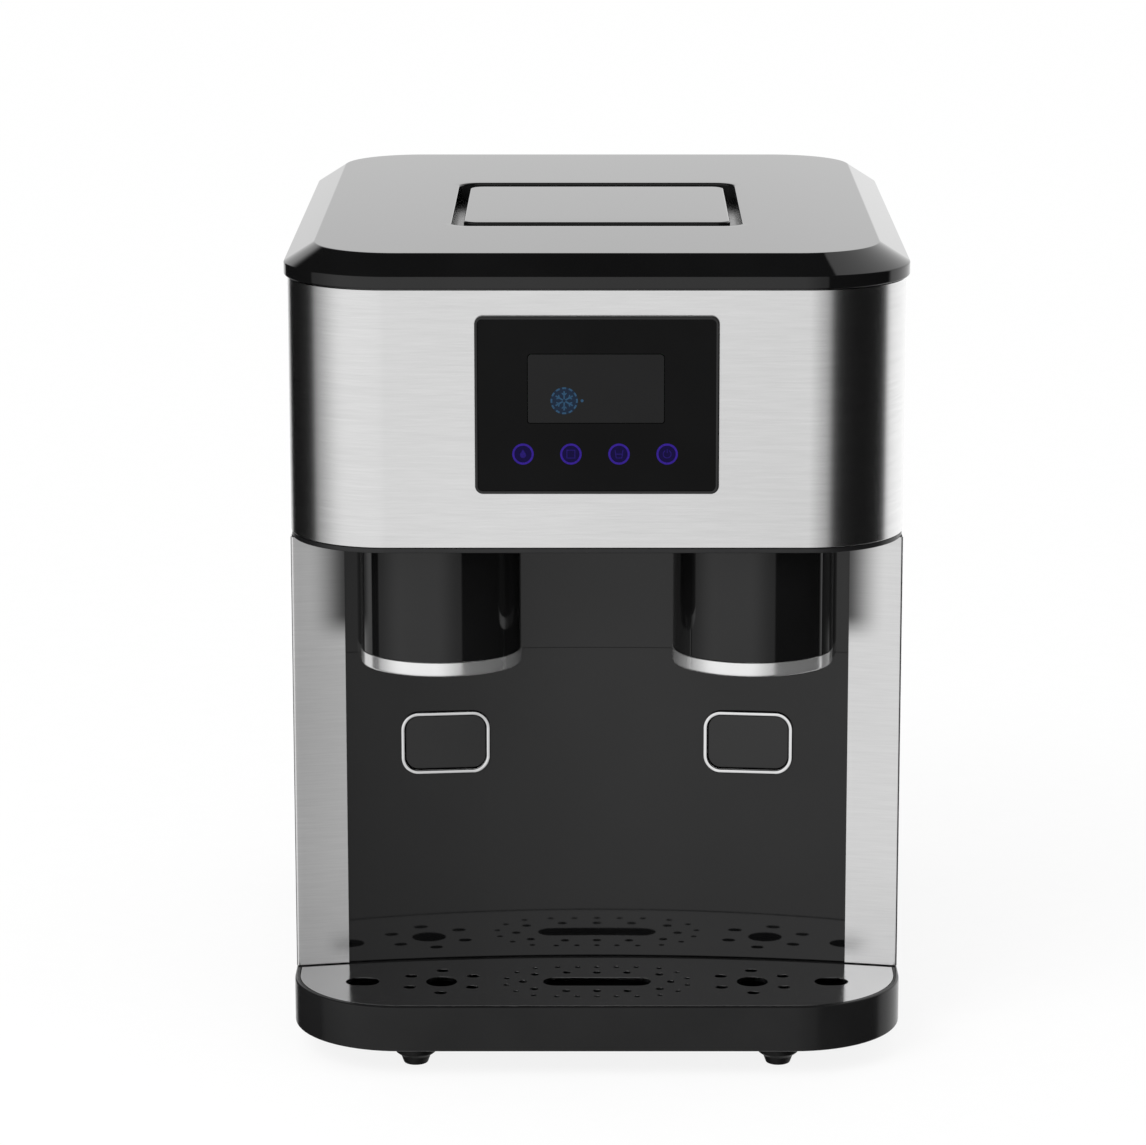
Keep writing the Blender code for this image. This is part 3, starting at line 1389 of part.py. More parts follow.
def chute_shaft(name, grow, low, high):
    """The chute's tapered shaft, or the space in it when it is drawn in by its wall."""
    rings = [
        at_height(chute_loop(grow - CHUTE_TAPER), low),
        at_height(chute_loop(grow), DECK_UNDERSIDE - OVERRUN),
        at_height(chute_loop(grow), high),
    ]
    return loft(name, rings)


def make_ice_chute():
    flange_top = DECK_TOP + SEAT + CHUTE_FLANGE
    chute = chute_shaft("ice_chute", 0, CHUTE_BOTTOM, flange_top - CHUTE_FLANGE / 2)
    join(chute, plate("chute_flange", [chute_loop(CHUTE_FLANGE_REACH)], DECK_TOP + SEAT, flange_top))
    cut(chute, chute_shaft("chute_space", -CHUTE_WALL, CHUTE_BOTTOM - OVERRUN, flange_top + OVERRUN))
    bore_half = CHUTE_HALF_X + OVERRUN
    y = behind(FLAP_SETBACK)
    bore = rod(
        "flap_bore",
        (AUGER_X - bore_half, y, FLAP_HEIGHT),
        (AUGER_X + bore_half, y, FLAP_HEIGHT),
        FLAP_PIN_RADIUS + FLAP_PIN_CLEARANCE,
        SMALL_ROUND_STEPS,
    )
    cut(chute, bore)
    return finish(chute, "white_plastic")


def make_chute_flap():
    y = behind(FLAP_SETBACK)
    outline = rounded_rectangle(
        AUGER_X - FLAP_HALF_X, AUGER_X + FLAP_HALF_X, behind(FLAP_FRONT), y, FLAP_CORNER, FLAP_PIN_RADIUS, 3
    )
    low = FLAP_HEIGHT - FLAP_THICKNESS / 2
    flap = plate("chute_flap", [outline], low, low + FLAP_THICKNESS)
    pin_half = CHUTE_HALF_X - SEAT
    pins = rod(
        "flap_pins",
        (AUGER_X - pin_half, y, FLAP_HEIGHT),
        (AUGER_X + pin_half, y, FLAP_HEIGHT),
        FLAP_PIN_RADIUS,
        PIN_STEPS,
    )
    join(flap, pins)
    pivot(flap, (AUGER_X, y, FLAP_HEIGHT))
    return finish(flap, "black_plastic")


# Water spout in the right-hand outlet
SPOUT_SETBACK = 0.0400
SPOUT_FLANGE_RADIUS = 0.0090
SPOUT_FLANGE_THICKNESS = 0.0020
SPOUT_RADIUS = 0.0050
SPOUT_TIP_RADIUS = 0.0038
SPOUT_TIP_LENGTH = 0.008
SPOUT_BORE = 0.0022
SPOUT_DROP = 0.0563
SPOUT_BOTTOM = DECK_UNDERSIDE - SPOUT_DROP
SPOUT_BARB_RISE = 0.014
SPOUT_BARB_TOP = DECK_TOP + SPOUT_BARB_RISE
SPOUT_BARB_RADIUS = 0.0036


def make_water_spout():
    flange_low = DECK_TOP + SEAT
    flange_high = flange_low + SPOUT_FLANGE_THICKNESS
    profile = [
        (SPOUT_BORE, SPOUT_BARB_TOP),
        (SPOUT_BARB_RADIUS, SPOUT_BARB_TOP),
        (SPOUT_BARB_RADIUS, flange_high),
        (SPOUT_FLANGE_RADIUS, flange_high),
        (SPOUT_FLANGE_RADIUS, flange_low),
        (SPOUT_RADIUS, flange_low),
        (SPOUT_RADIUS, SPOUT_BOTTOM + SPOUT_TIP_LENGTH),
        (SPOUT_TIP_RADIUS, SPOUT_BOTTOM),
        (SPOUT_BORE, SPOUT_BOTTOM),
    ]
    spout = turned("water_spout", profile, FOOT_STEPS, closed=True)
    spout.location = (OUTLET_X, behind(SPOUT_SETBACK), 0)
    return finish(spout, "white_plastic")


# Ice unit: a frame with an ice ramp that carries the evaporator and the tilting tray
FRAME_DROP = 0.0044
FRAME_TOP = COVER_BASE - FRAME_DROP
FRAME_CHEEK = 0.003
FRAME_NOTCH_LENGTH = 0.0425
FRAME_NOTCH_SETBACK = FRAME_FRONT + FRAME_NOTCH_LENGTH
FRAME_NOTCH_DROP = 0.038
FRAME_NOTCH_TOP = FRAME_TOP - FRAME_NOTCH_DROP
RAMP_REACH = 0.004
RAMP_FRONT = FRAME_FRONT - RAMP_REACH
RAMP_THICKNESS = 0.0025
RAMP_FRONT_RISE = 0.047
RAMP_FRONT_TOP = DECK_TOP + RAMP_FRONT_RISE
RAMP_REAR_RISE = 0.061
RAMP_REAR_TOP = DECK_TOP + RAMP_REAR_RISE
RAMP_SLOT_COUNT = 7
RAMP_SLOT_MARGIN = 0.014
RAMP_SLOT_HALF_WIDTH = 0.0020
RAMP_SLOT_FRONT_INSET = 0.0125
RAMP_SLOT_FRONT = FRAME_FRONT + RAMP_SLOT_FRONT_INSET
RAMP_SLOT_REAR_INSET = 0.015
RAMP_SLOT_REAR = FRAME_REAR - RAMP_SLOT_REAR_INSET
HEADER_REAR_INSET = 0.053
HEADER_SETBACK = FRAME_REAR - HEADER_REAR_INSET
HEADER_DROP = 0.010
HEADER_HEIGHT = FRAME_TOP - HEADER_DROP
HEADER_RADIUS = 0.006
HEADER_REACH = 0.0045
BORE_CLEARANCE = 0.0003
FINGER_COUNT = 7
FINGER_MARGIN = 0.021
FINGER_PITCH = (FRAME_RIGHT - FRAME_LEFT - 2 * FINGER_MARGIN) / (FINGER_COUNT - 1)
FINGER_RADIUS = 0.0045
FINGER_LENGTH = 0.032
FINGER_TIP = HEADER_HEIGHT - FINGER_LENGTH
FINGER_TIP_RADIUS = 0.0028
TILT_REAR_INSET = 0.033
TILT_SETBACK = FRAME_REAR - TILT_REAR_INSET
TILT_DROP = 0.024
TILT_HEIGHT = FRAME_TOP - TILT_DROP


def frame_cheek(name, low_x):
    """One side plate of the ice unit's frame, with its corner taken off over the ramp."""
    front, rear = behind(FRAME_FRONT), behind(FRAME_REAR)
    outline = [
        (front, DECK_TOP + SEAT),
        (rear, DECK_TOP + SEAT),
        (rear, FRAME_TOP),
        (behind(FRAME_NOTCH_SETBACK), FRAME_TOP),
        (front, FRAME_NOTCH_TOP),
    ]
    return plate(name, [outline], low_x, low_x + FRAME_CHEEK, "X")


def make_ice_frame():
    frame = frame_cheek("ice_frame", FRAME_LEFT)
    join(frame, frame_cheek("frame_right_cheek", FRAME_RIGHT - FRAME_CHEEK))
    ramp_outline = [
        (behind(RAMP_FRONT), RAMP_FRONT_TOP - RAMP_THICKNESS),
        (behind(FRAME_REAR), RAMP_REAR_TOP - RAMP_THICKNESS),
        (behind(FRAME_REAR), RAMP_REAR_TOP),
        (behind(RAMP_FRONT), RAMP_FRONT_TOP),
    ]
    ramp_left = FRAME_LEFT + FRAME_CHEEK / 2
    ramp_right = FRAME_RIGHT - FRAME_CHEEK / 2
    join(frame, plate("ice_ramp", [ramp_outline], ramp_left, ramp_right, "X"))
    span = FRAME_RIGHT - FRAME_LEFT - 2 * RAMP_SLOT_MARGIN
    pitch = span / (RAMP_SLOT_COUNT - 1)
    for number in range(RAMP_SLOT_COUNT):
        x = FRAME_LEFT + RAMP_SLOT_MARGIN + number * pitch
        low = (x - RAMP_SLOT_HALF_WIDTH, behind(RAMP_SLOT_FRONT), RAMP_FRONT_TOP - 2 * RAMP_THICKNESS)
        high = (x + RAMP_SLOT_HALF_WIDTH, behind(RAMP_SLOT_REAR), RAMP_REAR_TOP + RAMP_THICKNESS)
        cut(frame, box(f"ramp_slot_{number}", low, high))
    across = (FRAME_LEFT - OVERRUN, FRAME_RIGHT + OVERRUN)
    cut(
        frame,
        cross_rod("header_bore", across, HEADER_SETBACK, HEADER_HEIGHT, HEADER_RADIUS + BORE_CLEARANCE),
        cross_rod("tilt_bore", across, TILT_SETBACK, TILT_HEIGHT, TRUNNION_RADIUS + BORE_CLEARANCE),
        cross_rod("fill_bore", across, FILL_SETBACK, FILL_HEIGHT, FILL_BORE_RADIUS),
    )
    return finish(frame, "white_plastic")


def cross_rod(name, span, setback, height, radius, steps=SMALL_ROUND_STEPS):
    y = behind(setback)
    return rod(name, (span[0], y, height), (span[1], y, height), radius, steps)


def make_evaporator():
    span = (FRAME_LEFT - HEADER_REACH, FRAME_RIGHT + HEADER_REACH)
    evaporator = cross_rod("evaporator", span, HEADER_SETBACK, HEADER_HEIGHT, HEADER_RADIUS)
    middle_x = (FRAME_LEFT + FRAME_RIGHT) / 2
    first_x = middle_x - FINGER_PITCH * (FINGER_COUNT - 1) / 2
    y = behind(HEADER_SETBACK)
    shoulder = FINGER_TIP + FINGER_RADIUS - FINGER_TIP_RADIUS
    for number in range(FINGER_COUNT):
        x = first_x + number * FINGER_PITCH
        finger = loft(
            f"finger_{number}",
            [
                at_height(circle((x, y), FINGER_TIP_RADIUS, PIN_STEPS), FINGER_TIP),
                at_height(circle((x, y), FINGER_RADIUS, PIN_STEPS), shoulder),
                at_height(circle((x, y), FINGER_RADIUS, PIN_STEPS), HEADER_HEIGHT),
            ],
        )
        join(evaporator, finger)
    return finish(evaporator, "nickel")


# Tilting water tray under the fingers, and its motor
TRAY_END_GAP = 0.001
TRAY_FRONT_REACH = 0.039
TRAY_REAR_REACH = 0.003
ICE_TRAY_DEPTH = 0.024
ICE_TRAY_RIM = 0.002
ICE_TRAY_WALL = 0.002
TRUNNION_RADIUS = 0.0030
TRUNNION_INTO_MOTOR = 0.008
LUG_RADIUS = 0.0060
TILT_MOTOR_RADIUS = 0.0170
TILT_MOTOR_THICKNESS = 0.0150


def make_ice_tray():
    left = FRAME_LEFT + FRAME_CHEEK + TRAY_END_GAP
    right = FRAME_RIGHT - FRAME_CHEEK - TRAY_END_GAP
    front = behind(TILT_SETBACK) - TRAY_FRONT_REACH
    rear = behind(TILT_SETBACK) - TRAY_REAR_REACH
    bottom = TILT_HEIGHT - ICE_TRAY_DEPTH
    rim = TILT_HEIGHT + ICE_TRAY_RIM
    tray = box("ice_tray", (left, front, bottom), (right, rear, rim))
    hollow = box(
        "ice_tray_hollow",
        (left + ICE_TRAY_WALL, front + ICE_TRAY_WALL, bottom + ICE_TRAY_WALL),
        (right - ICE_TRAY_WALL, rear - ICE_TRAY_WALL, rim + OVERRUN),
    )
    cut(tray, hollow)
    half_wall = ICE_TRAY_WALL / 2
    lugs = [
        cross_rod("tray_lug_left", (left - SEAT, left + half_wall), TILT_SETBACK, TILT_HEIGHT, LUG_RADIUS),
        cross_rod("tray_lug_right", (right - half_wall, right + SEAT), TILT_SETBACK, TILT_HEIGHT, LUG_RADIUS),
        cross_rod("trunnion_left", (FRAME_LEFT + SEAT, left + SEAT), TILT_SETBACK, TILT_HEIGHT, TRUNNION_RADIUS),
        cross_rod(
            "trunnion_right",
            (right - SEAT, FRAME_RIGHT + TRUNNION_INTO_MOTOR),
            TILT_SETBACK,
            TILT_HEIGHT,
            TRUNNION_RADIUS,
        ),
    ]
    join(tray, *lugs)
    pivot(tray, (FRAME_LEFT, behind(TILT_SETBACK), TILT_HEIGHT))
    return finish(tray, "white_plastic")


def make_tilt_motor():
    face = FRAME_RIGHT + SEAT
    motor = cross_rod(
        "tilt_motor", (face, face + TILT_MOTOR_THICKNESS), TILT_SETBACK, TILT_HEIGHT, TILT_MOTOR_RADIUS, ROUND_STEPS
    )
    bore = (face - OVERRUN, FRAME_RIGHT + TRUNNION_INTO_MOTOR + SEAT)
    cut(motor, cross_rod("tilt_motor_bore", bore, TILT_SETBACK, TILT_HEIGHT, TRUNNION_RADIUS + BORE_CLEARANCE))
    return finish(motor, "grey_plastic")


# Water reservoir with its float and its two pumps
RESERVOIR_SIDE_GAP = 0.015
RESERVOIR_LEFT = -(HALF_WIDTH - RESERVOIR_SIDE_GAP)
RESERVOIR_WIDTH = 0.190
RESERVOIR_RIGHT = RESERVOIR_LEFT + RESERVOIR_WIDTH
RESERVOIR_FRONT = 0.078
RESERVOIR_HEIGHT = 0.1007
RESERVOIR_TOP = BASE_FLOOR + RESERVOIR_HEIGHT
RESERVOIR_WALL = 0.002
RESERVOIR_CORNER = 0.012
STEM_SIDE_INSET = 0.060
STEM_X = RESERVOIR_RIGHT - STEM_SIDE_INSET
STEM_REAR_INSET = 0.050
STEM_SETBACK = RESERVOIR_REAR - STEM_REAR_INSET
STEM_RADIUS = 0.003
STEM_COLLAR_RADIUS = 0.006
STEM_COLLAR_HEIGHT = 0.006
FLOAT_RADIUS = 0.013
FLOAT_HEIGHT = 0.018
FLOAT_CLEARANCE = 0.0004
PUMP_SIDE_INSET = 0.035
PUMP_X = RESERVOIR_LEFT + PUMP_SIDE_INSET
PUMP_HALF_X = 0.018
PUMP_HALF_Y = 0.015
PUMP_HEIGHT = 0.034
PUMP_CORNER = 0.006
PUMP_FRONT_INSET = 0.030
PUMP_PITCH = 0.052
PUMP_SETBACKS = {
    "dispense_pump": RESERVOIR_FRONT + PUMP_FRONT_INSET,
    "fill_pump": RESERVOIR_FRONT + PUMP_FRONT_INSET + PUMP_PITCH,
}
BARB_RADIUS = 0.0028
BARB_LENGTH = 0.012


def make_reservoir():
    low = BASE_FLOOR + SEAT
    floor = low + RESERVOIR_WALL
    outline = rounded_rectangle(
        RESERVOIR_LEFT, RESERVOIR_RIGHT, behind(RESERVOIR_FRONT), behind(RESERVOIR_REAR), RESERVOIR_CORNER, steps=4
    )
    inner = rounded_rectangle(
        RESERVOIR_LEFT + RESERVOIR_WALL,
        RESERVOIR_RIGHT - RESERVOIR_WALL,
        behind(RESERVOIR_FRONT) + RESERVOIR_WALL,
        behind(RESERVOIR_REAR) - RESERVOIR_WALL,
        RESERVOIR_CORNER - RESERVOIR_WALL,
        steps=4,
    )
    tank = plate("reservoir", [outline], low, RESERVOIR_TOP)
    cut(tank, plate("reservoir_hollow", [inner], floor, RESERVOIR_TOP + OVERRUN))
    spot = (STEM_X, behind(STEM_SETBACK))
    root = low + RESERVOIR_WALL / 2
    stem = rod("float_stem", (*spot, root), (*spot, RESERVOIR_TOP - OVERRUN), STEM_RADIUS, SMALL_ROUND_STEPS)
    collar = rod(
        "stem_collar", (*spot, root), (*spot, floor + STEM_COLLAR_HEIGHT), STEM_COLLAR_RADIUS, SMALL_ROUND_STEPS
    )
    join(tank, stem, collar)
    start = (DRAIN_X, behind(RESERVOIR_REAR) - RESERVOIR_WALL - OVERRUN, DRAIN_HEIGHT)
    end = (DRAIN_X, behind(RESERVOIR_REAR) + OVERRUN, DRAIN_HEIGHT)
    cut(tank, rod("reservoir_drain", start, end, DRAIN_BORE, SMALL_ROUND_STEPS))
    return finish(tank, "white_plastic")


def make_float():
    low = BASE_FLOOR + SEAT + RESERVOIR_WALL + STEM_COLLAR_HEIGHT + SEAT
    bore = STEM_RADIUS + FLOAT_CLEARANCE
    edge = FLOAT_HEIGHT / 6
    profile = [
        (bore, FLOAT_HEIGHT),
        (FLOAT_RADIUS - edge, FLOAT_HEIGHT),
        (FLOAT_RADIUS, FLOAT_HEIGHT - edge),
        (FLOAT_RADIUS, edge),
        (FLOAT_RADIUS - edge, 0),
        (bore, 0),
    ]
    ring = turned("float", profile, FOOT_STEPS, closed=True)
    ring.location = (STEM_X, behind(STEM_SETBACK), low)
    return finish(ring, "white_plastic")


def make_pumps():
    low = BASE_FLOOR + SEAT + RESERVOIR_WALL + SEAT
    for name, setback in PUMP_SETBACKS.items():
        y = behind(setback)
        outline = rounded_rectangle(
            PUMP_X - PUMP_HALF_X, PUMP_X + PUMP_HALF_X, y - PUMP_HALF_Y, y + PUMP_HALF_Y, PUMP_CORNER, steps=3
        )
        pump = plate(name, [outline], low, low + PUMP_HEIGHT)
        barb_low = (PUMP_X, y, low + PUMP_HEIGHT / 2)
        barb_high = (PUMP_X, y, low + PUMP_HEIGHT + BARB_LENGTH)
        join(pump, rod(f"{name}_barb", barb_low, barb_high, BARB_RADIUS, SMALL_ROUND_STEPS))
        finish(pump, "grey_plastic")


# Water hoses
HOSE_RADIUS = 0.004
HOSE_BEND = 0.014
DISPENSE_DROP = 0.0233
DISPENSE_LEVEL = DECK_UNDERSIDE - DISPENSE_DROP
DISPENSE_RISE_SETBACK = 0.078
DISPENSE_RISE = 0.046
DISPENSE_PEAK = DECK_TOP + DISPENSE_RISE
FILL_LEVEL_DROP = 0.0353
FILL_LEVEL = DECK_UNDERSIDE - FILL_LEVEL_DROP
FILL_SIDE_GAP = 0.027
FILL_RISE_X = -(HALF_WIDTH - FILL_SIDE_GAP)
FILL_RISE_REAR_INSET = 0.085
FILL_RISE_SETBACK = FRAME_REAR - FILL_RISE_REAR_INSET
FILL_REAR_INSET = 0.066
FILL_SETBACK = FRAME_REAR - FILL_REAR_INSET
FILL_HEIGHT = HEADER_HEIGHT
FILL_BORE_RADIUS = 0.0030


def pump_outlet(name):
    low = BASE_FLOOR + SEAT + RESERVOIR_WALL + SEAT
    return (PUMP_X, behind(PUMP_SETBACKS[name]), low + PUMP_HEIGHT + BARB_LENGTH + SEAT)


def make_dispense_hose():
    start = pump_outlet("dispense_pump")
    rise = behind(DISPENSE_RISE_SETBACK)
    spout = behind(SPOUT_SETBACK)
    points = [
        start,
        (start[0], start[1], DISPENSE_LEVEL),
        (OUTLET_X, start[1], DISPENSE_LEVEL),
        (OUTLET_X, rise, DISPENSE_LEVEL),
        (OUTLET_X, rise, DISPENSE_PEAK),
        (OUTLET_X, spout, DISPENSE_PEAK),
        (OUTLET_X, spout, SPOUT_BARB_TOP + SEAT),
    ]
    hose = tube("dispense_hose", rounded_route(points, HOSE_BEND), HOSE_RADIUS)
    return finish(hose, "clear_hose")


def make_fill_hose():
    start = pump_outlet("fill_pump")
    rise = behind(FILL_RISE_SETBACK)
    fill_y = behind(FILL_SETBACK)
    points = [
        start,
        (start[0], start[1], FILL_LEVEL),
        (FILL_RISE_X, rise, FILL_LEVEL),
        (FILL_RISE_X, rise, FILL_HEIGHT),
        (FILL_RISE_X / 2, fill_y, FILL_HEIGHT),
        (FRAME_LEFT - SEAT, fill_y, FILL_HEIGHT),
    ]
    hose = tube("fill_hose", rounded_route(points, HOSE_BEND / 2), HOSE_RADIUS)
    return finish(hose, "clear_hose")


# Drain through the base's rear wall, closed by a pull-off plug
DRAIN_BORE = 0.0035
DRAIN_HOSE_RADIUS = 0.0055
DRAIN_POCKET_HALF_X = 0.014
DRAIN_POCKET_DEPTH = 0.014
DRAIN_POCKET_DROP = 0.0108
DRAIN_POCKET_LOW = DRAIN_HEIGHT - DRAIN_POCKET_DROP
DRAIN_POCKET_WALL = 0.003
DRAIN_SPIGOT_RADIUS = 0.0052
DRAIN_SPIGOT_LENGTH = 0.007
DRAIN_FLANGE_RADIUS = 0.0085
DRAIN_FLANGE_THICKNESS = 0.002
PLUG_RADIUS = 0.0078
PLUG_WALL = 0.0018
PLUG_LENGTH = 0.0105
PLUG_STEPS = 12


def add_drain_pocket(pan):
    """A recess in the rear wall, so that the drain doesn't stand proud of the base."""
    half = DRAIN_POCKET_HALF_X
    rear = HEAD_REAR
    front = rear - DRAIN_POCKET_DEPTH
    block_low = (DRAIN_X - half - DRAIN_POCKET_WALL, front - DRAIN_POCKET_WALL, BASE_BOTTOM + BASE_WALL / 2)
    block_high = (DRAIN_X + half + DRAIN_POCKET_WALL, rear - BASE_WALL / 2, BASE_TOP)
    recess_low = (DRAIN_X - half, front, DRAIN_POCKET_LOW)
    recess_high = (DRAIN_X + half, rear + OVERRUN, 2 * DRAIN_HEIGHT - DRAIN_POCKET_LOW)
    join(pan, box("drain_block", block_low, block_high))
    cut(pan, box("drain_recess", recess_low, recess_high))
    bore_start = (DRAIN_X, front - DRAIN_POCKET_WALL - OVERRUN, DRAIN_HEIGHT)
    bore_end = (DRAIN_X, front + OVERRUN, DRAIN_HEIGHT)
    bore_radius = DRAIN_SPIGOT_RADIUS + SEAT
    cut(pan, rod("drain_bore", bore_start, bore_end, bore_radius, PLUG_STEPS))


def turn_to_rear(piece, y):
    """Lays a turned piece along Y, with its profile's top to the rear."""
    piece.rotation_euler = (-QUARTER_TURN, 0, 0)
    piece.location = (DRAIN_X, y, DRAIN_HEIGHT)
    return piece


def make_drain_fitting():
    through = DRAIN_POCKET_WALL + 2 * SEAT
    profile = [
        (DRAIN_BORE, DRAIN_FLANGE_THICKNESS + DRAIN_SPIGOT_LENGTH),
        (DRAIN_SPIGOT_RADIUS, DRAIN_FLANGE_THICKNESS + DRAIN_SPIGOT_LENGTH),
        (DRAIN_SPIGOT_RADIUS, DRAIN_FLANGE_THICKNESS),
        (DRAIN_FLANGE_RADIUS, DRAIN_FLANGE_THICKNESS),
        (DRAIN_FLANGE_RADIUS, 0),
        (DRAIN_SPIGOT_RADIUS, 0),
        (DRAIN_SPIGOT_RADIUS, -through),
        (DRAIN_BORE, -through),
    ]
    fitting = turned("drain_fitting", profile, PLUG_STEPS, closed=True)
    turn_to_rear(fitting, HEAD_REAR - DRAIN_POCKET_DEPTH + SEAT)
    return finish(fitting, "grey_plastic")


def make_drain_plug():
    clear = DRAIN_SPIGOT_RADIUS + SEAT
    flange_face = HEAD_REAR - DRAIN_POCKET_DEPTH + SEAT + DRAIN_FLANGE_THICKNESS
    profile = [
        (0, PLUG_LENGTH),
        (PLUG_RADIUS, PLUG_LENGTH),
        (PLUG_RADIUS, 0),
        (clear, 0),
        (clear, PLUG_LENGTH - PLUG_WALL),
        (0, PLUG_LENGTH - PLUG_WALL),
    ]
    plug = turned("drain_plug", profile, PLUG_STEPS)
    turn_to_rear(plug, flange_face + SEAT)
    return finish(plug, "rubber")


def make_drain_hose():
    start = (DRAIN_X, behind(RESERVOIR_REAR) + SEAT, DRAIN_HEIGHT)
    end_y = HEAD_REAR - DRAIN_POCKET_DEPTH - DRAIN_POCKET_WALL - 2 * SEAT
    hose = tube("drain_hose", [start, (DRAIN_X, end_y, DRAIN_HEIGHT)], DRAIN_HOSE_RADIUS)
    return finish(hose, "rubber")


# Refrigeration: the compressor, condenser, fan, drier and pipes
COMPRESSOR_RADIUS = 0.055
COMPRESSOR_RIM_HALF = 0.002
COMPRESSOR_DOME = 0.026
COMPRESSOR_BOWL = 0.020
COMPRESSOR_FOOT_THICKNESS = 0.0025
COMPRESSOR_FOOT_HALF = 0.052
COMPRESSOR_FOOT_CORNER = 0.012
COMPRESSOR_RAISE = 0.0107
COMPRESSOR_BOTTOM = BASE_FLOOR + COMPRESSOR_RAISE
BOSS_RADIUS = 0.007
BOSS_REACH = 0.042
COMPRESSOR_HEIGHT = 0.137
COMPRESSOR_SEAM_RISE = 0.070
COMPRESSOR_TOP = COMPRESSOR_BOTTOM + COMPRESSOR_HEIGHT
COMPRESSOR_SEAM = COMPRESSOR_BOTTOM + COMPRESSOR_SEAM_RISE
BOSS_TOP = COMPRESSOR_BOTTOM - SEAT
TERMINAL_HALF_X = 0.014
TERMINAL_RISE = 0.034
TERMINAL_LOW = COMPRESSOR_BOTTOM + TERMINAL_RISE
TERMINAL_HEIGHT = 0.030
TERMINAL_HIGH = TERMINAL_LOW + TERMINAL_HEIGHT


def compressor_bosses():
    bosses = []
    for sign_x in (-1, 1):
        for sign_y in (-1, 1):
            x = COMPRESSOR_X + sign_x * BOSS_REACH
            y = behind(COMPRESSOR_SETBACK) + sign_y * BOSS_REACH
            low = (x, y, BASE_BOTTOM + BASE_WALL / 2)
            bosses.append(rod(f"boss_{sign_x}_{sign_y}", low, (x, y, BOSS_TOP), BOSS_RADIUS, SMALL_ROUND_STEPS))
    return bosses


def quarter_profile(radius, height, start_deg, end_deg, centre_height, steps=4):
    return arc((0, centre_height), (radius, height), start_deg, end_deg, steps)


def make_compressor():
    dome = quarter_profile(COMPRESSOR_RADIUS, COMPRESSOR_DOME, 90, 0, COMPRESSOR_TOP - COMPRESSOR_DOME)
    bowl_floor = COMPRESSOR_BOTTOM + COMPRESSOR_BOWL
    bowl = quarter_profile(COMPRESSOR_RADIUS, COMPRESSOR_BOWL - COMPRESSOR_FOOT_THICKNESS, 0, -90, bowl_floor)
    dome[0] = (0, COMPRESSOR_TOP)
    bowl[-1] = (0, bowl[-1][1])
    rim = [
        (COMPRESSOR_RADIUS, COMPRESSOR_SEAM + COMPRESSOR_RIM_HALF),
        (COMPRESSOR_RIM, COMPRESSOR_SEAM + COMPRESSOR_RIM_HALF),
        (COMPRESSOR_RIM, COMPRESSOR_SEAM - COMPRESSOR_RIM_HALF),
        (COMPRESSOR_RADIUS, COMPRESSOR_SEAM - COMPRESSOR_RIM_HALF),
    ]
    compressor = turned("compressor", dome + rim + bowl, ROUND_STEPS)
    centre = (COMPRESSOR_X, behind(COMPRESSOR_SETBACK))
    compressor.location = (*centre, 0)
    half = COMPRESSOR_FOOT_HALF
    foot_outline = rounded_rectangle(
        centre[0] - half, centre[0] + half, centre[1] - half, centre[1] + half, COMPRESSOR_FOOT_CORNER, steps=3
    )
    foot_top = COMPRESSOR_BOTTOM + COMPRESSOR_FOOT_THICKNESS + SEAT
    join(compressor, plate("compressor_foot", [foot_outline], COMPRESSOR_BOTTOM, foot_top))
    terminal = box(
        "terminal_box",
        (centre[0] - TERMINAL_HALF_X, centre[1] - TERMINAL_REACH, TERMINAL_LOW),
        (centre[0] + TERMINAL_HALF_X, centre[1], TERMINAL_HIGH),
    )
    join(compressor, terminal)
    return finish(compressor, "compressor_paint")


CONDENSER_DRAIN_GAP = 0.0185
CONDENSER_LEFT = DRAIN_X + CONDENSER_DRAIN_GAP
CONDENSER_SIDE_GAP = 0.061
CONDENSER_RIGHT = HALF_WIDTH - CONDENSER_SIDE_GAP
CONDENSER_REAR_GAP = 0.0077
CONDENSER_THICKNESS = 0.0220
CONDENSER_REAR = HEAD_DEPTH - CONDENSER_REAR_GAP
CONDENSER_FRONT = CONDENSER_REAR - CONDENSER_THICKNESS
CONDENSER_RAISE = 0.0127
CONDENSER_LOW = BASE_FLOOR + CONDENSER_RAISE
CONDENSER_HEIGHT = 0.142
CONDENSER_TOP = CONDENSER_LOW + CONDENSER_HEIGHT
FIN_COUNT = 10
FIN_THICKNESS = 0.0014
CORE_HALF = 0.0030
STUB_RADIUS = 0.004
STUB_LENGTH = 0.008
STUB_INSET = 0.012


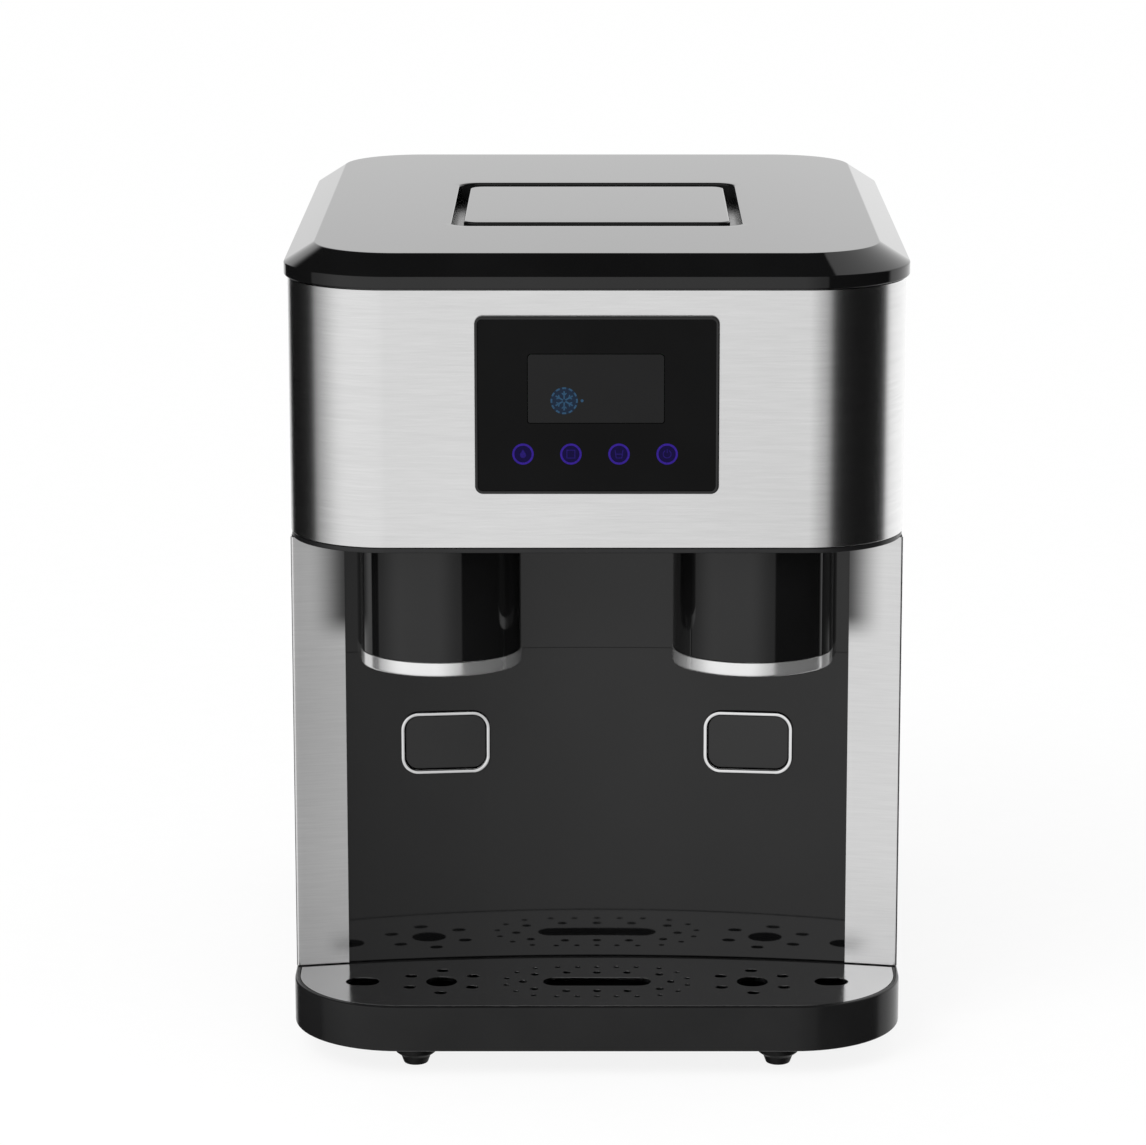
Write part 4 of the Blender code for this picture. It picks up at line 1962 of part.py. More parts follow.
def make_condenser():
    """Upright fins on a flat core. The two end fins reach the floor and carry it."""
    front, rear = behind(CONDENSER_FRONT), behind(CONDENSER_REAR)
    middle = (front + rear) / 2
    condenser = box(
        "condenser",
        (CONDENSER_LEFT + FIN_THICKNESS / 2, middle - CORE_HALF, CONDENSER_LOW + CORE_HALF),
        (CONDENSER_RIGHT - FIN_THICKNESS / 2, middle + CORE_HALF, CONDENSER_TOP - CORE_HALF),
    )
    pitch = (CONDENSER_RIGHT - CONDENSER_LEFT - FIN_THICKNESS) / (FIN_COUNT - 1)
    for number in range(FIN_COUNT):
        left = CONDENSER_LEFT + number * pitch
        foot = BASE_FLOOR + SEAT if number in (0, FIN_COUNT - 1) else CONDENSER_LOW
        join(condenser, box(f"fin_{number}", (left, front, foot), (left + FIN_THICKNESS, rear, CONDENSER_TOP)))
    inlet_z = CONDENSER_TOP - STUB_INSET
    outlet_z = CONDENSER_LOW + STUB_INSET
    inlet = ((CONDENSER_LEFT - STUB_LENGTH, middle, inlet_z), (CONDENSER_LEFT + STUB_LENGTH, middle, inlet_z))
    outlet = ((CONDENSER_RIGHT - STUB_LENGTH, middle, outlet_z), (CONDENSER_RIGHT + STUB_LENGTH, middle, outlet_z))
    join(
        condenser,
        rod("condenser_inlet", *inlet, STUB_RADIUS, SMALL_ROUND_STEPS),
        rod("condenser_outlet", *outlet, STUB_RADIUS, SMALL_ROUND_STEPS),
    )
    return finish(condenser, "aluminium")


FAN_X = (CONDENSER_LEFT + CONDENSER_RIGHT) / 2
FAN_DROP = 0.067
FAN_HEIGHT = CONDENSER_TOP - FAN_DROP
SHROUD_PLATE_THICKNESS = 0.003
DUCT_MARGIN = 0.003
DUCT_RADIUS = min((CONDENSER_RIGHT - CONDENSER_LEFT) / 2, FAN_DROP) - DUCT_MARGIN
DUCT_WALL = 0.0022
DUCT_LENGTH = 0.022
SPOKE_COUNT = 3
SPOKE_WIDTH = 0.006
SPOKE_THICKNESS = 0.003
MOUNT_RADIUS = 0.020
FAN_SHAFT_RADIUS = 0.0025
FAN_SHAFT_CLEARANCE = 0.0004
FAN_HUB_RADIUS = 0.015
FAN_HUB_LENGTH = 0.014
FAN_TIP_GAP = 0.0025
FAN_BLADE_COUNT = 5
FAN_BLADE_THICKNESS = 0.0016
FAN_ROOT_PITCH_DEG = 42
FAN_TIP_PITCH_DEG = 26
FAN_CHORD_ROOT = 0.013
FAN_CHORD_TIP = 0.020
FAN_MOTOR_RADIUS = 0.0170
FAN_MOTOR_LENGTH = 0.030
FAN_MOTOR_BORE_DEPTH = 0.010
SHROUD_REAR = behind(CONDENSER_FRONT) - SEAT
SHROUD_PLATE_FRONT = SHROUD_REAR - SHROUD_PLATE_THICKNESS
DUCT_FRONT = SHROUD_PLATE_FRONT - DUCT_LENGTH


def fan_point(radius, angle, y):
    return (FAN_X + radius * math.cos(angle), y, FAN_HEIGHT + radius * math.sin(angle))


def make_fan_shroud():
    frame = rectangle(CONDENSER_LEFT, CONDENSER_RIGHT, BASE_FLOOR + SEAT, CONDENSER_TOP)
    centre = (FAN_X, FAN_HEIGHT)
    mouth = circle(centre, DUCT_RADIUS)
    shroud = plate("fan_shroud", [frame, mouth], SHROUD_PLATE_FRONT, SHROUD_REAR, "Y")
    outer = circle(centre, DUCT_RADIUS + DUCT_WALL)
    join(shroud, plate("fan_duct", [outer, mouth], DUCT_FRONT, SHROUD_PLATE_FRONT + SPOKE_THICKNESS / 2, "Y"))
    mount_bore = circle(centre, FAN_SHAFT_RADIUS + FAN_SHAFT_CLEARANCE, SMALL_ROUND_STEPS)
    mount = plate(
        "fan_mount", [circle(centre, MOUNT_RADIUS), mount_bore], DUCT_FRONT, DUCT_FRONT + SPOKE_THICKNESS, "Y"
    )
    join(shroud, mount)
    inner = MOUNT_RADIUS - SPOKE_THICKNESS
    outer_reach = DUCT_RADIUS + DUCT_WALL / 2
    for number in range(SPOKE_COUNT):
        angle = 2 * math.pi * number / SPOKE_COUNT + QUARTER_TURN
        low = (inner, DUCT_FRONT, -SPOKE_WIDTH / 2)
        high = (outer_reach, DUCT_FRONT + SPOKE_THICKNESS - SEAT, SPOKE_WIDTH / 2)
        spoke = box(f"fan_spoke_{number}", low, high)
        spoke.rotation_euler = (0, -angle, 0)
        spoke.location = (FAN_X, 0, FAN_HEIGHT)
        join(shroud, spoke)
    return finish(shroud, "black_plastic")


def make_fan_motor():
    rear = DUCT_FRONT - SEAT
    front = rear - FAN_MOTOR_LENGTH
    motor = rod("fan_motor", (FAN_X, front, FAN_HEIGHT), (FAN_X, rear, FAN_HEIGHT), FAN_MOTOR_RADIUS)
    bore = rod(
        "fan_motor_bore",
        (FAN_X, rear - FAN_MOTOR_BORE_DEPTH, FAN_HEIGHT),
        (FAN_X, rear + OVERRUN, FAN_HEIGHT),
        FAN_SHAFT_RADIUS + FAN_SHAFT_CLEARANCE,
        SMALL_ROUND_STEPS,
    )
    cut(motor, bore)
    return finish(motor, "grey_plastic")


def blade_section(radius, angle, chord, pitch_deg, middle_y):
    """Four corners of a flat section, set at its pitch on a circle round the fan's axis."""
    pitch = math.radians(pitch_deg)
    half_chord = chord / 2
    half_thickness = FAN_BLADE_THICKNESS / 2
    corners = []
    for along, across in ((-1, -1), (1, -1), (1, 1), (-1, 1)):
        run = along * half_chord * math.cos(pitch) - across * half_thickness * math.sin(pitch)
        rise = along * half_chord * math.sin(pitch) + across * half_thickness * math.cos(pitch)
        corners.append(fan_point(radius, angle + run / radius, middle_y + rise))
    return corners


def make_fan_blades():
    hub_front = DUCT_FRONT + SPOKE_THICKNESS + 2 * FAN_BLADE_THICKNESS
    hub_rear = hub_front + FAN_HUB_LENGTH
    middle = (hub_front + hub_rear) / 2
    fan = rod("fan_blades", (FAN_X, hub_front, FAN_HEIGHT), (FAN_X, hub_rear, FAN_HEIGHT), FAN_HUB_RADIUS)
    shaft_front = DUCT_FRONT - FAN_MOTOR_BORE_DEPTH
    shaft = rod(
        "fan_shaft", (FAN_X, shaft_front, FAN_HEIGHT), (FAN_X, middle, FAN_HEIGHT), FAN_SHAFT_RADIUS, SMALL_ROUND_STEPS
    )
    join(fan, shaft)
    root = FAN_HUB_RADIUS - 2 * FAN_BLADE_THICKNESS
    tip = DUCT_RADIUS - FAN_TIP_GAP
    for number in range(FAN_BLADE_COUNT):
        angle = 2 * math.pi * number / FAN_BLADE_COUNT
        rings = []
        for step in range(4):
            share = step / 3
            radius = root + (tip - root) * share
            chord = FAN_CHORD_ROOT + (FAN_CHORD_TIP - FAN_CHORD_ROOT) * share
            pitch_deg = FAN_ROOT_PITCH_DEG + (FAN_TIP_PITCH_DEG - FAN_ROOT_PITCH_DEG) * share
            rings.append(blade_section(radius, angle, chord, pitch_deg, middle))
        join(fan, closed_outward(loft(f"blade_{number}", rings)))
    pivot(fan, (FAN_X, middle, FAN_HEIGHT))
    return finish(fan, "black_plastic")


def closed_outward(piece):
    """Turns the faces of a closed loft outward, whichever way its rings ran."""
    shape = bmesh.new()
    shape.from_mesh(piece.data)
    bmesh.ops.recalc_face_normals(shape, faces=shape.faces)
    shape.to_mesh(piece.data)
    shape.free()
    return piece


DRIER_RADIUS = 0.0095
DRIER_SIDE_GAP = 0.035
DRIER_X = HALF_WIDTH - DRIER_SIDE_GAP
DRIER_REAR_INSET = 0.030
DRIER_SETBACK = FRAME_REAR - DRIER_REAR_INSET
DRIER_RISE = 0.0357
DRIER_LOW = BASE_TOP + DRIER_RISE
DRIER_LENGTH = 0.075
DRIER_HIGH = DRIER_LOW + DRIER_LENGTH
DRIER_NECK = 0.012
PIPE_RADIUS = 0.003
PIPE_BEND = 0.012
CAPILLARY_RADIUS = 0.0018
SUCTION_SIDE_GAP = 0.020
SUCTION_X = -(HALF_WIDTH - SUCTION_SIDE_GAP)
SUCTION_REAR_INSET = 0.029
SUCTION_SETBACK = FRAME_REAR - SUCTION_REAR_INSET
SUCTION_RISE = 0.020
SUCTION_LEVEL = COMPRESSOR_TOP + SUCTION_RISE
DISCHARGE_RISE = 0.020
DISCHARGE_TURN_GAP = 0.018
DISCHARGE_TURN_X = CONDENSER_LEFT - DISCHARGE_TURN_GAP


def make_drier_line():
    """The filter drier with the two pipes that are brazed to it."""
    profile = [
        (0, DRIER_HIGH),
        (CAPILLARY_RADIUS + SEAT, DRIER_HIGH),
        (DRIER_RADIUS, DRIER_HIGH - DRIER_NECK),
        (DRIER_RADIUS, DRIER_LOW + DRIER_NECK),
        (PIPE_RADIUS + SEAT, DRIER_LOW),
        (0, DRIER_LOW),
    ]
    drier = turned("filter_drier", profile, SMALL_ROUND_STEPS)
    y = behind(DRIER_SETBACK)
    drier.location = (DRIER_X, y, 0)
    condenser_y = (behind(CONDENSER_FRONT) + behind(CONDENSER_REAR)) / 2
    outlet_z = CONDENSER_LOW + STUB_INSET
    liquid = [
        (CONDENSER_RIGHT + STUB_LENGTH + SEAT, condenser_y, outlet_z),
        (DRIER_X, condenser_y, outlet_z),
        (DRIER_X, y, outlet_z),
        (DRIER_X, y, DRIER_LOW + DRIER_NECK),
    ]
    liquid_pipe = tube("liquid_pipe", rounded_route(liquid, 2 * PIPE_RADIUS), PIPE_RADIUS)
    header_y = behind(HEADER_SETBACK)
    capillary = [
        (DRIER_X, y, DRIER_HIGH - DRIER_NECK),
        (DRIER_X, y, HEADER_HEIGHT),
        (DRIER_X, header_y, HEADER_HEIGHT),
        (FRAME_RIGHT + HEADER_REACH + SEAT, header_y, HEADER_HEIGHT),
    ]
    capillary_pipe = tube("capillary", rounded_route(capillary, 4 * CAPILLARY_RADIUS), CAPILLARY_RADIUS)
    join(drier, liquid_pipe, capillary_pipe)
    return finish(drier, "copper")


def make_suction_pipe():
    header_y = behind(HEADER_SETBACK)
    side_y = behind(SUCTION_SETBACK)
    points = [
        (FRAME_LEFT - HEADER_REACH - SEAT, header_y, HEADER_HEIGHT),
        (SUCTION_X, header_y, HEADER_HEIGHT),
        (SUCTION_X, side_y, HEADER_HEIGHT),
        (SUCTION_X, side_y, SUCTION_LEVEL),
        (COMPRESSOR_X, side_y, SUCTION_LEVEL),
        (COMPRESSOR_X, behind(COMPRESSOR_SETBACK), SUCTION_LEVEL),
        (COMPRESSOR_X, behind(COMPRESSOR_SETBACK), COMPRESSOR_TOP + SEAT),
    ]
    pipe = tube("suction_pipe", rounded_route(points, PIPE_BEND), PIPE_RADIUS)
    return finish(pipe, "copper")


def make_discharge_pipe():
    condenser_y = (behind(CONDENSER_FRONT) + behind(CONDENSER_REAR)) / 2
    inlet_z = CONDENSER_TOP - STUB_INSET
    start_x = COMPRESSOR_X + COMPRESSOR_RADIUS
    centre_y = behind(COMPRESSOR_SETBACK)
    points = [
        (start_x + SEAT, centre_y, COMPRESSOR_SEAM + COMPRESSOR_RIM_HALF + DISCHARGE_RISE),
        (DISCHARGE_TURN_X, centre_y, COMPRESSOR_SEAM + COMPRESSOR_RIM_HALF + DISCHARGE_RISE),
        (DISCHARGE_TURN_X, centre_y, inlet_z),
        (DISCHARGE_TURN_X, condenser_y, inlet_z),
        (CONDENSER_LEFT - STUB_LENGTH - SEAT, condenser_y, inlet_z),
    ]
    pipe = tube("discharge_pipe", rounded_route(points, PIPE_RADIUS), PIPE_RADIUS)
    return finish(pipe, "copper")


# Power board, standing on pegs that reach the right-hand side panel
POWER_BOARD_SIDE_GAP = 0.015
POWER_BOARD_X = HALF_WIDTH - POWER_BOARD_SIDE_GAP
POWER_BOARD_FRONT = 0.130
POWER_BOARD_REAR = 0.270
POWER_BOARD_LOW = 0.100
POWER_BOARD_HIGH = 0.205
PEG_RADIUS = 0.0035
PEG_INSET = 0.010
TRANSFORMER = (0.034, 0.040, 0.034)
TRANSFORMER_CORNER_SHARES = (0.10, 0.12)
RELAY = (0.016, 0.020, 0.028)
RELAY_CORNER_SHARES = (0.60, 0.15)
CAPACITOR_RADIUS = 0.010
CAPACITOR_LENGTH = 0.026
CAPACITOR_SHARES = (0.66, 0.68)


def board_spot(shares):
    """A place on the power board, as shares of its depth and height."""
    y = behind(POWER_BOARD_FRONT + (POWER_BOARD_REAR - POWER_BOARD_FRONT) * shares[0])
    z = POWER_BOARD_LOW + (POWER_BOARD_HIGH - POWER_BOARD_LOW) * shares[1]
    return y, z


def board_block(name, sizes, shares):
    """A component on the board's inner face: how far it stands off it, its depth and its height."""
    y, z = board_spot(shares)
    stand, depth, height = sizes
    high = (POWER_BOARD_X + BOARD_THICKNESS / 2, y + depth, z + height)
    return box(name, (POWER_BOARD_X - stand, y, z), high)


def make_power_board():
    outline = rectangle(behind(POWER_BOARD_FRONT), behind(POWER_BOARD_REAR), POWER_BOARD_LOW, POWER_BOARD_HIGH)
    board = plate("power_board", [outline], POWER_BOARD_X, POWER_BOARD_X + BOARD_THICKNESS, "X")
    wall_x = HALF_WIDTH - SHEET - SEAT
    for y in (behind(POWER_BOARD_FRONT + PEG_INSET), behind(POWER_BOARD_REAR - PEG_INSET)):
        for z in (POWER_BOARD_LOW + PEG_INSET, POWER_BOARD_HIGH - PEG_INSET):
            start = (POWER_BOARD_X + BOARD_THICKNESS / 2, y, z)
            join(board, rod(f"peg_{len(board.modifiers)}", start, (wall_x, y, z), PEG_RADIUS, 8))
    join(
        board,
        board_block("transformer", TRANSFORMER, TRANSFORMER_CORNER_SHARES),
        board_block("relay", RELAY, RELAY_CORNER_SHARES),
    )
    y, z = board_spot(CAPACITOR_SHARES)
    start = (POWER_BOARD_X - CAPACITOR_LENGTH, y, z)
    end = (POWER_BOARD_X + BOARD_THICKNESS / 2, y, z)
    join(board, rod("capacitor", start, end, CAPACITOR_RADIUS, SMALL_ROUND_STEPS))
    return finish(board, "circuit_board")


# Holes in the deck for what passes through it
PIPE_HOLE_CLEARANCE = 0.0015
CABLE_HOLE_RADIUS = 0.008
CABLE_HOLE_SIDE_GAP = 0.020
CABLE_HOLE_X = HALF_WIDTH - CABLE_HOLE_SIDE_GAP
CABLE_HOLE_SETBACK = 0.120
DECK_DRAIN_HALF_LENGTH = 0.030
DECK_DRAIN_HALF_WIDTH = 0.003
DECK_DRAIN_SETBACK = 0.245


def deck_holes():
    hose = HOSE_RADIUS + PIPE_HOLE_CLEARANCE
    return [
        chute_loop(CHUTE_HOLE_CLEARANCE),
        circle((OUTLET_X, behind(SPOUT_SETBACK)), SPOUT_RADIUS + SEAT, FOOT_STEPS),
        circle((OUTLET_X, behind(DISPENSE_RISE_SETBACK)), hose, PIN_STEPS),
        circle((FILL_RISE_X, behind(FILL_RISE_SETBACK)), hose, PIN_STEPS),
        circle((SUCTION_X, behind(SUCTION_SETBACK)), PIPE_RADIUS + PIPE_HOLE_CLEARANCE, PIN_STEPS),
        circle((DRIER_X, behind(DRIER_SETBACK)), CAPILLARY_RADIUS + PIPE_HOLE_CLEARANCE, PIN_STEPS),
        circle((CABLE_HOLE_X, behind(CABLE_HOLE_SETBACK)), CABLE_HOLE_RADIUS, PIN_STEPS),
        slot((0, behind(DECK_DRAIN_SETBACK)), DECK_DRAIN_HALF_LENGTH, DECK_DRAIN_HALF_WIDTH, 3),
    ]


def make_all():
    make_base_pan()
    make_feet()
    make_drip_tray()
    make_drip_grille()
    make_side_panels()
    make_splash_panel()
    make_pads()
    make_head_band()
    make_deck()
    make_rear_panel()
    make_power_inlet()
    make_outlets()
    make_top_cover()
    make_hatch()
    make_hatch_pin()
    make_control_panel()
    make_display_window()
    make_control_board()
    make_ice_bin()
    make_auger()
    make_auger_motor()
    make_ice_chute()
    make_chute_flap()
    make_water_spout()
    make_ice_frame()
    make_evaporator()
    make_ice_tray()
    make_tilt_motor()
    make_reservoir()
    make_float()
    make_pumps()
    make_dispense_hose()
    make_fill_hose()
    make_drain_fitting()
    make_drain_plug()
    make_drain_hose()
    make_compressor()
    make_condenser()
    make_fan_shroud()
    make_fan_motor()
    make_fan_blades()
    make_drier_line()
    make_suction_pipe()
    make_discharge_pipe()
    make_power_board()


clear_scene()
PARTS = new_collection("compact_ice_maker")
CUTTERS = new_collection("cutters")
CUTTERS.hide_render = True
PAD_SEATS = make_pad_seats()
make_all()
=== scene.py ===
"""Looks of the countertop ice and water dispenser.

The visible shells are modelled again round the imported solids, in metres and in the part's
own frame, with rounded edges and finer curves. Every other solid keeps its mesh and gets
its finish. X runs to the viewer's right, the front faces -Y, and depths called a setback
are counted from the front of the head.
"""

import json
import math

import bmesh
import bpy
from mathutils import Matrix, Vector


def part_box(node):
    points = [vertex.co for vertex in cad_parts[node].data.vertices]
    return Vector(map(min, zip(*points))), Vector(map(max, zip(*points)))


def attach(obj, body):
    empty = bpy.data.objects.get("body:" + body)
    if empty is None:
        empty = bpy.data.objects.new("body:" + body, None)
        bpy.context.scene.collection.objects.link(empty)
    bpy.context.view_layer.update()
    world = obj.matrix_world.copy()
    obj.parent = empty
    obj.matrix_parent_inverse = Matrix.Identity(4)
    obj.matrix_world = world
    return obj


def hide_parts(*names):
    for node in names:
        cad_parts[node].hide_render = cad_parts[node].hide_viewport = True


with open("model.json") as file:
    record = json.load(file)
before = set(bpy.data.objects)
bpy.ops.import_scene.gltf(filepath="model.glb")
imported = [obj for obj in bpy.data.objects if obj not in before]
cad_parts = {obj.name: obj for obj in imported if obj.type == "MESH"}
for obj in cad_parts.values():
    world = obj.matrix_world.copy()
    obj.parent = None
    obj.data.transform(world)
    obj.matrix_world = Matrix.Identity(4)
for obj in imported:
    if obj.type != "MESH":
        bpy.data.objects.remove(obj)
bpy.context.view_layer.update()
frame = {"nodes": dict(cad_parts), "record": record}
NODES = frame["nodes"]

# Fineness of the drawing
CORNER_STEPS = 20
SMALL_STEPS = 10
HOLE_STEPS = 28
EDGE_STEPS = 3
WELD = 0.000001
SEAT = 0.0003
OVERRUN = 0.004
LEAST_CORNER = 0.001
LEAST_STRETCH_COSINE = 0.3
CORNER_SHARE = 0.45
EDGE_SHARE = 0.49
CAP_INSET = 0.02
FINE_EDGE = 0.0002
SMALL_EDGE = 0.0003
SMOOTH_ANGLE = math.radians(38)
SMOOTH_WEIGHT = 80
QUARTER_TURN = math.pi / 2
SIDES = (("left", -1), ("right", 1))

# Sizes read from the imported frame
HEAD_LOW, HEAD_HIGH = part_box("head_band")
BASE_LOW, BASE_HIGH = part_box("base_pan")
COVER_LOW, COVER_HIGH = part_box("top_cover")
HATCH_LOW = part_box("hatch")[0]
PANEL_LOW, PANEL_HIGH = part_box("control_panel")
DISPLAY_LOW, DISPLAY_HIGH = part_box("display_window")
SIDE_LOW, SIDE_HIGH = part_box("side_panel_right")
GRILLE_LOW, GRILLE_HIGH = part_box("drip_grille")
TRAY_LOW, TRAY_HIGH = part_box("drip_tray")
SHROUD_LOW, SHROUD_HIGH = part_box("outlet_shroud_right")
COLLAR_LOW, COLLAR_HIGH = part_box("outlet_collar_right")
DECK_LOW, DECK_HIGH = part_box("head_deck")
REAR_LOW, REAR_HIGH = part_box("rear_panel")
HALF_WIDTH = HEAD_HIGH.x
HEAD_FRONT = HEAD_LOW.y
HEAD_REAR = HEAD_HIGH.y

# Shape values that the boxes don't hold
HEAD_CORNER = 0.0532
BASE_CORNER = 0.0591
SHEET = 0.0009
RECESS_SETBACK = 0.0607
RECESS_RISE = 0.0177
RECESS_RADIUS = (HALF_WIDTH**2 + RECESS_RISE**2) / (2 * RECESS_RISE)
SPLASH_STEP = SHEET + SEAT


# Outlines
def behind(setback):
    return HEAD_FRONT + setback


def arc(centre, radius, start_deg, end_deg, steps, depth=None):
    """Points of an arc, both ends included. A depth makes it elliptic."""
    depth = radius if depth is None else depth
    points = []
    for step in range(steps + 1):
        angle = math.radians(start_deg + (end_deg - start_deg) * step / steps)
        points.append((centre[0] + radius * math.cos(angle), centre[1] + depth * math.sin(angle)))
    return points


def circle(centre, radius, steps=HOLE_STEPS):
    return arc(centre, radius, 0, 360, steps)[:-1]


def rounded(left, right, front, back, near, far=None, steps=CORNER_STEPS):
    """Counter-clockwise rectangle with rounded corners, from its front left corner."""
    far = near if far is None else far
    return (
        arc((left + near, front + near), near, 180, 270, steps)
        + arc((right - near, front + near), near, 270, 360, steps)
        + arc((right - far, back - far), far, 0, 90, steps)
        + arc((left + far, back - far), far, 90, 180, steps)
    )


def upright_loop(low, high, inset, near, far=None, steps=CORNER_STEPS):
    """A box's front outline in X and Z with rounded corners, drawn in by an inset."""
    return rounded(low.x + inset, high.x - inset, low.z + inset, high.z - inset, near, far, steps)


def slot_loop(centre, half_length, half_width, steps=SMALL_STEPS):
    reach = half_length - half_width
    return (
        arc((centre[0] + reach, centre[1]), half_width, -90, 90, steps)
        + arc((centre[0] - reach, centre[1]), half_width, 90, 270, steps)
    )


def at_height(loop, height):
    return [(x, y, height) for x, y in loop]


def round_corners(points, radius, steps=EDGE_STEPS):
    """An open line with each of its corners rounded."""
    points = [Vector(point) for point in points]
    line = [points[0]]
    for before, corner, after in zip(points, points[1:], points[2:]):
        back, ahead = before - corner, after - corner
        half_turn = back.angle(ahead) / 2
        longest = CORNER_SHARE * min(back.length, ahead.length)
        reach = min(radius / math.tan(half_turn), longest)
        bend = reach * math.tan(half_turn)
        back.normalize()
        ahead.normalize()
        centre = corner + (back + ahead).normalized() * (bend / math.sin(half_turn))
        first = corner + back * reach - centre
        last = corner + ahead * reach - centre
        turn = first.angle_signed(last)
        for step in range(steps + 1):
            share = step / steps
            line.append(centre + Matrix.Rotation(-turn * share, 2) @ first)
    return [tuple(point) for point in line + [points[-1]]]


def recess_lean(x):
    return math.asin(abs(x) / RECESS_RADIUS)


def recess_y(x):
    return behind(RECESS_SETBACK) - RECESS_RADIUS * (1 - math.cos(recess_lean(x)))


def recess_line(start, end, offset, steps=40):
    spots = [start + (end - start) * step / steps for step in range(steps + 1)]
    return [(x, recess_y(x) + offset) for x in spots]


# Meshes
def object_of(name, mesh):
    made = bpy.data.objects.new(name, mesh)
    bpy.context.scene.collection.objects.link(made)
    return made


def object_from(name, shape):
    bmesh.ops.remove_doubles(shape, verts=shape.verts, dist=WELD)
    bmesh.ops.recalc_face_normals(shape, faces=shape.faces)
    mesh = bpy.data.meshes.new(name)
    shape.to_mesh(mesh)
    shape.free()
    return object_of(name, mesh)


def skin(name, rings, closed=False):
    """A skin across rings of equally many points. Closed, it joins the last ring to the first."""
    shape = bmesh.new()
    rows = [[shape.verts.new(point) for point in ring] for ring in rings]
    count = len(rows[0])
    pairs = list(zip(rows, rows[1:]))
    if closed:
        pairs.append((rows[-1], rows[0]))
    for lower, upper in pairs:
        for here in range(count):
            after = (here + 1) % count
            shape.faces.new((lower[here], lower[after], upper[after], upper[here]))
    if not closed:
        shape.faces.new(rows[0][::-1])
        shape.faces.new(rows[-1])
    return object_from(name, shape)


def prism(name, loop, low, high):
    return skin(name, [at_height(loop, low), at_height(loop, high)])


def slab(name, loops, low, high, edge, facing="Z", rounding=2):
    """A flat piece with rounded edges from its outline and holes.

    Facing Z the loops are in X and Y, facing Y in X and Z, facing X in Y and Z.
    """
    curve = bpy.data.curves.new(name, "CURVE")
    curve.dimensions = "2D"
    curve.fill_mode = "BOTH"
    curve.extrude = (high - low) / 2 - edge
    curve.bevel_depth = edge
    curve.bevel_resolution = rounding
    curve.offset = -edge
    for loop in loops:
        spline = curve.splines.new("POLY")
        spline.points.add(len(loop) - 1)
        for point, (u, v) in zip(spline.points, loop):
            point.co = (u, v, 0, 1)
        spline.use_cyclic_u = True
    drawn = object_of(name + "_drawn", curve)
    graph = bpy.context.evaluated_depsgraph_get()
    mesh = bpy.data.meshes.new_from_object(drawn.evaluated_get(graph))
    bpy.data.objects.remove(drawn)
    shape = bmesh.new()
    shape.from_mesh(mesh)
    middle = (low + high) / 2
    if facing == "Z":
        turn = Matrix.Translation((0, 0, middle))
    elif facing == "Y":
        turn = Matrix.Translation((0, middle, 0)) @ Matrix.Rotation(QUARTER_TURN, 4, "X")
    else:
        turn = Matrix(((0, 0, 1, middle), (1, 0, 0, 0), (0, 1, 0, 0), (0, 0, 0, 1)))
    shape.transform(turn)
    return object_from(name, shape)


def sweep(name, path, section):
    """Carries an upright section, a loop of (distance to the path's left, height), along a path in plan."""
    points = [Vector(point) for point in path]
    rings = []
    for number, point in enumerate(points):
        runs = []
        if number:
            runs.append((point - points[number - 1]).normalized())
        if number + 1 < len(points):
            runs.append((points[number + 1] - point).normalized())
        along = sum(runs, Vector((0, 0))).normalized()
        stretch = 1 / max(LEAST_STRETCH_COSINE, along.dot(runs[0]))
        left = Vector((-along.y, along.x)) * stretch
        rings.append([(point.x + left.x * u, point.y + left.y * u, z) for u, z in section])
    return skin(name, rings)


def sheet_section(low, high, thickness, edge):
    """The section of an upright sheet with rounded edges."""
    return rounded(0, thickness, low, high, min(edge, thickness * EDGE_SHARE), steps=EDGE_STEPS)


def turned(name, profile, steps=48):
    """A turned shape about Z from its profile of (radius, height)."""
    shape = bmesh.new()
    points = [shape.verts.new((radius, 0, height)) for radius, height in profile]
    edges = [shape.edges.new(pair) for pair in zip(points, points[1:])]
    bmesh.ops.spin(
        shape,
        geom=points + edges,
        angle=2 * math.pi,
        steps=steps,
        axis=(0, 0, 1),
        cent=(0, 0, 0),
        use_merge=True,
    )
    return object_from(name, shape)


def bake(piece):
    """Turns a piece's modifiers into its mesh."""
    graph = bpy.context.evaluated_depsgraph_get()
    mesh = bpy.data.meshes.new_from_object(piece.evaluated_get(graph))
    piece.modifiers.clear()
    piece.data = mesh


def combine(piece, tools, operation="DIFFERENCE"):
    for tool in tools:
        modifier = piece.modifiers.new(tool.name, "BOOLEAN")
        modifier.operation = operation
        modifier.solver = "EXACT"
        modifier.object = tool
    bake(piece)
    for tool in tools:
        bpy.data.objects.remove(tool)


def moved(piece, matrix):
    piece.data.transform(matrix)
    return piece


def shifted(piece, *distance):
    return moved(piece, Matrix.Translation(distance))


def smooth(piece):
    piece.data.shade_smooth()
    piece.data.set_sharp_from_angle(angle=SMOOTH_ANGLE)
    modifier = piece.modifiers.new("even_shading", "WEIGHTED_NORMAL")
    modifier.keep_sharp = True
    modifier.weight = SMOOTH_WEIGHT


def dress(piece, finish, *stands_for, body="cabinet", slot=None):
    """Gives a piece its finish and its body, and hides the CAD nodes that it stands for."""
    piece.data.materials.clear()
    piece.data.materials.append(FINISHES[finish])
    smooth(piece)
    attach(piece, body)
    if stands_for:
        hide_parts(*stands_for)
    return piece
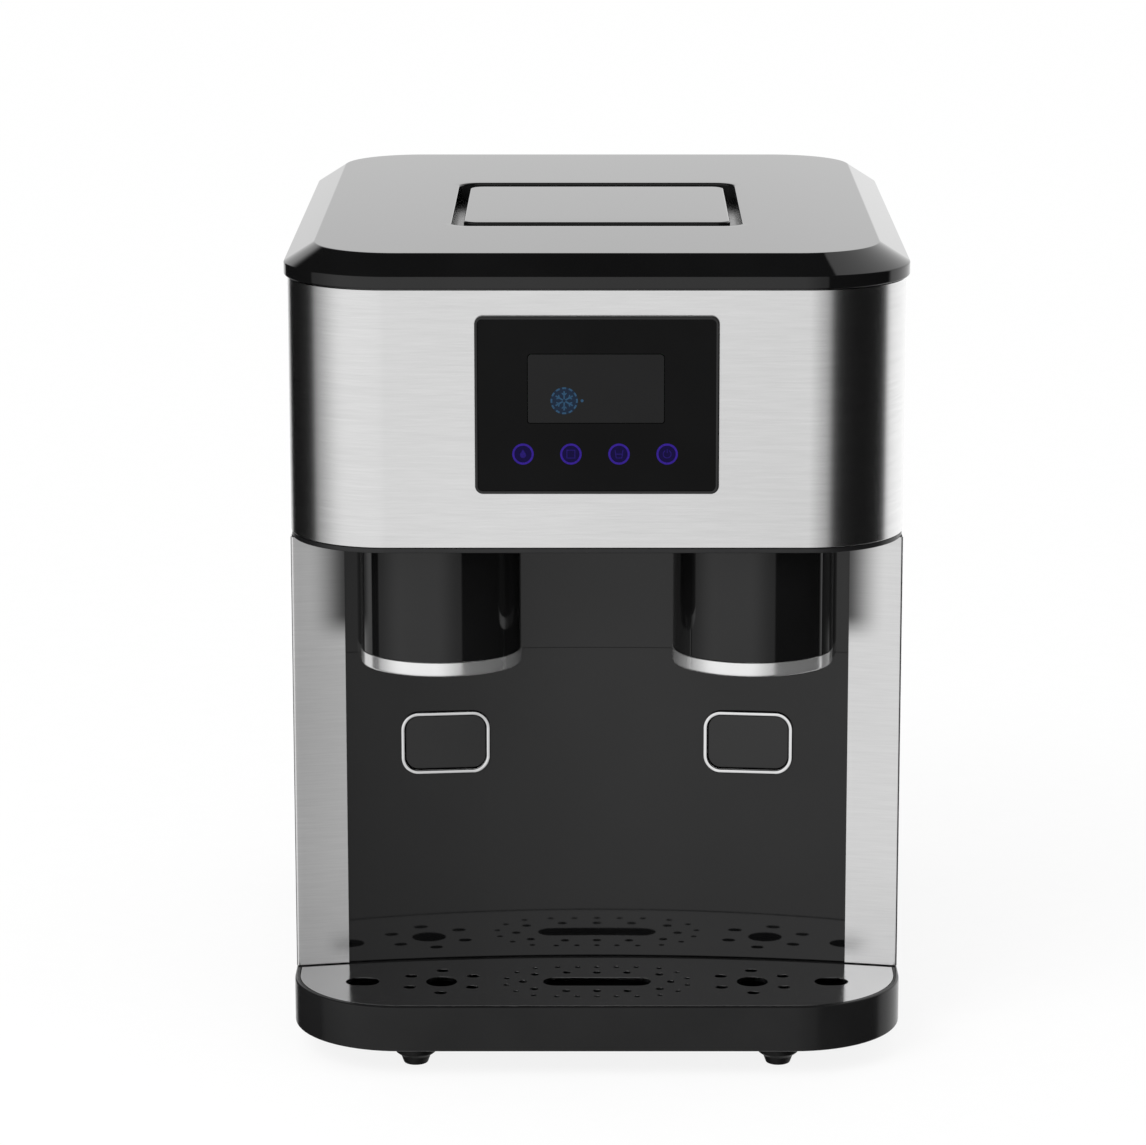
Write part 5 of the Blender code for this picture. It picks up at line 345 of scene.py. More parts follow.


# Finishes
# Painted shade and reflection: where a soft dark is painted into the side steel's colour beside the outlets,
# and how deep it goes
PAINTED_OUTLET_SHADE_X = (0.1345, 0.1565)
PAINTED_OUTLET_SHADE_Y = (-0.11, -0.09)
PAINTED_OUTLET_SHADE_Z = (0.2200, 0.2375)
PAINTED_OUTLET_SHADE_DEPTH = 0.9
WHITE = (1, 1, 1)
CLOUD_SCALE, SPECK_SCALE = 22, 260
GLOSS_SPREAD = (0.8, 1.25)
SUM_RANGE = (0.7, 1.3)
GRAIN_STRENGTH = 0.6
BRUSH_BANDS = (20, 20, 430)
BRUSH_FLECKS = (60, 60, 1500)
BRUSH_CLOUD_SCALE = 7
BRUSH_TONES = (0.95, 1.035)
BRUSH_CLOUD_TONES = (0.97, 1.03)
BRUSH_GLOSS_SPREAD = (0.98, 1.02)
BRUSH_STRENGTH = 0.05
BRUSH_DEPTH = 0.00001
TRACK_SCALE = 320.0
TRACK_EDGES = (0.28, 0.34)
TRACK_STRENGTH = 0.5
TRACK_DEPTH = 0.00004
TRACK_COLOUR = (0.016, 0.13, 0.045, 1)
BOARD_COLOUR = (0.03, 0.20, 0.07, 1)
BOARD_GLOSS = (0.3, 0.5)
BOARD_GRAIN_SCALE = 300
LIT_GRAIN_SCALE = 1200
LIT_TONES = (0.75, 1.2)
LIT_BASE_SHARE = 0.05
LIT_ROUGHNESS = 0.1


def fill(tree, sockets, values):
    """Sets each input to a value or links it to a socket."""
    for name, value in values.items():
        if isinstance(value, bpy.types.NodeSocket):
            tree.links.new(value, sockets[name])
        else:
            sockets[name].default_value = value


def node(tree, kind, inputs=None, **settings):
    made = tree.nodes.new("ShaderNode" + kind)
    for name, value in settings.items():
        setattr(made, name, value)
    fill(tree, made.inputs, inputs or {})
    return made


def noise(tree, place, scale, detail=3.0, stretch=(1, 1, 1)):
    """Noise in object space, drawn out by the stretch of its three axes."""
    mapped = node(tree, "Mapping", {"Vector": place, "Scale": stretch}).outputs["Vector"]
    return node(tree, "TexNoise", {"Vector": mapped, "Scale": scale, "Detail": detail}).outputs["Fac"]


def ranged(tree, value, low, high, from_low=0.3, from_high=0.7, kind="LINEAR"):
    return node(
        tree,
        "MapRange",
        {"Value": value, "From Min": from_low, "From Max": from_high, "To Min": low, "To Max": high},
        interpolation_type=kind,
    ).outputs["Result"]


def mixed(tree, share, first, second):
    """A colour between two colours by a share."""
    return node(tree, "Mix", {0: share, 6: first, 7: second}, data_type="RGBA").outputs[2]


def maths(tree, operation, first, second=0.0):
    return node(tree, "Math", {0: first, 1: second}, operation=operation).outputs[0]


def multiplied(tree, first, second):
    return maths(tree, "MULTIPLY", first, second)


def grey(tree, level):
    """A colour with one level in its three channels."""
    return node(tree, "CombineColor", {0: level, 1: level, 2: level}).outputs[0]


def bump(tree, height, strength, depth):
    return node(tree, "Bump", {"Strength": strength, "Distance": depth, "Height": height}).outputs["Normal"]


def shade(colour, share):
    return (*(channel * share for channel in colour), 1.0)


def new_material(name):
    made = bpy.data.materials.new(name)
    made.use_nodes = True
    tree = made.node_tree
    place = node(tree, "TexCoord").outputs["Object"]
    return made, tree, tree.nodes["Principled BSDF"].inputs, place


def moulded(name, colour, roughness, tone, grain, depth, ior=1.5, metallic=0.0):
    """A plain hard surface: a little uneven in tone and gloss, with a fine grain."""
    made, tree, sockets, place = new_material(name)
    clouds = noise(tree, place, CLOUD_SCALE, 4)
    specks = noise(tree, place, SPECK_SCALE, 5)
    base = mixed(tree, ranged(tree, clouds, 0, 1), shade(colour, 1 - tone), shade(colour, 1 + tone))
    low, high = GLOSS_SPREAD
    gloss = ranged(tree, maths(tree, "ADD", clouds, specks), roughness * low, roughness * high, *SUM_RANGE)
    relief = bump(tree, noise(tree, place, grain), GRAIN_STRENGTH, depth)
    values = {"Base Color": base, "Roughness": gloss, "Normal": relief, "IOR": ior, "Metallic": metallic}
    fill(tree, sockets, values)
    return made


def painted_outlet_shade(tree, place):
    """Painted shade and reflection: the soft dark that the outlets leave on the flanges beside them, painted
    into the steel's colour by place.
    """
    parts = node(tree, "SeparateXYZ", {0: place}).outputs
    near = ranged(tree, maths(tree, "ABSOLUTE", parts["X"]), 1, 0, *PAINTED_OUTLET_SHADE_X, "SMOOTHSTEP")
    high = ranged(tree, parts["Z"], 0, 1, *PAINTED_OUTLET_SHADE_Z, "SMOOTHSTEP")
    front = ranged(tree, parts["Y"], 1, 0, *PAINTED_OUTLET_SHADE_Y, "SMOOTHSTEP")
    share = multiplied(tree, multiplied(tree, near, high), front)
    return ranged(tree, share, 1, 1 - PAINTED_OUTLET_SHADE_DEPTH, 0, 1)


def brushed(name, colour, roughness, painted_shade=None):
    """Steel with level brush marks: long soft bands crossed by short fine flecks."""
    made, tree, sockets, place = new_material(name)
    bands = noise(tree, place, 1.0, 6, BRUSH_BANDS)
    flecks = noise(tree, place, 1.0, 4, BRUSH_FLECKS)
    lines = maths(tree, "ADD", bands, flecks)
    base = mixed(tree, ranged(tree, lines, 0, 1, *SUM_RANGE), *(shade(colour, tone) for tone in BRUSH_TONES))
    tone = ranged(tree, noise(tree, place, BRUSH_CLOUD_SCALE), *BRUSH_CLOUD_TONES)
    # A painted shade, when given, darkens the steel's colour by place
    if painted_shade:
        tone = multiplied(tree, tone, painted_shade(tree, place))
    toned = node(tree, "VectorMath", {0: base, "Scale": tone}, operation="SCALE").outputs[0]
    low, high = BRUSH_GLOSS_SPREAD
    gloss = ranged(tree, lines, roughness * low, roughness * high, *SUM_RANGE)
    relief = bump(tree, lines, BRUSH_STRENGTH, BRUSH_DEPTH)
    fill(tree, sockets, {"Base Color": toned, "Roughness": gloss, "Normal": relief, "Metallic": 1.0})
    return made


def circuit_board(name):
    """Green solder mask over copper tracks."""
    made, tree, sockets, place = new_material(name)
    tracks = node(tree, "TexVoronoi", {"Vector": place, "Scale": TRACK_SCALE}, distance="MANHATTAN")
    height = tracks.outputs["Distance"]
    base = mixed(tree, ranged(tree, height, 0, 1, *TRACK_EDGES), TRACK_COLOUR, BOARD_COLOUR)
    gloss = ranged(tree, noise(tree, place, BOARD_GRAIN_SCALE), *BOARD_GLOSS)
    relief = bump(tree, height, TRACK_STRENGTH, TRACK_DEPTH)
    fill(tree, sockets, {"Base Color": base, "Roughness": gloss, "Normal": relief})
    return made


def lit(name, colour, ior):
    """A lit mark behind glass, with a grain in its light."""
    made, tree, sockets, place = new_material(name)
    share = ranged(tree, noise(tree, place, LIT_GRAIN_SCALE, 2), 0, 1)
    glow = mixed(tree, share, *(shade(colour, tone) for tone in LIT_TONES))
    values = {"Emission Color": glow, "Emission Strength": 1.0, "Roughness": LIT_ROUGHNESS, "IOR": ior}
    fill(tree, sockets, {"Base Color": shade(colour, LIT_BASE_SHARE), **values})
    return made


STEEL_COLOUR = (0.745, 0.745, 0.745)
STEEL_ROUGHNESS = 0.23
SIDE_ROUGHNESS = 0.30
HOSE_TRANSMISSION = 0.55
FILM_IOR = 1.17
WINDOW_IOR = 1.295

# Colour, roughness, unevenness of tone, fineness and depth of the grain, IOR, metallic share
MOULDED = {
    "black_gloss": ((0.0047, 0.0047, 0.0048), 0.045, 0.15, 500, 0.000003, 1.44),
    "pad_gloss": ((0.0055, 0.0055, 0.0056), 0.06, 0.15, 500, 0.000003, 1.49),
    "black_plastic": ((0.0075, 0.0075, 0.008), 0.33, 0.15, 1600, 0.00003, 1.45),
    "base_plastic": ((0.0105, 0.0105, 0.0107), 0.18, 0.15, 900, 0.00001, 1.28),
    "panel_film": ((0.0026, 0.0026, 0.0027), 0.10, 0.2, 1500, 0.000006, FILM_IOR),
    "mirror_steel": ((0.86, 0.86, 0.865), 0.14, 0.02, 240, 0.000003, 1.5, 1.0),
    "chrome": ((0.80, 0.80, 0.805), 0.12, 0.03, 320, 0.000004, 1.5, 1.0),
    "satin_metal": ((0.84, 0.84, 0.84), 0.17, 0.03, 320, 0.000006, 1.5, 0.84),
    "window": ((0.0036, 0.0036, 0.0038), 0.06, 0.15, 1200, 0.000003, WINDOW_IOR),
    "rubber": ((0.006, 0.006, 0.006), 0.55, 0.25, 2200, 0.00006, 1.3),
    "grey_plastic": ((0.23, 0.235, 0.24), 0.46, 0.06, 1500, 0.00004),
    "white_plastic": ((0.72, 0.73, 0.73), 0.38, 0.03, 1500, 0.00003),
    "clear_hose": ((0.60, 0.64, 0.66), 0.30, 0.06, 700, 0.00003, 1.45),
    "copper": ((0.70, 0.33, 0.18), 0.26, 0.16, 500, 0.00003, 1.5, 1.0),
    "aluminium": ((0.64, 0.65, 0.66), 0.36, 0.06, 700, 0.00003, 1.5, 1.0),
    "nickel": ((0.62, 0.60, 0.57), 0.20, 0.06, 600, 0.00002, 1.5, 1.0),
    "compressor_paint": ((0.014, 0.014, 0.016), 0.40, 0.2, 900, 0.00006),
}
# Light, and the IOR of the face over it
LIT = {
    "touch_light": ((0.030, 0.011, 0.23), FILM_IOR),
    "sign_light": ((0.016, 0.007, 0.13), FILM_IOR),
    "touch_glow": ((0.004, 0.001, 0.040), FILM_IOR),
    "icon_light": ((0.016, 0.060, 0.120), WINDOW_IOR),
    "icon_glow": ((0.0005, 0.010, 0.030), WINDOW_IOR),
}


def make_finishes():
    made = {name: moulded(name, *values) for name, values in MOULDED.items()}
    hose = made["clear_hose"].node_tree.nodes["Principled BSDF"]
    hose.inputs["Transmission Weight"].default_value = HOSE_TRANSMISSION
    made.update({name: lit(name, *values) for name, values in LIT.items()})
    made["brushed_steel"] = brushed("brushed_steel", STEEL_COLOUR, STEEL_ROUGHNESS)
    # The side steel carries the painted shade and reflection beside the outlets
    made["side_steel"] = brushed("side_steel", STEEL_COLOUR, SIDE_ROUGHNESS, painted_outlet_shade)
    made["circuit_board"] = circuit_board("circuit_board")
    return made


FINISHES = make_finishes()


# Base, feet, drip tray and grille
RIM = 0.0026
CURB = 0.0015
CROSS_WALL = 0.0065
BASE_WALL = 0.003
BASE_FLOOR = BASE_LOW.z + BASE_WALL
BASE_EDGE = 0.0011
BASE_TOP_INSET = 0.0022
TRAY_CLEARANCE = 0.0006
TRAY_WALL = 0.0018
TRAY_FLOOR = 0.0016
TRAY_EDGE = 0.0008
GRILLE_CLEARANCE = 0.0004
GRILLE_EDGE = 0.00005
FLOOR_SLOT_COUNT = 6
FLOOR_SLOT_PITCH = 0.018
FLOOR_SLOT_HALF_LENGTH = 0.028
FLOOR_SLOT_HALF_WIDTH = 0.0025
FLOOR_SLOT_X = 0.060
FLOOR_SLOT_SETBACK = 0.270
FOOT_FLARE = 0.0022
FOOT_SKIRT_HEIGHT = 0.0066
FOOT_NECK = (0.0080, 0.0043)
FOOT_SOLE_RADIUS = 0.0064
FOOT_HOLLOW_RADIUS = 0.0024
FOOT_HOLLOW_DEPTH = 0.006
FOOT_ROUNDING = 0.0010


def base_loop(inset):
    side, front, rear = HALF_WIDTH - inset, BASE_LOW.y + inset, HEAD_REAR - inset
    return rounded(-side, side, front, rear, BASE_CORNER - inset, HEAD_CORNER - inset)


def tray_loop(inset, rear_gap):
    """The front well's outline, drawn in from the base's outer face and from the recess."""
    half = HALF_WIDTH - inset
    front = BASE_LOW.y + inset
    radius = BASE_CORNER - inset
    return (
        arc((-half + radius, front + radius), radius, 180, 270, CORNER_STEPS)
        + arc((half - radius, front + radius), radius, 270, 360, CORNER_STEPS)
        + recess_line(half, -half, -rear_gap)
    )


def bay_loop():
    half = HALF_WIDTH - BASE_WALL
    radius = HEAD_CORNER - BASE_WALL
    rear = HEAD_REAR - BASE_WALL
    return (
        recess_line(-half, half, CROSS_WALL)
        + arc((half - radius, rear - radius), radius, 0, 90, CORNER_STEPS)
        + arc((-half + radius, rear - radius), radius, 90, 180, CORNER_STEPS)
    )


# The drain's recess in the rear wall
DRAIN_X = -0.0225
DRAIN_HEIGHT = 0.028
DRAIN_BORE_RADIUS = 0.0055
RECESS_HALF_X = 0.014
RECESS_HALF_Z = 0.0108
RECESS_CORNER = 0.002
RECESS_DEPTH = 0.014
RECESS_WALL = 0.003
RECESS_LID = 0.0002


def add_drain_recess(base):
    """The rear wall steps in round the drain, so that the plug doesn't stand proud and can be pulled."""
    rear = BASE_HIGH.y
    front = rear - RECESS_DEPTH
    side = RECESS_HALF_X + RECESS_WALL
    inner = front - RECESS_WALL
    block = rounded(DRAIN_X - side, DRAIN_X + side, inner, rear - RECESS_WALL / 2, RECESS_CORNER)
    block_low, block_high = BASE_LOW.z + RECESS_WALL / 2, BASE_HIGH.z - RECESS_LID
    combine(base, [prism("drain_block", block, block_low, block_high)], "UNION")
    opening = rounded(-RECESS_HALF_X, RECESS_HALF_X, -RECESS_HALF_Z, RECESS_HALF_Z, RECESS_CORNER)
    recess = slab("drain_recess", [opening], front, rear + OVERRUN, 0, "Y")
    bore = slab("drain_bore", [circle((0, 0), DRAIN_BORE_RADIUS)], inner - OVERRUN, front + OVERRUN, 0, "Y")
    combine(base, [shifted(tool, DRAIN_X, 0, DRAIN_HEIGHT) for tool in (recess, bore)])


def make_base():
    low, high = BASE_LOW.z, BASE_HIGH.z
    line = round_corners([(CAP_INSET, low), (0, low), (0, high), (BASE_TOP_INSET, high)], BASE_EDGE, 4)
    base = skin("base_shell", [at_height(base_loop(inset), z) for inset, z in line])
    above = high + OVERRUN
    tools = [
        prism("well", tray_loop(RIM, CURB), BASE_FLOOR, above),
        prism("bay", bay_loop(), BASE_FLOOR, above),
    ]
    for number in range(FLOOR_SLOT_COUNT):
        spot = (FLOOR_SLOT_X, behind(FLOOR_SLOT_SETBACK) + number * FLOOR_SLOT_PITCH)
        opening = slot_loop(spot, FLOOR_SLOT_HALF_LENGTH, FLOOR_SLOT_HALF_WIDTH, 5)
        tools.append(prism(f"floor_slot_{number}", opening, low - OVERRUN, BASE_FLOOR + OVERRUN))
    combine(base, tools)
    add_drain_recess(base)
    dress(base, "base_plastic", "base_pan", slot="black_plastic")


def make_feet():
    for name in ("foot_front_left", "foot_front_right", "foot_rear_left", "foot_rear_right"):
        low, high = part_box(name)
        skirt = (high.x - low.x) / 2 + FOOT_FLARE
        line = [
            (0, high.z),
            (skirt, high.z),
            (skirt, FOOT_SKIRT_HEIGHT),
            FOOT_NECK,
            (FOOT_SOLE_RADIUS, 0),
            (FOOT_HOLLOW_RADIUS, 0),
            (FOOT_HOLLOW_RADIUS, FOOT_HOLLOW_DEPTH),
            (0, FOOT_HOLLOW_DEPTH),
        ]
        foot = turned(name + "_pad", round_corners(line, FOOT_ROUNDING, 4))
        dress(shifted(foot, (low.x + high.x) / 2, (low.y + high.y) / 2, 0), "rubber", name)


NOZZLE_BORE = 0.0035
NOZZLE_RADIUS = 0.0052
NOZZLE_TAIL = -0.0036
NOZZLE_LENGTH = 0.009
NOZZLE_RIM_RADIUS = 0.0085
NOZZLE_RIM = 0.002
CAP_RADIUS = 0.0078
CAP_WAIST_RADIUS = 0.0070
CAP_BORE = 0.0055
CAP_LENGTH = 0.0105
CAP_BAND = 0.0022
CAP_END = 0.0018
CAP_ROUNDING = 0.0005


def make_drain():
    """The drain's nozzle at the bottom of its recess, and the rubber cap pulled over it."""
    nozzle_y = BASE_HIGH.y - RECESS_DEPTH + SEAT
    line = [
        (NOZZLE_BORE, NOZZLE_LENGTH),
        (NOZZLE_RADIUS, NOZZLE_LENGTH),
        (NOZZLE_RADIUS, NOZZLE_RIM),
        (NOZZLE_RIM_RADIUS, NOZZLE_RIM),
        (NOZZLE_RIM_RADIUS, 0),
        (NOZZLE_RADIUS, 0),
        (NOZZLE_RADIUS, NOZZLE_TAIL),
        (NOZZLE_BORE, NOZZLE_TAIL),
    ]
    line = round_corners(line, SMALL_EDGE)
    rings = [at_height(circle((0, 0), radius, 40), height) for radius, height in line]
    to_rear = Matrix.Rotation(-QUARTER_TURN, 4, "X")
    nozzle = moved(skin("drain_nozzle", rings, True), to_rear)
    dress(shifted(nozzle, DRAIN_X, nozzle_y, DRAIN_HEIGHT), "grey_plastic", "drain_fitting")
    line = [
        (0, CAP_LENGTH),
        (CAP_RADIUS, CAP_LENGTH),
        (CAP_RADIUS, CAP_LENGTH - CAP_BAND),
        (CAP_WAIST_RADIUS, CAP_LENGTH - CAP_BAND),
        (CAP_WAIST_RADIUS, CAP_BAND),
        (CAP_RADIUS, CAP_BAND),
        (CAP_RADIUS, 0),
        (CAP_BORE, 0),
        (CAP_BORE, CAP_LENGTH - CAP_END),
        (0, CAP_LENGTH - CAP_END),
    ]
    cap = moved(turned("drain_cap", round_corners(line, CAP_ROUNDING)), to_rear)
    cap_y = nozzle_y + NOZZLE_RIM + SEAT
    dress(shifted(cap, DRAIN_X, cap_y, DRAIN_HEIGHT), "rubber", "drain_plug", body="drain_plug")


GRILLE_HOLES_SETBACK = 0.016
GRILLE_SLOT_HALF = (0.0294, 0.0070)
GRILLE_ROUND_X = 0.0845
GRILLE_ROUND_RADIUS = 0.0085
GRILLE_OVAL_X = 0.1275
GRILLE_OVAL_HALF = (0.0092, 0.0068)
PETAL_HALF = (0.0034, 0.0026)
PETAL_COUNT = 6
PETAL_REACH = 0.0195
RING_STRAIGHT_HALF = 0.0240
# The two hole rings round the slot: reach, hole radius, places along the straights, angles at the ends
RINGS = (
    (0.0163, 0.0022, (-0.69, 0.0, 0.69), (-52, 0, 52)),
    (0.0258, 0.0015, (-0.90, -0.44, 0.0, 0.44, 0.90), (-67, -40, -13, 13, 40, 67)),
)


def grille_holes():
    y = behind(GRILLE_HOLES_SETBACK)
    holes = [slot_loop((0, y), *GRILLE_SLOT_HALF)]
    for reach, radius, straight_shares, end_angles_deg in RINGS:
        spots = [(RING_STRAIGHT_HALF * share, side * reach) for share in straight_shares for side in (-1, 1)]
        for angle_deg in end_angles_deg:
            angle = math.radians(angle_deg)
            x = RING_STRAIGHT_HALF + reach * math.cos(angle)
            spots += [(x, reach * math.sin(angle)), (-x, reach * math.sin(angle))]
        holes += [circle((x, y + off), radius, 16) for x, off in spots]
    for side in (-1, 1):
        holes.append(circle((side * GRILLE_ROUND_X, y), GRILLE_ROUND_RADIUS))
        for number in range(PETAL_COUNT):
            angle = QUARTER_TURN + 2 * math.pi * number / PETAL_COUNT
            petal = (side * GRILLE_ROUND_X + PETAL_REACH * math.cos(angle), y + PETAL_REACH * math.sin(angle))
            holes.append(slot_loop(petal, *PETAL_HALF, 6))
        holes.append(slot_loop((side * GRILLE_OVAL_X, y), *GRILLE_OVAL_HALF))
    return holes


def make_tray_and_grille():
    loops = [tray_loop(RIM + GRILLE_CLEARANCE, CURB + GRILLE_CLEARANCE), *grille_holes()]
    grille = slab("grille_plate", loops, GRILLE_LOW.z, GRILLE_HIGH.z, GRILLE_EDGE, rounding=1)
    dress(grille, "mirror_steel", "drip_grille", body="grille", slot="chrome")
    low, high = TRAY_LOW.z, TRAY_HIGH.z
    floor = low + TRAY_FLOOR
    line = [(CAP_INSET, low), (0, low), (0, high), (TRAY_WALL, high), (TRAY_WALL, floor), (CAP_INSET, floor)]
    inset, rear_gap = RIM + TRAY_CLEARANCE, CURB + TRAY_CLEARANCE
    rings = [at_height(tray_loop(inset + u, rear_gap + u), z) for u, z in round_corners(line, TRAY_EDGE)]
    dress(skin("tray_basin", rings), "black_plastic", "drip_tray", body="tray")


# Steel sides, splash panel and head
FLANGE_WIDTH = 0.0285
FLANGE_INNER_X = HALF_WIDTH - FLANGE_WIDTH
FLANGE_CORNER = 0.0012
SPLASH_LAP = 0.0135
SPLASH_HALF_WIDTH = FLANGE_INNER_X + SPLASH_LAP
SPLASH_THICKNESS = 0.0025
SEAM_HEIGHT = 0.2151
SEAM_WIDTH = 0.0007
SEAM_DEPTH = 0.0006
SHEET_EDGE = 0.00035
BAND_WINDOW_MARGIN = 0.006
BAND_WINDOW_CORNER = 0.004


def side_path():
    """The right-hand side in plan, from the flange's inner edge round to the back."""
    corner_x = HALF_WIDTH - FLANGE_CORNER
    lean = recess_lean(corner_x)
    turn_x = corner_x - FLANGE_CORNER * math.sin(lean)
    corner_y = recess_y(turn_x) + FLANGE_CORNER * math.cos(lean)
    rear = (HALF_WIDTH - HEAD_CORNER, HEAD_REAR - HEAD_CORNER)
    return (
        recess_line(FLANGE_INNER_X, turn_x, 0, 10)[:-1]
        + arc((corner_x, corner_y), FLANGE_CORNER, -90 - math.degrees(lean), 0, 8)
        + arc(rear, HEAD_CORNER, 0, 90, CORNER_STEPS)
    )


def make_sides():
    section = sheet_section(SIDE_LOW.z, SIDE_HIGH.z, SHEET, SHEET_EDGE)
    right = side_path()
    left = [(-x, y) for x, y in reversed(right)]
    for side, path in (("right", right), ("left", left)):
        sheet = sweep(f"side_sheet_{side}", path, section)
        dress(sheet, "side_steel", f"side_panel_{side}", slot="brushed_steel")


def make_head_band():
    near, far = HEAD_FRONT + HEAD_CORNER, HEAD_REAR - HEAD_CORNER
    side = HALF_WIDTH - HEAD_CORNER
    path = (
        arc((-side, far), HEAD_CORNER, 90, 180, CORNER_STEPS)
        + arc((-side, near), HEAD_CORNER, 180, 270, CORNER_STEPS)
        + arc((side, near), HEAD_CORNER, 270, 360, CORNER_STEPS)
        + arc((side, far), HEAD_CORNER, 0, 90, CORNER_STEPS)
    )
    band = sweep("head_sheet", path, sheet_section(HEAD_LOW.z, HEAD_HIGH.z, SHEET, SHEET_EDGE))
    window = upright_loop(PANEL_LOW, PANEL_HIGH, BAND_WINDOW_MARGIN, BAND_WINDOW_CORNER, steps=6)
    combine(band, [slab("band_window", [window], HEAD_FRONT - OVERRUN, HEAD_FRONT + OVERRUN, 0, "Y")])
    dress(band, "brushed_steel", "head_band")


def splash_section():
    """The panel's section with the seam's groove in its face."""
    section = sheet_section(SIDE_LOW.z, SIDE_HIGH.z, SPLASH_THICKNESS, SHEET_EDGE)
    seam_top = SEAM_HEIGHT + SEAM_WIDTH
    groove = [(0, seam_top), (SEAM_DEPTH, seam_top), (SEAM_DEPTH, SEAM_HEIGHT), (0, SEAM_HEIGHT)]
    return section + groove


PAD_X = 0.0827
PAD_HEIGHT = 0.163
BEZEL_HALF_X = 0.02445
BEZEL_HALF_Z = 0.01745
BEZEL_CORNER = 0.0097
BEZEL_WIDTH = 0.0022
BEZEL_LIP = 0.0007
BEZEL_PROUD = 0.0020
BEZEL_BACK = 0.0007
BEZEL_SLEEVE = 0.0012
BEZEL_EDGE = 0.0006
PAD_WINDOW_DEPTHS = (-0.004, 0.008)
SLEEVE_DEPTH = 0.0072
PAD_CLEARANCE = 0.00025
PAD_SWING_ROOM = 0.00025
PAD_THICKNESS = 0.0025
PAD_EDGE = 0.0005
PAD_FRONT = -0.0003
PIVOT_DEPTH = 0.0042
PIVOT_RISE = 0.0115
PAD_EAR_X = 0.014
PAD_EAR_HALF = 0.0015
PAD_EAR_CORNER = 0.0006
PIVOT_RADIUS = 0.0014


def pad_seat(sign):
    """Where a pad's own frame lies on the splash panel's face."""
    place = Matrix.Translation((sign * PAD_X, recess_y(PAD_X) + SPLASH_STEP, PAD_HEIGHT))
    return place @ Matrix.Rotation(-sign * recess_lean(PAD_X), 4, "Z")


def bezel_loop(inset):
    half_x, half_z = BEZEL_HALF_X - inset, BEZEL_HALF_Z - inset
    return rounded(-half_x, half_x, -half_z, half_z, BEZEL_CORNER - inset, steps=12)


def make_splash_panel():
    face = recess_line(-SPLASH_HALF_WIDTH, SPLASH_HALF_WIDTH, SPLASH_STEP)
    panel = sweep("splash_sheet", face, splash_section())
    tools = []
    for sign in (-1, 1):
        window = slab("pad_window", [bezel_loop(BEZEL_LIP)], *PAD_WINDOW_DEPTHS, 0, "Y")
        tools.append(moved(window, pad_seat(sign)))
    combine(panel, tools)
    dress(panel, "black_gloss", "splash_panel")


def make_pads():
    for side, sign in SIDES:
        seat = pad_seat(sign)
        inner = bezel_loop(BEZEL_WIDTH)
        rim = slab(f"pad_rim_{side}", [bezel_loop(0), inner], -BEZEL_PROUD, -BEZEL_BACK, BEZEL_EDGE, "Y")
        sleeve_loops = [bezel_loop(BEZEL_WIDTH - BEZEL_SLEEVE), inner]
        sleeve = slab(f"pad_sleeve_{side}", sleeve_loops, -BEZEL_BACK, SLEEVE_DEPTH, FINE_EDGE, "Y")
        dress(moved(rim, seat), "chrome", f"pad_bezel_{side}")
        dress(moved(sleeve, seat), "chrome", f"pad_bezel_{side}")
        pad_loop = bezel_loop(BEZEL_WIDTH + PAD_CLEARANCE)
        pad_loop = [(x, z + PAD_SWING_ROOM if z < 0 else z) for x, z in pad_loop]
        pad = slab(f"pad_face_{side}", [pad_loop], PAD_FRONT, PAD_FRONT + PAD_THICKNESS, PAD_EDGE, "Y")
        dress(moved(pad, seat), "pad_gloss", f"pad_{side}", body=f"pad_{side}", slot="black_gloss")
        low, high = PIVOT_RISE - PIVOT_RADIUS, PIVOT_RISE + PIVOT_RADIUS
        ear_loop = rounded(PAD_THICKNESS / 2, PIVOT_DEPTH + PIVOT_RADIUS, low, high, PAD_EAR_CORNER, steps=4)
        for tab, x in (("left", -PAD_EAR_X), ("right", PAD_EAR_X)):
            name = f"pad_{side}_ear_{tab}"
            ear = slab(name, [ear_loop], x - PAD_EAR_HALF, x + PAD_EAR_HALF, FINE_EDGE, "X")
            dress(moved(ear, seat), "black_gloss", body=f"pad_{side}")


def deck_loop(inset):
    half = HALF_WIDTH - inset
    return rounded(-half, half, HEAD_FRONT + inset, DECK_HIGH.y, HEAD_CORNER - inset)


CHUTE_X = -0.0844
CHUTE_HALF_X = 0.0244
CHUTE_FRONT = 0.0216
CHUTE_REAR = 0.0554
CHUTE_CORNER = 0.0104
SPOUT_X = 0.0844
SPOUT_SETBACK = 0.040
SPOUT_HOLE_RADIUS = 0.0053
DECK_EDGE = 0.0005


def make_deck():
    left, right = CHUTE_X - CHUTE_HALF_X, CHUTE_X + CHUTE_HALF_X
    chute = rounded(left, right, behind(CHUTE_FRONT), behind(CHUTE_REAR), CHUTE_CORNER, steps=8)
    spout = circle((SPOUT_X, behind(SPOUT_SETBACK)), SPOUT_HOLE_RADIUS)
    deck = slab("deck_plate", [deck_loop(DECK_EDGE), chute, spout], DECK_LOW.z, DECK_HIGH.z, DECK_EDGE)
    dress(deck, "black_plastic", "head_deck")


SHROUD_SETBACK = 0.048
SHROUD_X = (SHROUD_LOW.x + SHROUD_HIGH.x) / 2
SHROUD_HALF_WIDTH = (SHROUD_HIGH.x - SHROUD_LOW.x) / 2
SHROUD_HALF_DEPTH = behind(SHROUD_SETBACK) - SHROUD_LOW.y
SHROUD_WALL = 0.0024
SHROUD_EDGE = 0.0004
COLLAR_WALL = 0.0026
COLLAR_EDGE = 0.00125


def splash_face(x):
    step = SPLASH_STEP if abs(x) < FLANGE_INNER_X else 0
    return recess_y(x) + step - 2 * SEAT


def shroud_path(x):
    left, right = x - SHROUD_HALF_WIDTH, x + SHROUD_HALF_WIDTH
    front = arc((x, behind(SHROUD_SETBACK)), SHROUD_HALF_WIDTH, 180, 360, 64, SHROUD_HALF_DEPTH)
    return [(left, splash_face(left))] + front + [(right, splash_face(right))]


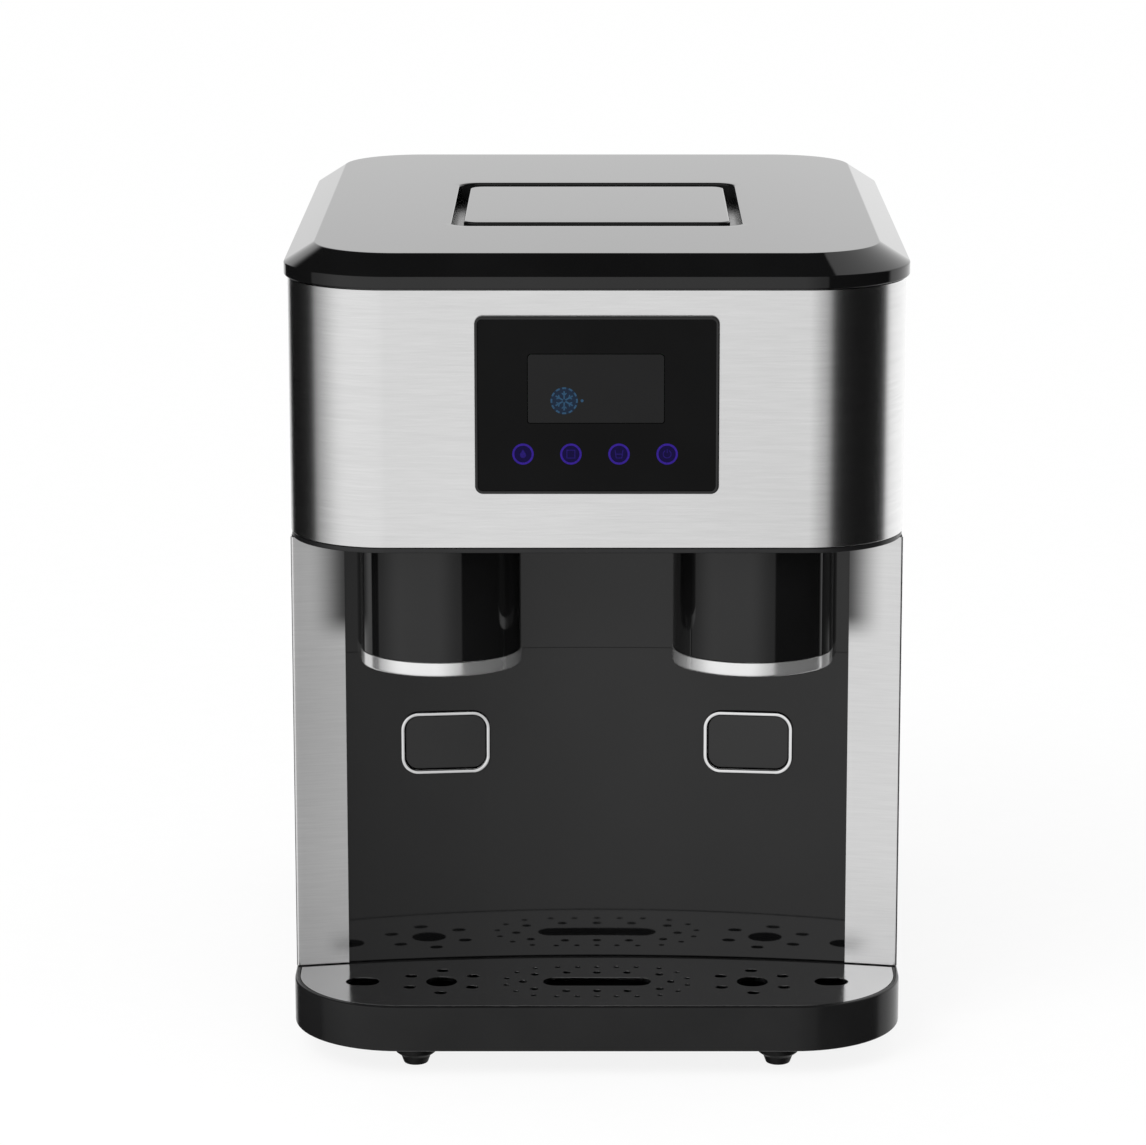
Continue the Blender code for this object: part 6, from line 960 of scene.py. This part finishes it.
def make_outlets():
    for side, sign in SIDES:
        path = shroud_path(sign * SHROUD_X)
        section = sheet_section(SHROUD_LOW.z, SHROUD_HIGH.z, SHROUD_WALL, SHROUD_EDGE)
        shroud = sweep(f"shroud_{side}", path, section)
        dress(shroud, "black_gloss", f"outlet_shroud_{side}")
        section = rounded(0, COLLAR_WALL, COLLAR_LOW.z, COLLAR_HIGH.z, COLLAR_EDGE, SHROUD_EDGE, steps=5)
        collar = sweep(f"collar_{side}", path, section)
        dress(collar, "satin_metal", f"outlet_collar_{side}", slot="chrome")


# Top cover with the hatch's recess, and the hatch
COVER_CORNER = 0.0586
COVER_LIP = 0.0071
COVER_CHAMFER = 0.0131
COVER_SIDE_EXTRA = 0.0035
COVER_WALL = 0.0032
COVER_ROUNDING = 0.0012
COVER_TOP_INSET = 0.022
COVER_UNDER_STEP = 0.001
COVER_TOP = COVER_HIGH.z
COVER_LIP_TOP = COVER_LOW.z + COVER_LIP
# Half width, front and rear setback, and corner radius of each opening and of the lid
HATCHWAY = (0.0795, 0.1100, 0.2826, 0.011)
HATCHWAY_DEPTH = 0.0090
HATCHWAY_FLOOR = COVER_TOP - HATCHWAY_DEPTH
HATCHWAY_WALL = 0.0022
HATCHWAY_RIM = 0.0012
HATCHWAY_RIM_REACH = 0.006
THROAT = (0.0640, 0.1290, 0.2600, 0.010)
THROAT_RIM = 0.0005
THROAT_RIM_REACH = 0.004
HATCH = (0.0732, 0.1228, 0.2680, 0.008)
HATCH_WALL = 0.0022
HATCH_BEVEL = 0.0012
HINGE_SETBACK = 0.2735
HINGE_HEIGHT = COVER_TOP - 0.0045
PIN_RADIUS = 0.0015
PIN_HALF_LENGTH = 0.0700
PIN_ROUNDING = 0.0004
KNUCKLE_RADIUS = 0.0034
KNUCKLE_X = 0.0560
EAR_X = 0.0660
EAR_HALF_LENGTH = 0.0040


def cover_loop(inset):
    """The cover's outline drawn in by an inset, up to the chamfer's width further at the sides."""
    left, right, front = COVER_LOW.x + inset, COVER_HIGH.x - inset, COVER_LOW.y + inset
    rear = COVER_HIGH.y - inset
    loop = rounded(left, right, front, rear, COVER_CORNER - inset)
    narrowed = 1 - COVER_SIDE_EXTRA * min(1, inset / COVER_CHAMFER) / (COVER_HIGH.x - inset)
    return [(x * narrowed, y) for x, y in loop]


def opening_loop(sizes, grow):
    half_x, front, rear, corner = sizes
    corner = max(LEAST_CORNER, corner + grow)
    return rounded(-half_x - grow, half_x + grow, behind(front) - grow, behind(rear) + grow, corner)


def line_hatchway(shell):
    """Gives the hatchway's walls and floor a matt face."""
    half_x, front, rear, _ = HATCHWAY
    shell.data.materials.append(FINISHES["base_plastic"])
    for face in shell.data.polygons:
        x, y, z = face.center
        inside = abs(x) < half_x + SEAT and behind(front) - SEAT < y < behind(rear) + SEAT
        if inside and z < COVER_TOP - HATCHWAY_RIM:
            face.material_index = 1


def add_lug(name, outline, x, body="cabinet"):
    """A lug bored for the hinge's pin."""
    bore = circle((behind(HINGE_SETBACK), HINGE_HEIGHT), PIN_RADIUS + SEAT, 20)
    lug = slab(name, [outline, bore], x - EAR_HALF_LENGTH, x + EAR_HALF_LENGTH, SMALL_EDGE, "X")
    dress(lug, "black_gloss", body=body)


def make_top_cover():
    base, lip, top = COVER_LOW.z, COVER_LIP_TOP, COVER_TOP
    outer = [(COVER_WALL, base), (0, base), (0, lip), (COVER_CHAMFER, top), (COVER_TOP_INSET, top)]
    rings = [at_height(cover_loop(inset), z) for inset, z in round_corners(outer, COVER_ROUNDING, 4)]
    floor_low = HATCHWAY_FLOOR - HATCHWAY_WALL
    rim = [(HATCHWAY_RIM_REACH, top), (0, top), (0, HATCHWAY_FLOOR)]
    rings += [at_height(opening_loop(HATCHWAY, grow), z) for grow, z in round_corners(rim, HATCHWAY_RIM)]
    rim = [(THROAT_RIM_REACH, HATCHWAY_FLOOR), (0, HATCHWAY_FLOOR), (0, floor_low)]
    rings += [at_height(opening_loop(THROAT, grow), z) for grow, z in round_corners(rim, THROAT_RIM)]
    under = top - COVER_WALL
    rings += [at_height(opening_loop(HATCHWAY, HATCHWAY_WALL), z) for z in (floor_low, under)]
    rings.append(at_height(cover_loop(COVER_CHAMFER + COVER_UNDER_STEP), under))
    rings.append(at_height(cover_loop(COVER_WALL), lip - COVER_UNDER_STEP))
    shell = dress(skin("cover_shell", rings, closed=True), "black_gloss", "top_cover")
    line_hatchway(shell)
    y, foot = behind(HINGE_SETBACK), HATCHWAY_FLOOR - HATCHWAY_WALL / 2
    head = HINGE_HEIGHT + PIN_RADIUS + HATCHWAY_WALL / 2
    for side, sign in SIDES:
        outline = [(y - KNUCKLE_RADIUS, foot), (y + KNUCKLE_RADIUS, foot)]
        outline += arc((y, head - KNUCKLE_RADIUS), KNUCKLE_RADIUS, 0, 180, 12)
        add_lug(f"hinge_ear_{side}", outline, sign * EAR_X)


def make_hatch():
    low, top = HATCH_LOW.z, COVER_TOP
    under = top - HATCH_WALL
    line = [(CAP_INSET, top), (0, top), (0, low), (HATCH_WALL, low), (HATCH_WALL, under), (CAP_INSET, under)]
    rings = [at_height(opening_loop(HATCH, -inset), z) for inset, z in round_corners(line, HATCH_BEVEL, 4)]
    dress(skin("hatch_lid", rings), "black_gloss", "hatch", body="hatch")
    y = behind(HINGE_SETBACK)
    web_start = behind(HATCH[2]) - HATCH_WALL / 2
    for side, sign in SIDES:
        outline = arc((y, HINGE_HEIGHT), KNUCKLE_RADIUS, -120, 90, 18)
        outline += [(web_start, HINGE_HEIGHT + KNUCKLE_RADIUS), (web_start, HINGE_HEIGHT - PIN_RADIUS)]
        add_lug(f"hatch_knuckle_{side}", outline, sign * KNUCKLE_X, "hatch")
    half = PIN_HALF_LENGTH
    line = [(0, -half), (PIN_RADIUS, -half), (PIN_RADIUS, half), (0, half)]
    pin = turned("hinge_pin", round_corners(line, PIN_ROUNDING), 24)
    moved(pin, Matrix.Rotation(QUARTER_TURN, 4, "Y"))
    dress(shifted(pin, 0, y, HINGE_HEIGHT), "nickel", "hatch_pin")


# Control panel with its lit marks
PANEL_CORNER = 0.0043
PANEL_FRAME = 0.0019
FACE_Y = PANEL_LOW.y
FILM_DEPTH = 0.0003
PANEL_DEPTH = 0.002
FRAME_EDGE = 0.0006
GLASS_DEPTH = 0.0011
DISPLAY_CORNER = 0.0012
DISPLAY_TOP_CORNER = 0.0022
TOUCH_X = (-0.0389, -0.0137, 0.0116, 0.0369)
TOUCH_HEIGHT = 0.3353
TOUCH_RADIUS = 0.0051
TOUCH_LINE = 0.0011
MARK_LIFT = 0.00006
GLOW_LIFT = MARK_LIFT * 0.6
TWIG_LIFT = MARK_LIFT * 1.2
LIFT_STEP = 0.2
SIGN_LINE = 0.00042
SIGN_SIZE = 0.0021
FLAKE_CENTRE = (-0.0172, 0.3638)
FLAKE_RADIUS = 0.0072
FLAKE_LINE = 0.0008
FLAKE_DASHES = 12
FLAKE_DASH_HALF_DEG = 9
FLAKE_ARMS = 6
FLAKE_TIP = 0.72
FLAKE_FORK = 0.40
FLAKE_TWIG = 0.24
FLAKE_RING = 0.93
FLAKE_DOT_X = 0.0094
FLAKE_DOT_RADIUS = 0.0008


def panel_loop(inset):
    corner = max(DISPLAY_CORNER, PANEL_CORNER - inset)
    return upright_loop(PANEL_LOW, PANEL_HIGH, inset, corner, steps=10)


def display_loop(grow):
    return upright_loop(DISPLAY_LOW, DISPLAY_HIGH, -grow, DISPLAY_CORNER, DISPLAY_TOP_CORNER, 6)


def make_control_panel():
    back, face = FACE_Y + PANEL_DEPTH, FACE_Y + FILM_DEPTH
    ring = slab("panel_frame", [panel_loop(0), panel_loop(PANEL_FRAME)], FACE_Y, back, FRAME_EDGE, "Y")
    dress(ring, "black_gloss", "control_panel")
    loops = [panel_loop(PANEL_FRAME - FINE_EDGE), display_loop(FINE_EDGE)]
    film = slab("panel_film", loops, face, back, FINE_EDGE, "Y")
    dress(film, "panel_film", "control_panel", slot="black_gloss")
    window = slab("display_glass", [display_loop(0)], face, FACE_Y + GLASS_DEPTH, FINE_EDGE, "Y")
    dress(window, "window", "display_window")


def mark(name, loops, finish, lift=MARK_LIFT):
    """A lit mark just proud of the film."""
    face = FACE_Y + FILM_DEPTH
    piece = slab(name, loops, face - lift, face + lift, 0.0, "Y")
    return dress(piece, finish, slot="window")


def bar(start, end, width):
    """A straight stroke with square ends."""
    start, end = Vector(start), Vector(end)
    side = (end - start).normalized().orthogonal() * (width / 2)
    return [tuple(start - side), tuple(end - side), tuple(end + side), tuple(start + side)]


def stroke_arc(centre, radius, start_deg, end_deg, width, steps=16):
    outer = arc(centre, radius + width / 2, start_deg, end_deg, steps)
    inner = arc(centre, radius - width / 2, end_deg, start_deg, steps)
    return outer + inner


def touch_symbols(centre):
    """Generic signs for the four keys: a drop, an ice cube, a cup and a power sign."""
    x, z = centre
    line, size = SIGN_LINE, SIGN_SIZE
    drop = [(x, z + 1.2 * size)] + arc((x, z - 0.25 * size), 0.75 * size, 30, -210, 14)
    end = 1 + line / size / 2
    cube = [((-1, -1), (1, -1)), ((-1, 1), (1, 1)), ((-1, -end), (-1, end)), ((1, -end), (1, end))]
    cup = [((-1, 1), (-0.7, -1)), ((1, 1), (0.7, -1)), ((-0.7, -1), (0.7, -1)), ((-0.8, 0), (0.8, 0))]
    stem = [((0, 0.3), (0, 1.3))]
    bars = [
        [bar(*((x + u * size, z + v * size) for u, v in ends), line) for ends in strokes]
        for strokes in (cube, cup, stem)
    ]
    return [drop], bars[0], bars[1], [stroke_arc((x, z), size, -240, 60, line), *bars[2]]


def make_touch_keys():
    for number, x in enumerate(TOUCH_X):
        centre = (x, TOUCH_HEIGHT)
        outer = circle(centre, TOUCH_RADIUS + TOUCH_LINE / 2, 40)
        inner = circle(centre, TOUCH_RADIUS - TOUCH_LINE / 2, 40)
        mark(f"touch_glow_{number}", [inner], "touch_glow", GLOW_LIFT)
        mark(f"touch_ring_{number}", [outer, inner], "touch_light")
        for part, loop in enumerate(touch_symbols(centre)[number]):
            mark(f"touch_sign_{number}_{part}", [loop], "sign_light", MARK_LIFT * (1 + LIFT_STEP * part))


def make_snowflake():
    """A six-armed flake in a broken ring, with a dot beside it."""
    x, z = FLAKE_CENTRE
    line = FLAKE_LINE
    for number in range(FLAKE_ARMS):
        angle = math.radians(90 + 360 * number / FLAKE_ARMS)
        out = Vector((math.cos(angle), math.sin(angle)))
        side = Vector((-out.y, out.x))
        centre = Vector((x, z))
        tip = centre + out * FLAKE_RADIUS * FLAKE_TIP
        mark(f"flake_arm_{number}", [bar(centre + out * line, tip, line)], "icon_light")
        fork = centre + out * FLAKE_RADIUS * FLAKE_FORK
        for twig, way in (("a", -1), ("b", 1)):
            end = fork + (out + side * way).normalized() * FLAKE_RADIUS * FLAKE_TWIG
            mark(f"flake_twig_{number}_{twig}", [bar(fork, end, line * 0.8)], "icon_light", TWIG_LIFT)
    for number in range(FLAKE_DASHES):
        middle = 90 + 360 * number / FLAKE_DASHES
        start, end = middle - FLAKE_DASH_HALF_DEG, middle + FLAKE_DASH_HALF_DEG
        dash = stroke_arc((x, z), FLAKE_RADIUS * FLAKE_RING, start, end, line * 1.2, 6)
        mark(f"flake_dash_{number}", [dash], "icon_light")
    mark("flake_glow", [circle((x, z), FLAKE_RADIUS, 40)], "icon_glow", GLOW_LIFT)
    mark("flake_dot", [circle((x + FLAKE_DOT_X, z), FLAKE_DOT_RADIUS, 16)], "icon_light")


# Rear panel with its vents and screws, and the power inlet
VENT_COLUMNS_X = (0.0225, 0.0765)
VENT_ROWS = 8
VENT_LOW = 0.052
VENT_PITCH = 0.014
VENT_HALF = (0.0215, 0.0021)
INLET_LOW, INLET_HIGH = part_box("power_inlet")
INLET_FLANGE = 0.0035
INLET_CORNER = 0.004
SCREW_RADIUS = 0.0032
SCREW_RISE = 0.0012
SCREW_INSET = 0.0075
SCREW_SINK = 0.0004
SCREW_SIDE = SCREW_RISE * 0.45
SCREW_ROUNDING = 0.0006
CROSS_HALF = SCREW_RADIUS * 0.58
CROSS_WIDTH = 0.00045
CROSS_DEPTH = SCREW_RISE * 0.55


def make_rear_panel():
    (left, _, low), (right, _, high) = REAR_LOW, REAR_HIGH
    loops = [[(left, low), (right, low), (right, high), (left, high)]]
    loops.append(upright_loop(INLET_LOW, INLET_HIGH, INLET_FLANGE - SEAT, INLET_CORNER, steps=6))
    for x in VENT_COLUMNS_X:
        for row in range(VENT_ROWS):
            loops.append(slot_loop((x, VENT_LOW + row * VENT_PITCH), *VENT_HALF, 6))
    panel = slab("rear_sheet", loops, REAR_LOW.y, REAR_HIGH.y, SMALL_EDGE, "Y", rounding=1)
    dress(panel, "black_plastic", "rear_panel")
    heights = (low + SCREW_INSET, (low + high) / 2, high - SCREW_INSET)
    spots = [(x, HEAD_REAR, z) for x in (left + SCREW_INSET, right - SCREW_INSET) for z in heights]
    for number, spot in enumerate(spots):
        make_screw(f"rear_screw_{number}", spot)


def make_screw(name, spot):
    """A small pan head with a cross recess, facing the rear."""
    line = [(0, -SCREW_SINK), (SCREW_RADIUS, -SCREW_SINK), (SCREW_RADIUS, SCREW_SIDE), (0, SCREW_RISE)]
    head = turned(name, round_corners(line, SCREW_ROUNDING, 4), 32)
    half, width, depth = CROSS_HALF, CROSS_WIDTH, CROSS_DEPTH
    across = [(-half, -width), (half, -width), (half, width), (-half, width)]
    upright = [(x, y) for y, x in across]
    tools = [prism(name + "_cut_a", across, SCREW_RISE - depth, SCREW_RISE + depth)]
    tools.append(prism(name + "_cut_b", upright[::-1], SCREW_RISE - depth, SCREW_RISE + depth))
    combine(head, tools)
    moved(head, Matrix.Translation(spot) @ Matrix.Rotation(-QUARTER_TURN, 4, "X"))
    dress(head, "nickel")


# Every other solid keeps its mesh
def finish_inner_nodes():
    for entry in frame["record"]["subparts"]:
        piece = NODES[entry["node"]]
        if piece.hide_render:
            continue
        piece.data.materials.clear()
        piece.data.materials.append(FINISHES[entry["material_slot"]])
        piece.data.shade_smooth()
        piece.data.set_sharp_from_angle(angle=SMOOTH_ANGLE)


# Studio: a white room whose reflections darken to each side and overhead
CAMERA_SPOT = (0, -2.5280, 0.7947)
CAMERA_TILT_DEG = 77.353
CAMERA_LENS = 141.70
CAMERA_SHIFT = (-0.0209, -0.0014)
DIFFUSE_LEVEL = 0.88
BACK_LEVEL = 1.07
DARK_LEVEL = 0.006
OVERHEAD_LEVEL = 0.008
RIGHT_DARK_DEG = (26, 29, 102, 110)
LEFT_DARK_DEG = (-158, -151, -95, -91)
# A glow from the right and a dimming to each side: limits of azimuth in degrees, and a level
BRIGHT_ZONES = (
    ((105, 140, 172, 179), 1.12),
    ((-6, 27, 56, 84), 0.50),
    ((-178, -120, -96, -50), 0.37),
)
OVERHEAD_SINES = (0.42, 0.75)
LOW_LEVEL = 0.78
LOW_SINES = (-0.30, -0.235)
SOFTBOX_SINES = (0.275, 0.30)


def between(tree, value, limits):
    """One from the second to the third limit, falling softly to nought at the outer ones."""
    rise = ranged(tree, value, 0, 1, limits[0], limits[1], "SMOOTHSTEP")
    fall = ranged(tree, value, 1, 0, limits[2], limits[3], "SMOOTHSTEP")
    return multiplied(tree, rise, fall)


def make_world():
    world = bpy.data.worlds.new("studio")
    bpy.context.scene.world = world
    world.use_nodes = True
    world.cycles.sampling_method = "NONE"
    tree = world.node_tree
    way = node(tree, "TexCoord").outputs["Generated"]
    parts = node(tree, "SeparateXYZ", {0: way}).outputs
    turn = maths(tree, "ARCTAN2", parts["X"], multiplied(tree, parts["Y"], -1.0))
    degrees = multiplied(tree, turn, 180 / math.pi)
    bright = ranged(tree, parts["Y"], 1, BACK_LEVEL, 0, 1)
    bright = multiplied(tree, bright, ranged(tree, parts["Z"], LOW_LEVEL, 1, *LOW_SINES))
    for limits, share in BRIGHT_ZONES:
        bright = multiplied(tree, bright, ranged(tree, between(tree, degrees, limits), 1, share, 0, 1))
    dark = maths(tree, "ADD", between(tree, degrees, RIGHT_DARK_DEG), between(tree, degrees, LEFT_DARK_DEG))
    level = mixed(tree, dark, grey(tree, bright), shade(WHITE, DARK_LEVEL))
    high = ranged(tree, parts["Z"], 0, 1, *OVERHEAD_SINES, "SMOOTHSTEP")
    rear_right = ranged(tree, parts["X"], 1, 0, *SOFTBOX_SINES, "SMOOTHSTEP")
    shut = maths(tree, "MAXIMUM", rear_right, maths(tree, "LESS_THAN", parts["Y"]))
    level = mixed(tree, multiplied(tree, high, shut), level, shade(WHITE, OVERHEAD_LEVEL))
    path = node(tree, "LightPath").outputs
    level = mixed(tree, path["Is Diffuse Ray"], level, shade(WHITE, DIFFUSE_LEVEL))
    seen = maths(tree, "MAXIMUM", path["Is Camera Ray"], path["Is Transmission Ray"])
    level = mixed(tree, seen, level, shade(WHITE, 1))
    tree.links.new(level, tree.nodes["Background"].inputs["Color"])


FLOOR_RADIUS = 6.0
FLOOR_FADE = (0.30, 0.75)
FLOOR_SHADOW_SHARE = 0.13
FLOOR_GRAIN_SCALE = 60
FLOOR_GRAIN_LEVEL = 0.995
FLOOR_LEVEL = 0.97


def make_floor():
    shape = bmesh.new()
    bmesh.ops.create_circle(shape, cap_ends=True, segments=96, radius=FLOOR_RADIUS)
    floor = object_from("floor", shape)
    made, tree, _, place = new_material("floor")
    tree.nodes.remove(tree.nodes["Principled BSDF"])
    grain = ranged(tree, noise(tree, place, FLOOR_GRAIN_SCALE), FLOOR_GRAIN_LEVEL, 1.0)
    matt = node(tree, "BsdfDiffuse", {"Color": shade(WHITE, FLOOR_LEVEL)}).outputs[0]
    white = node(tree, "Emission", {"Color": grey(tree, grain)}).outputs[0]
    distance = node(tree, "VectorMath", {0: place}, operation="LENGTH").outputs["Value"]
    share = ranged(tree, distance, 1 - FLOOR_SHADOW_SHARE, 1, *FLOOR_FADE, "SMOOTHSTEP")
    camera = node(tree, "LightPath").outputs["Is Camera Ray"]
    both = node(tree, "MixShader", {0: multiplied(tree, share, camera), 1: matt, 2: white}).outputs[0]
    tree.links.new(both, tree.nodes["Material Output"].inputs["Surface"])
    floor.data.materials.append(made)
    floor.visible_glossy = False


KEY_SPOT = (-1.1, -1.6, 1.9)
KEY_SIZE = 1.4
KEY_TARGET = (0, 0, 0.2)
KEY_WATTS = 30


def make_key_light():
    lamp = bpy.data.lights.new("key", "AREA")
    lamp.size = KEY_SIZE
    lamp.energy = KEY_WATTS
    key = object_of("key", lamp)
    key.location = KEY_SPOT
    key.rotation_euler = (Vector(KEY_TARGET) - Vector(KEY_SPOT)).to_track_quat("-Z", "Y").to_euler()
    key.visible_glossy = False


def make_camera():
    camera = object_of("camera", bpy.data.cameras.new("camera"))
    camera.location = CAMERA_SPOT
    camera.rotation_euler = (math.radians(CAMERA_TILT_DEG), 0, 0)
    camera.data.lens = CAMERA_LENS
    camera.data.shift_x, camera.data.shift_y = CAMERA_SHIFT
    bpy.context.scene.camera = camera


make_base()
make_feet()
make_drain()
make_tray_and_grille()
make_sides()
make_splash_panel()
make_pads()
make_head_band()
make_deck()
make_outlets()
make_top_cover()
make_hatch()
make_control_panel()
make_touch_keys()
make_snowflake()
make_rear_panel()
finish_inner_nodes()
make_world()
make_floor()
make_key_light()
make_camera()
bpy.context.scene.view_settings.view_transform = "Standard"
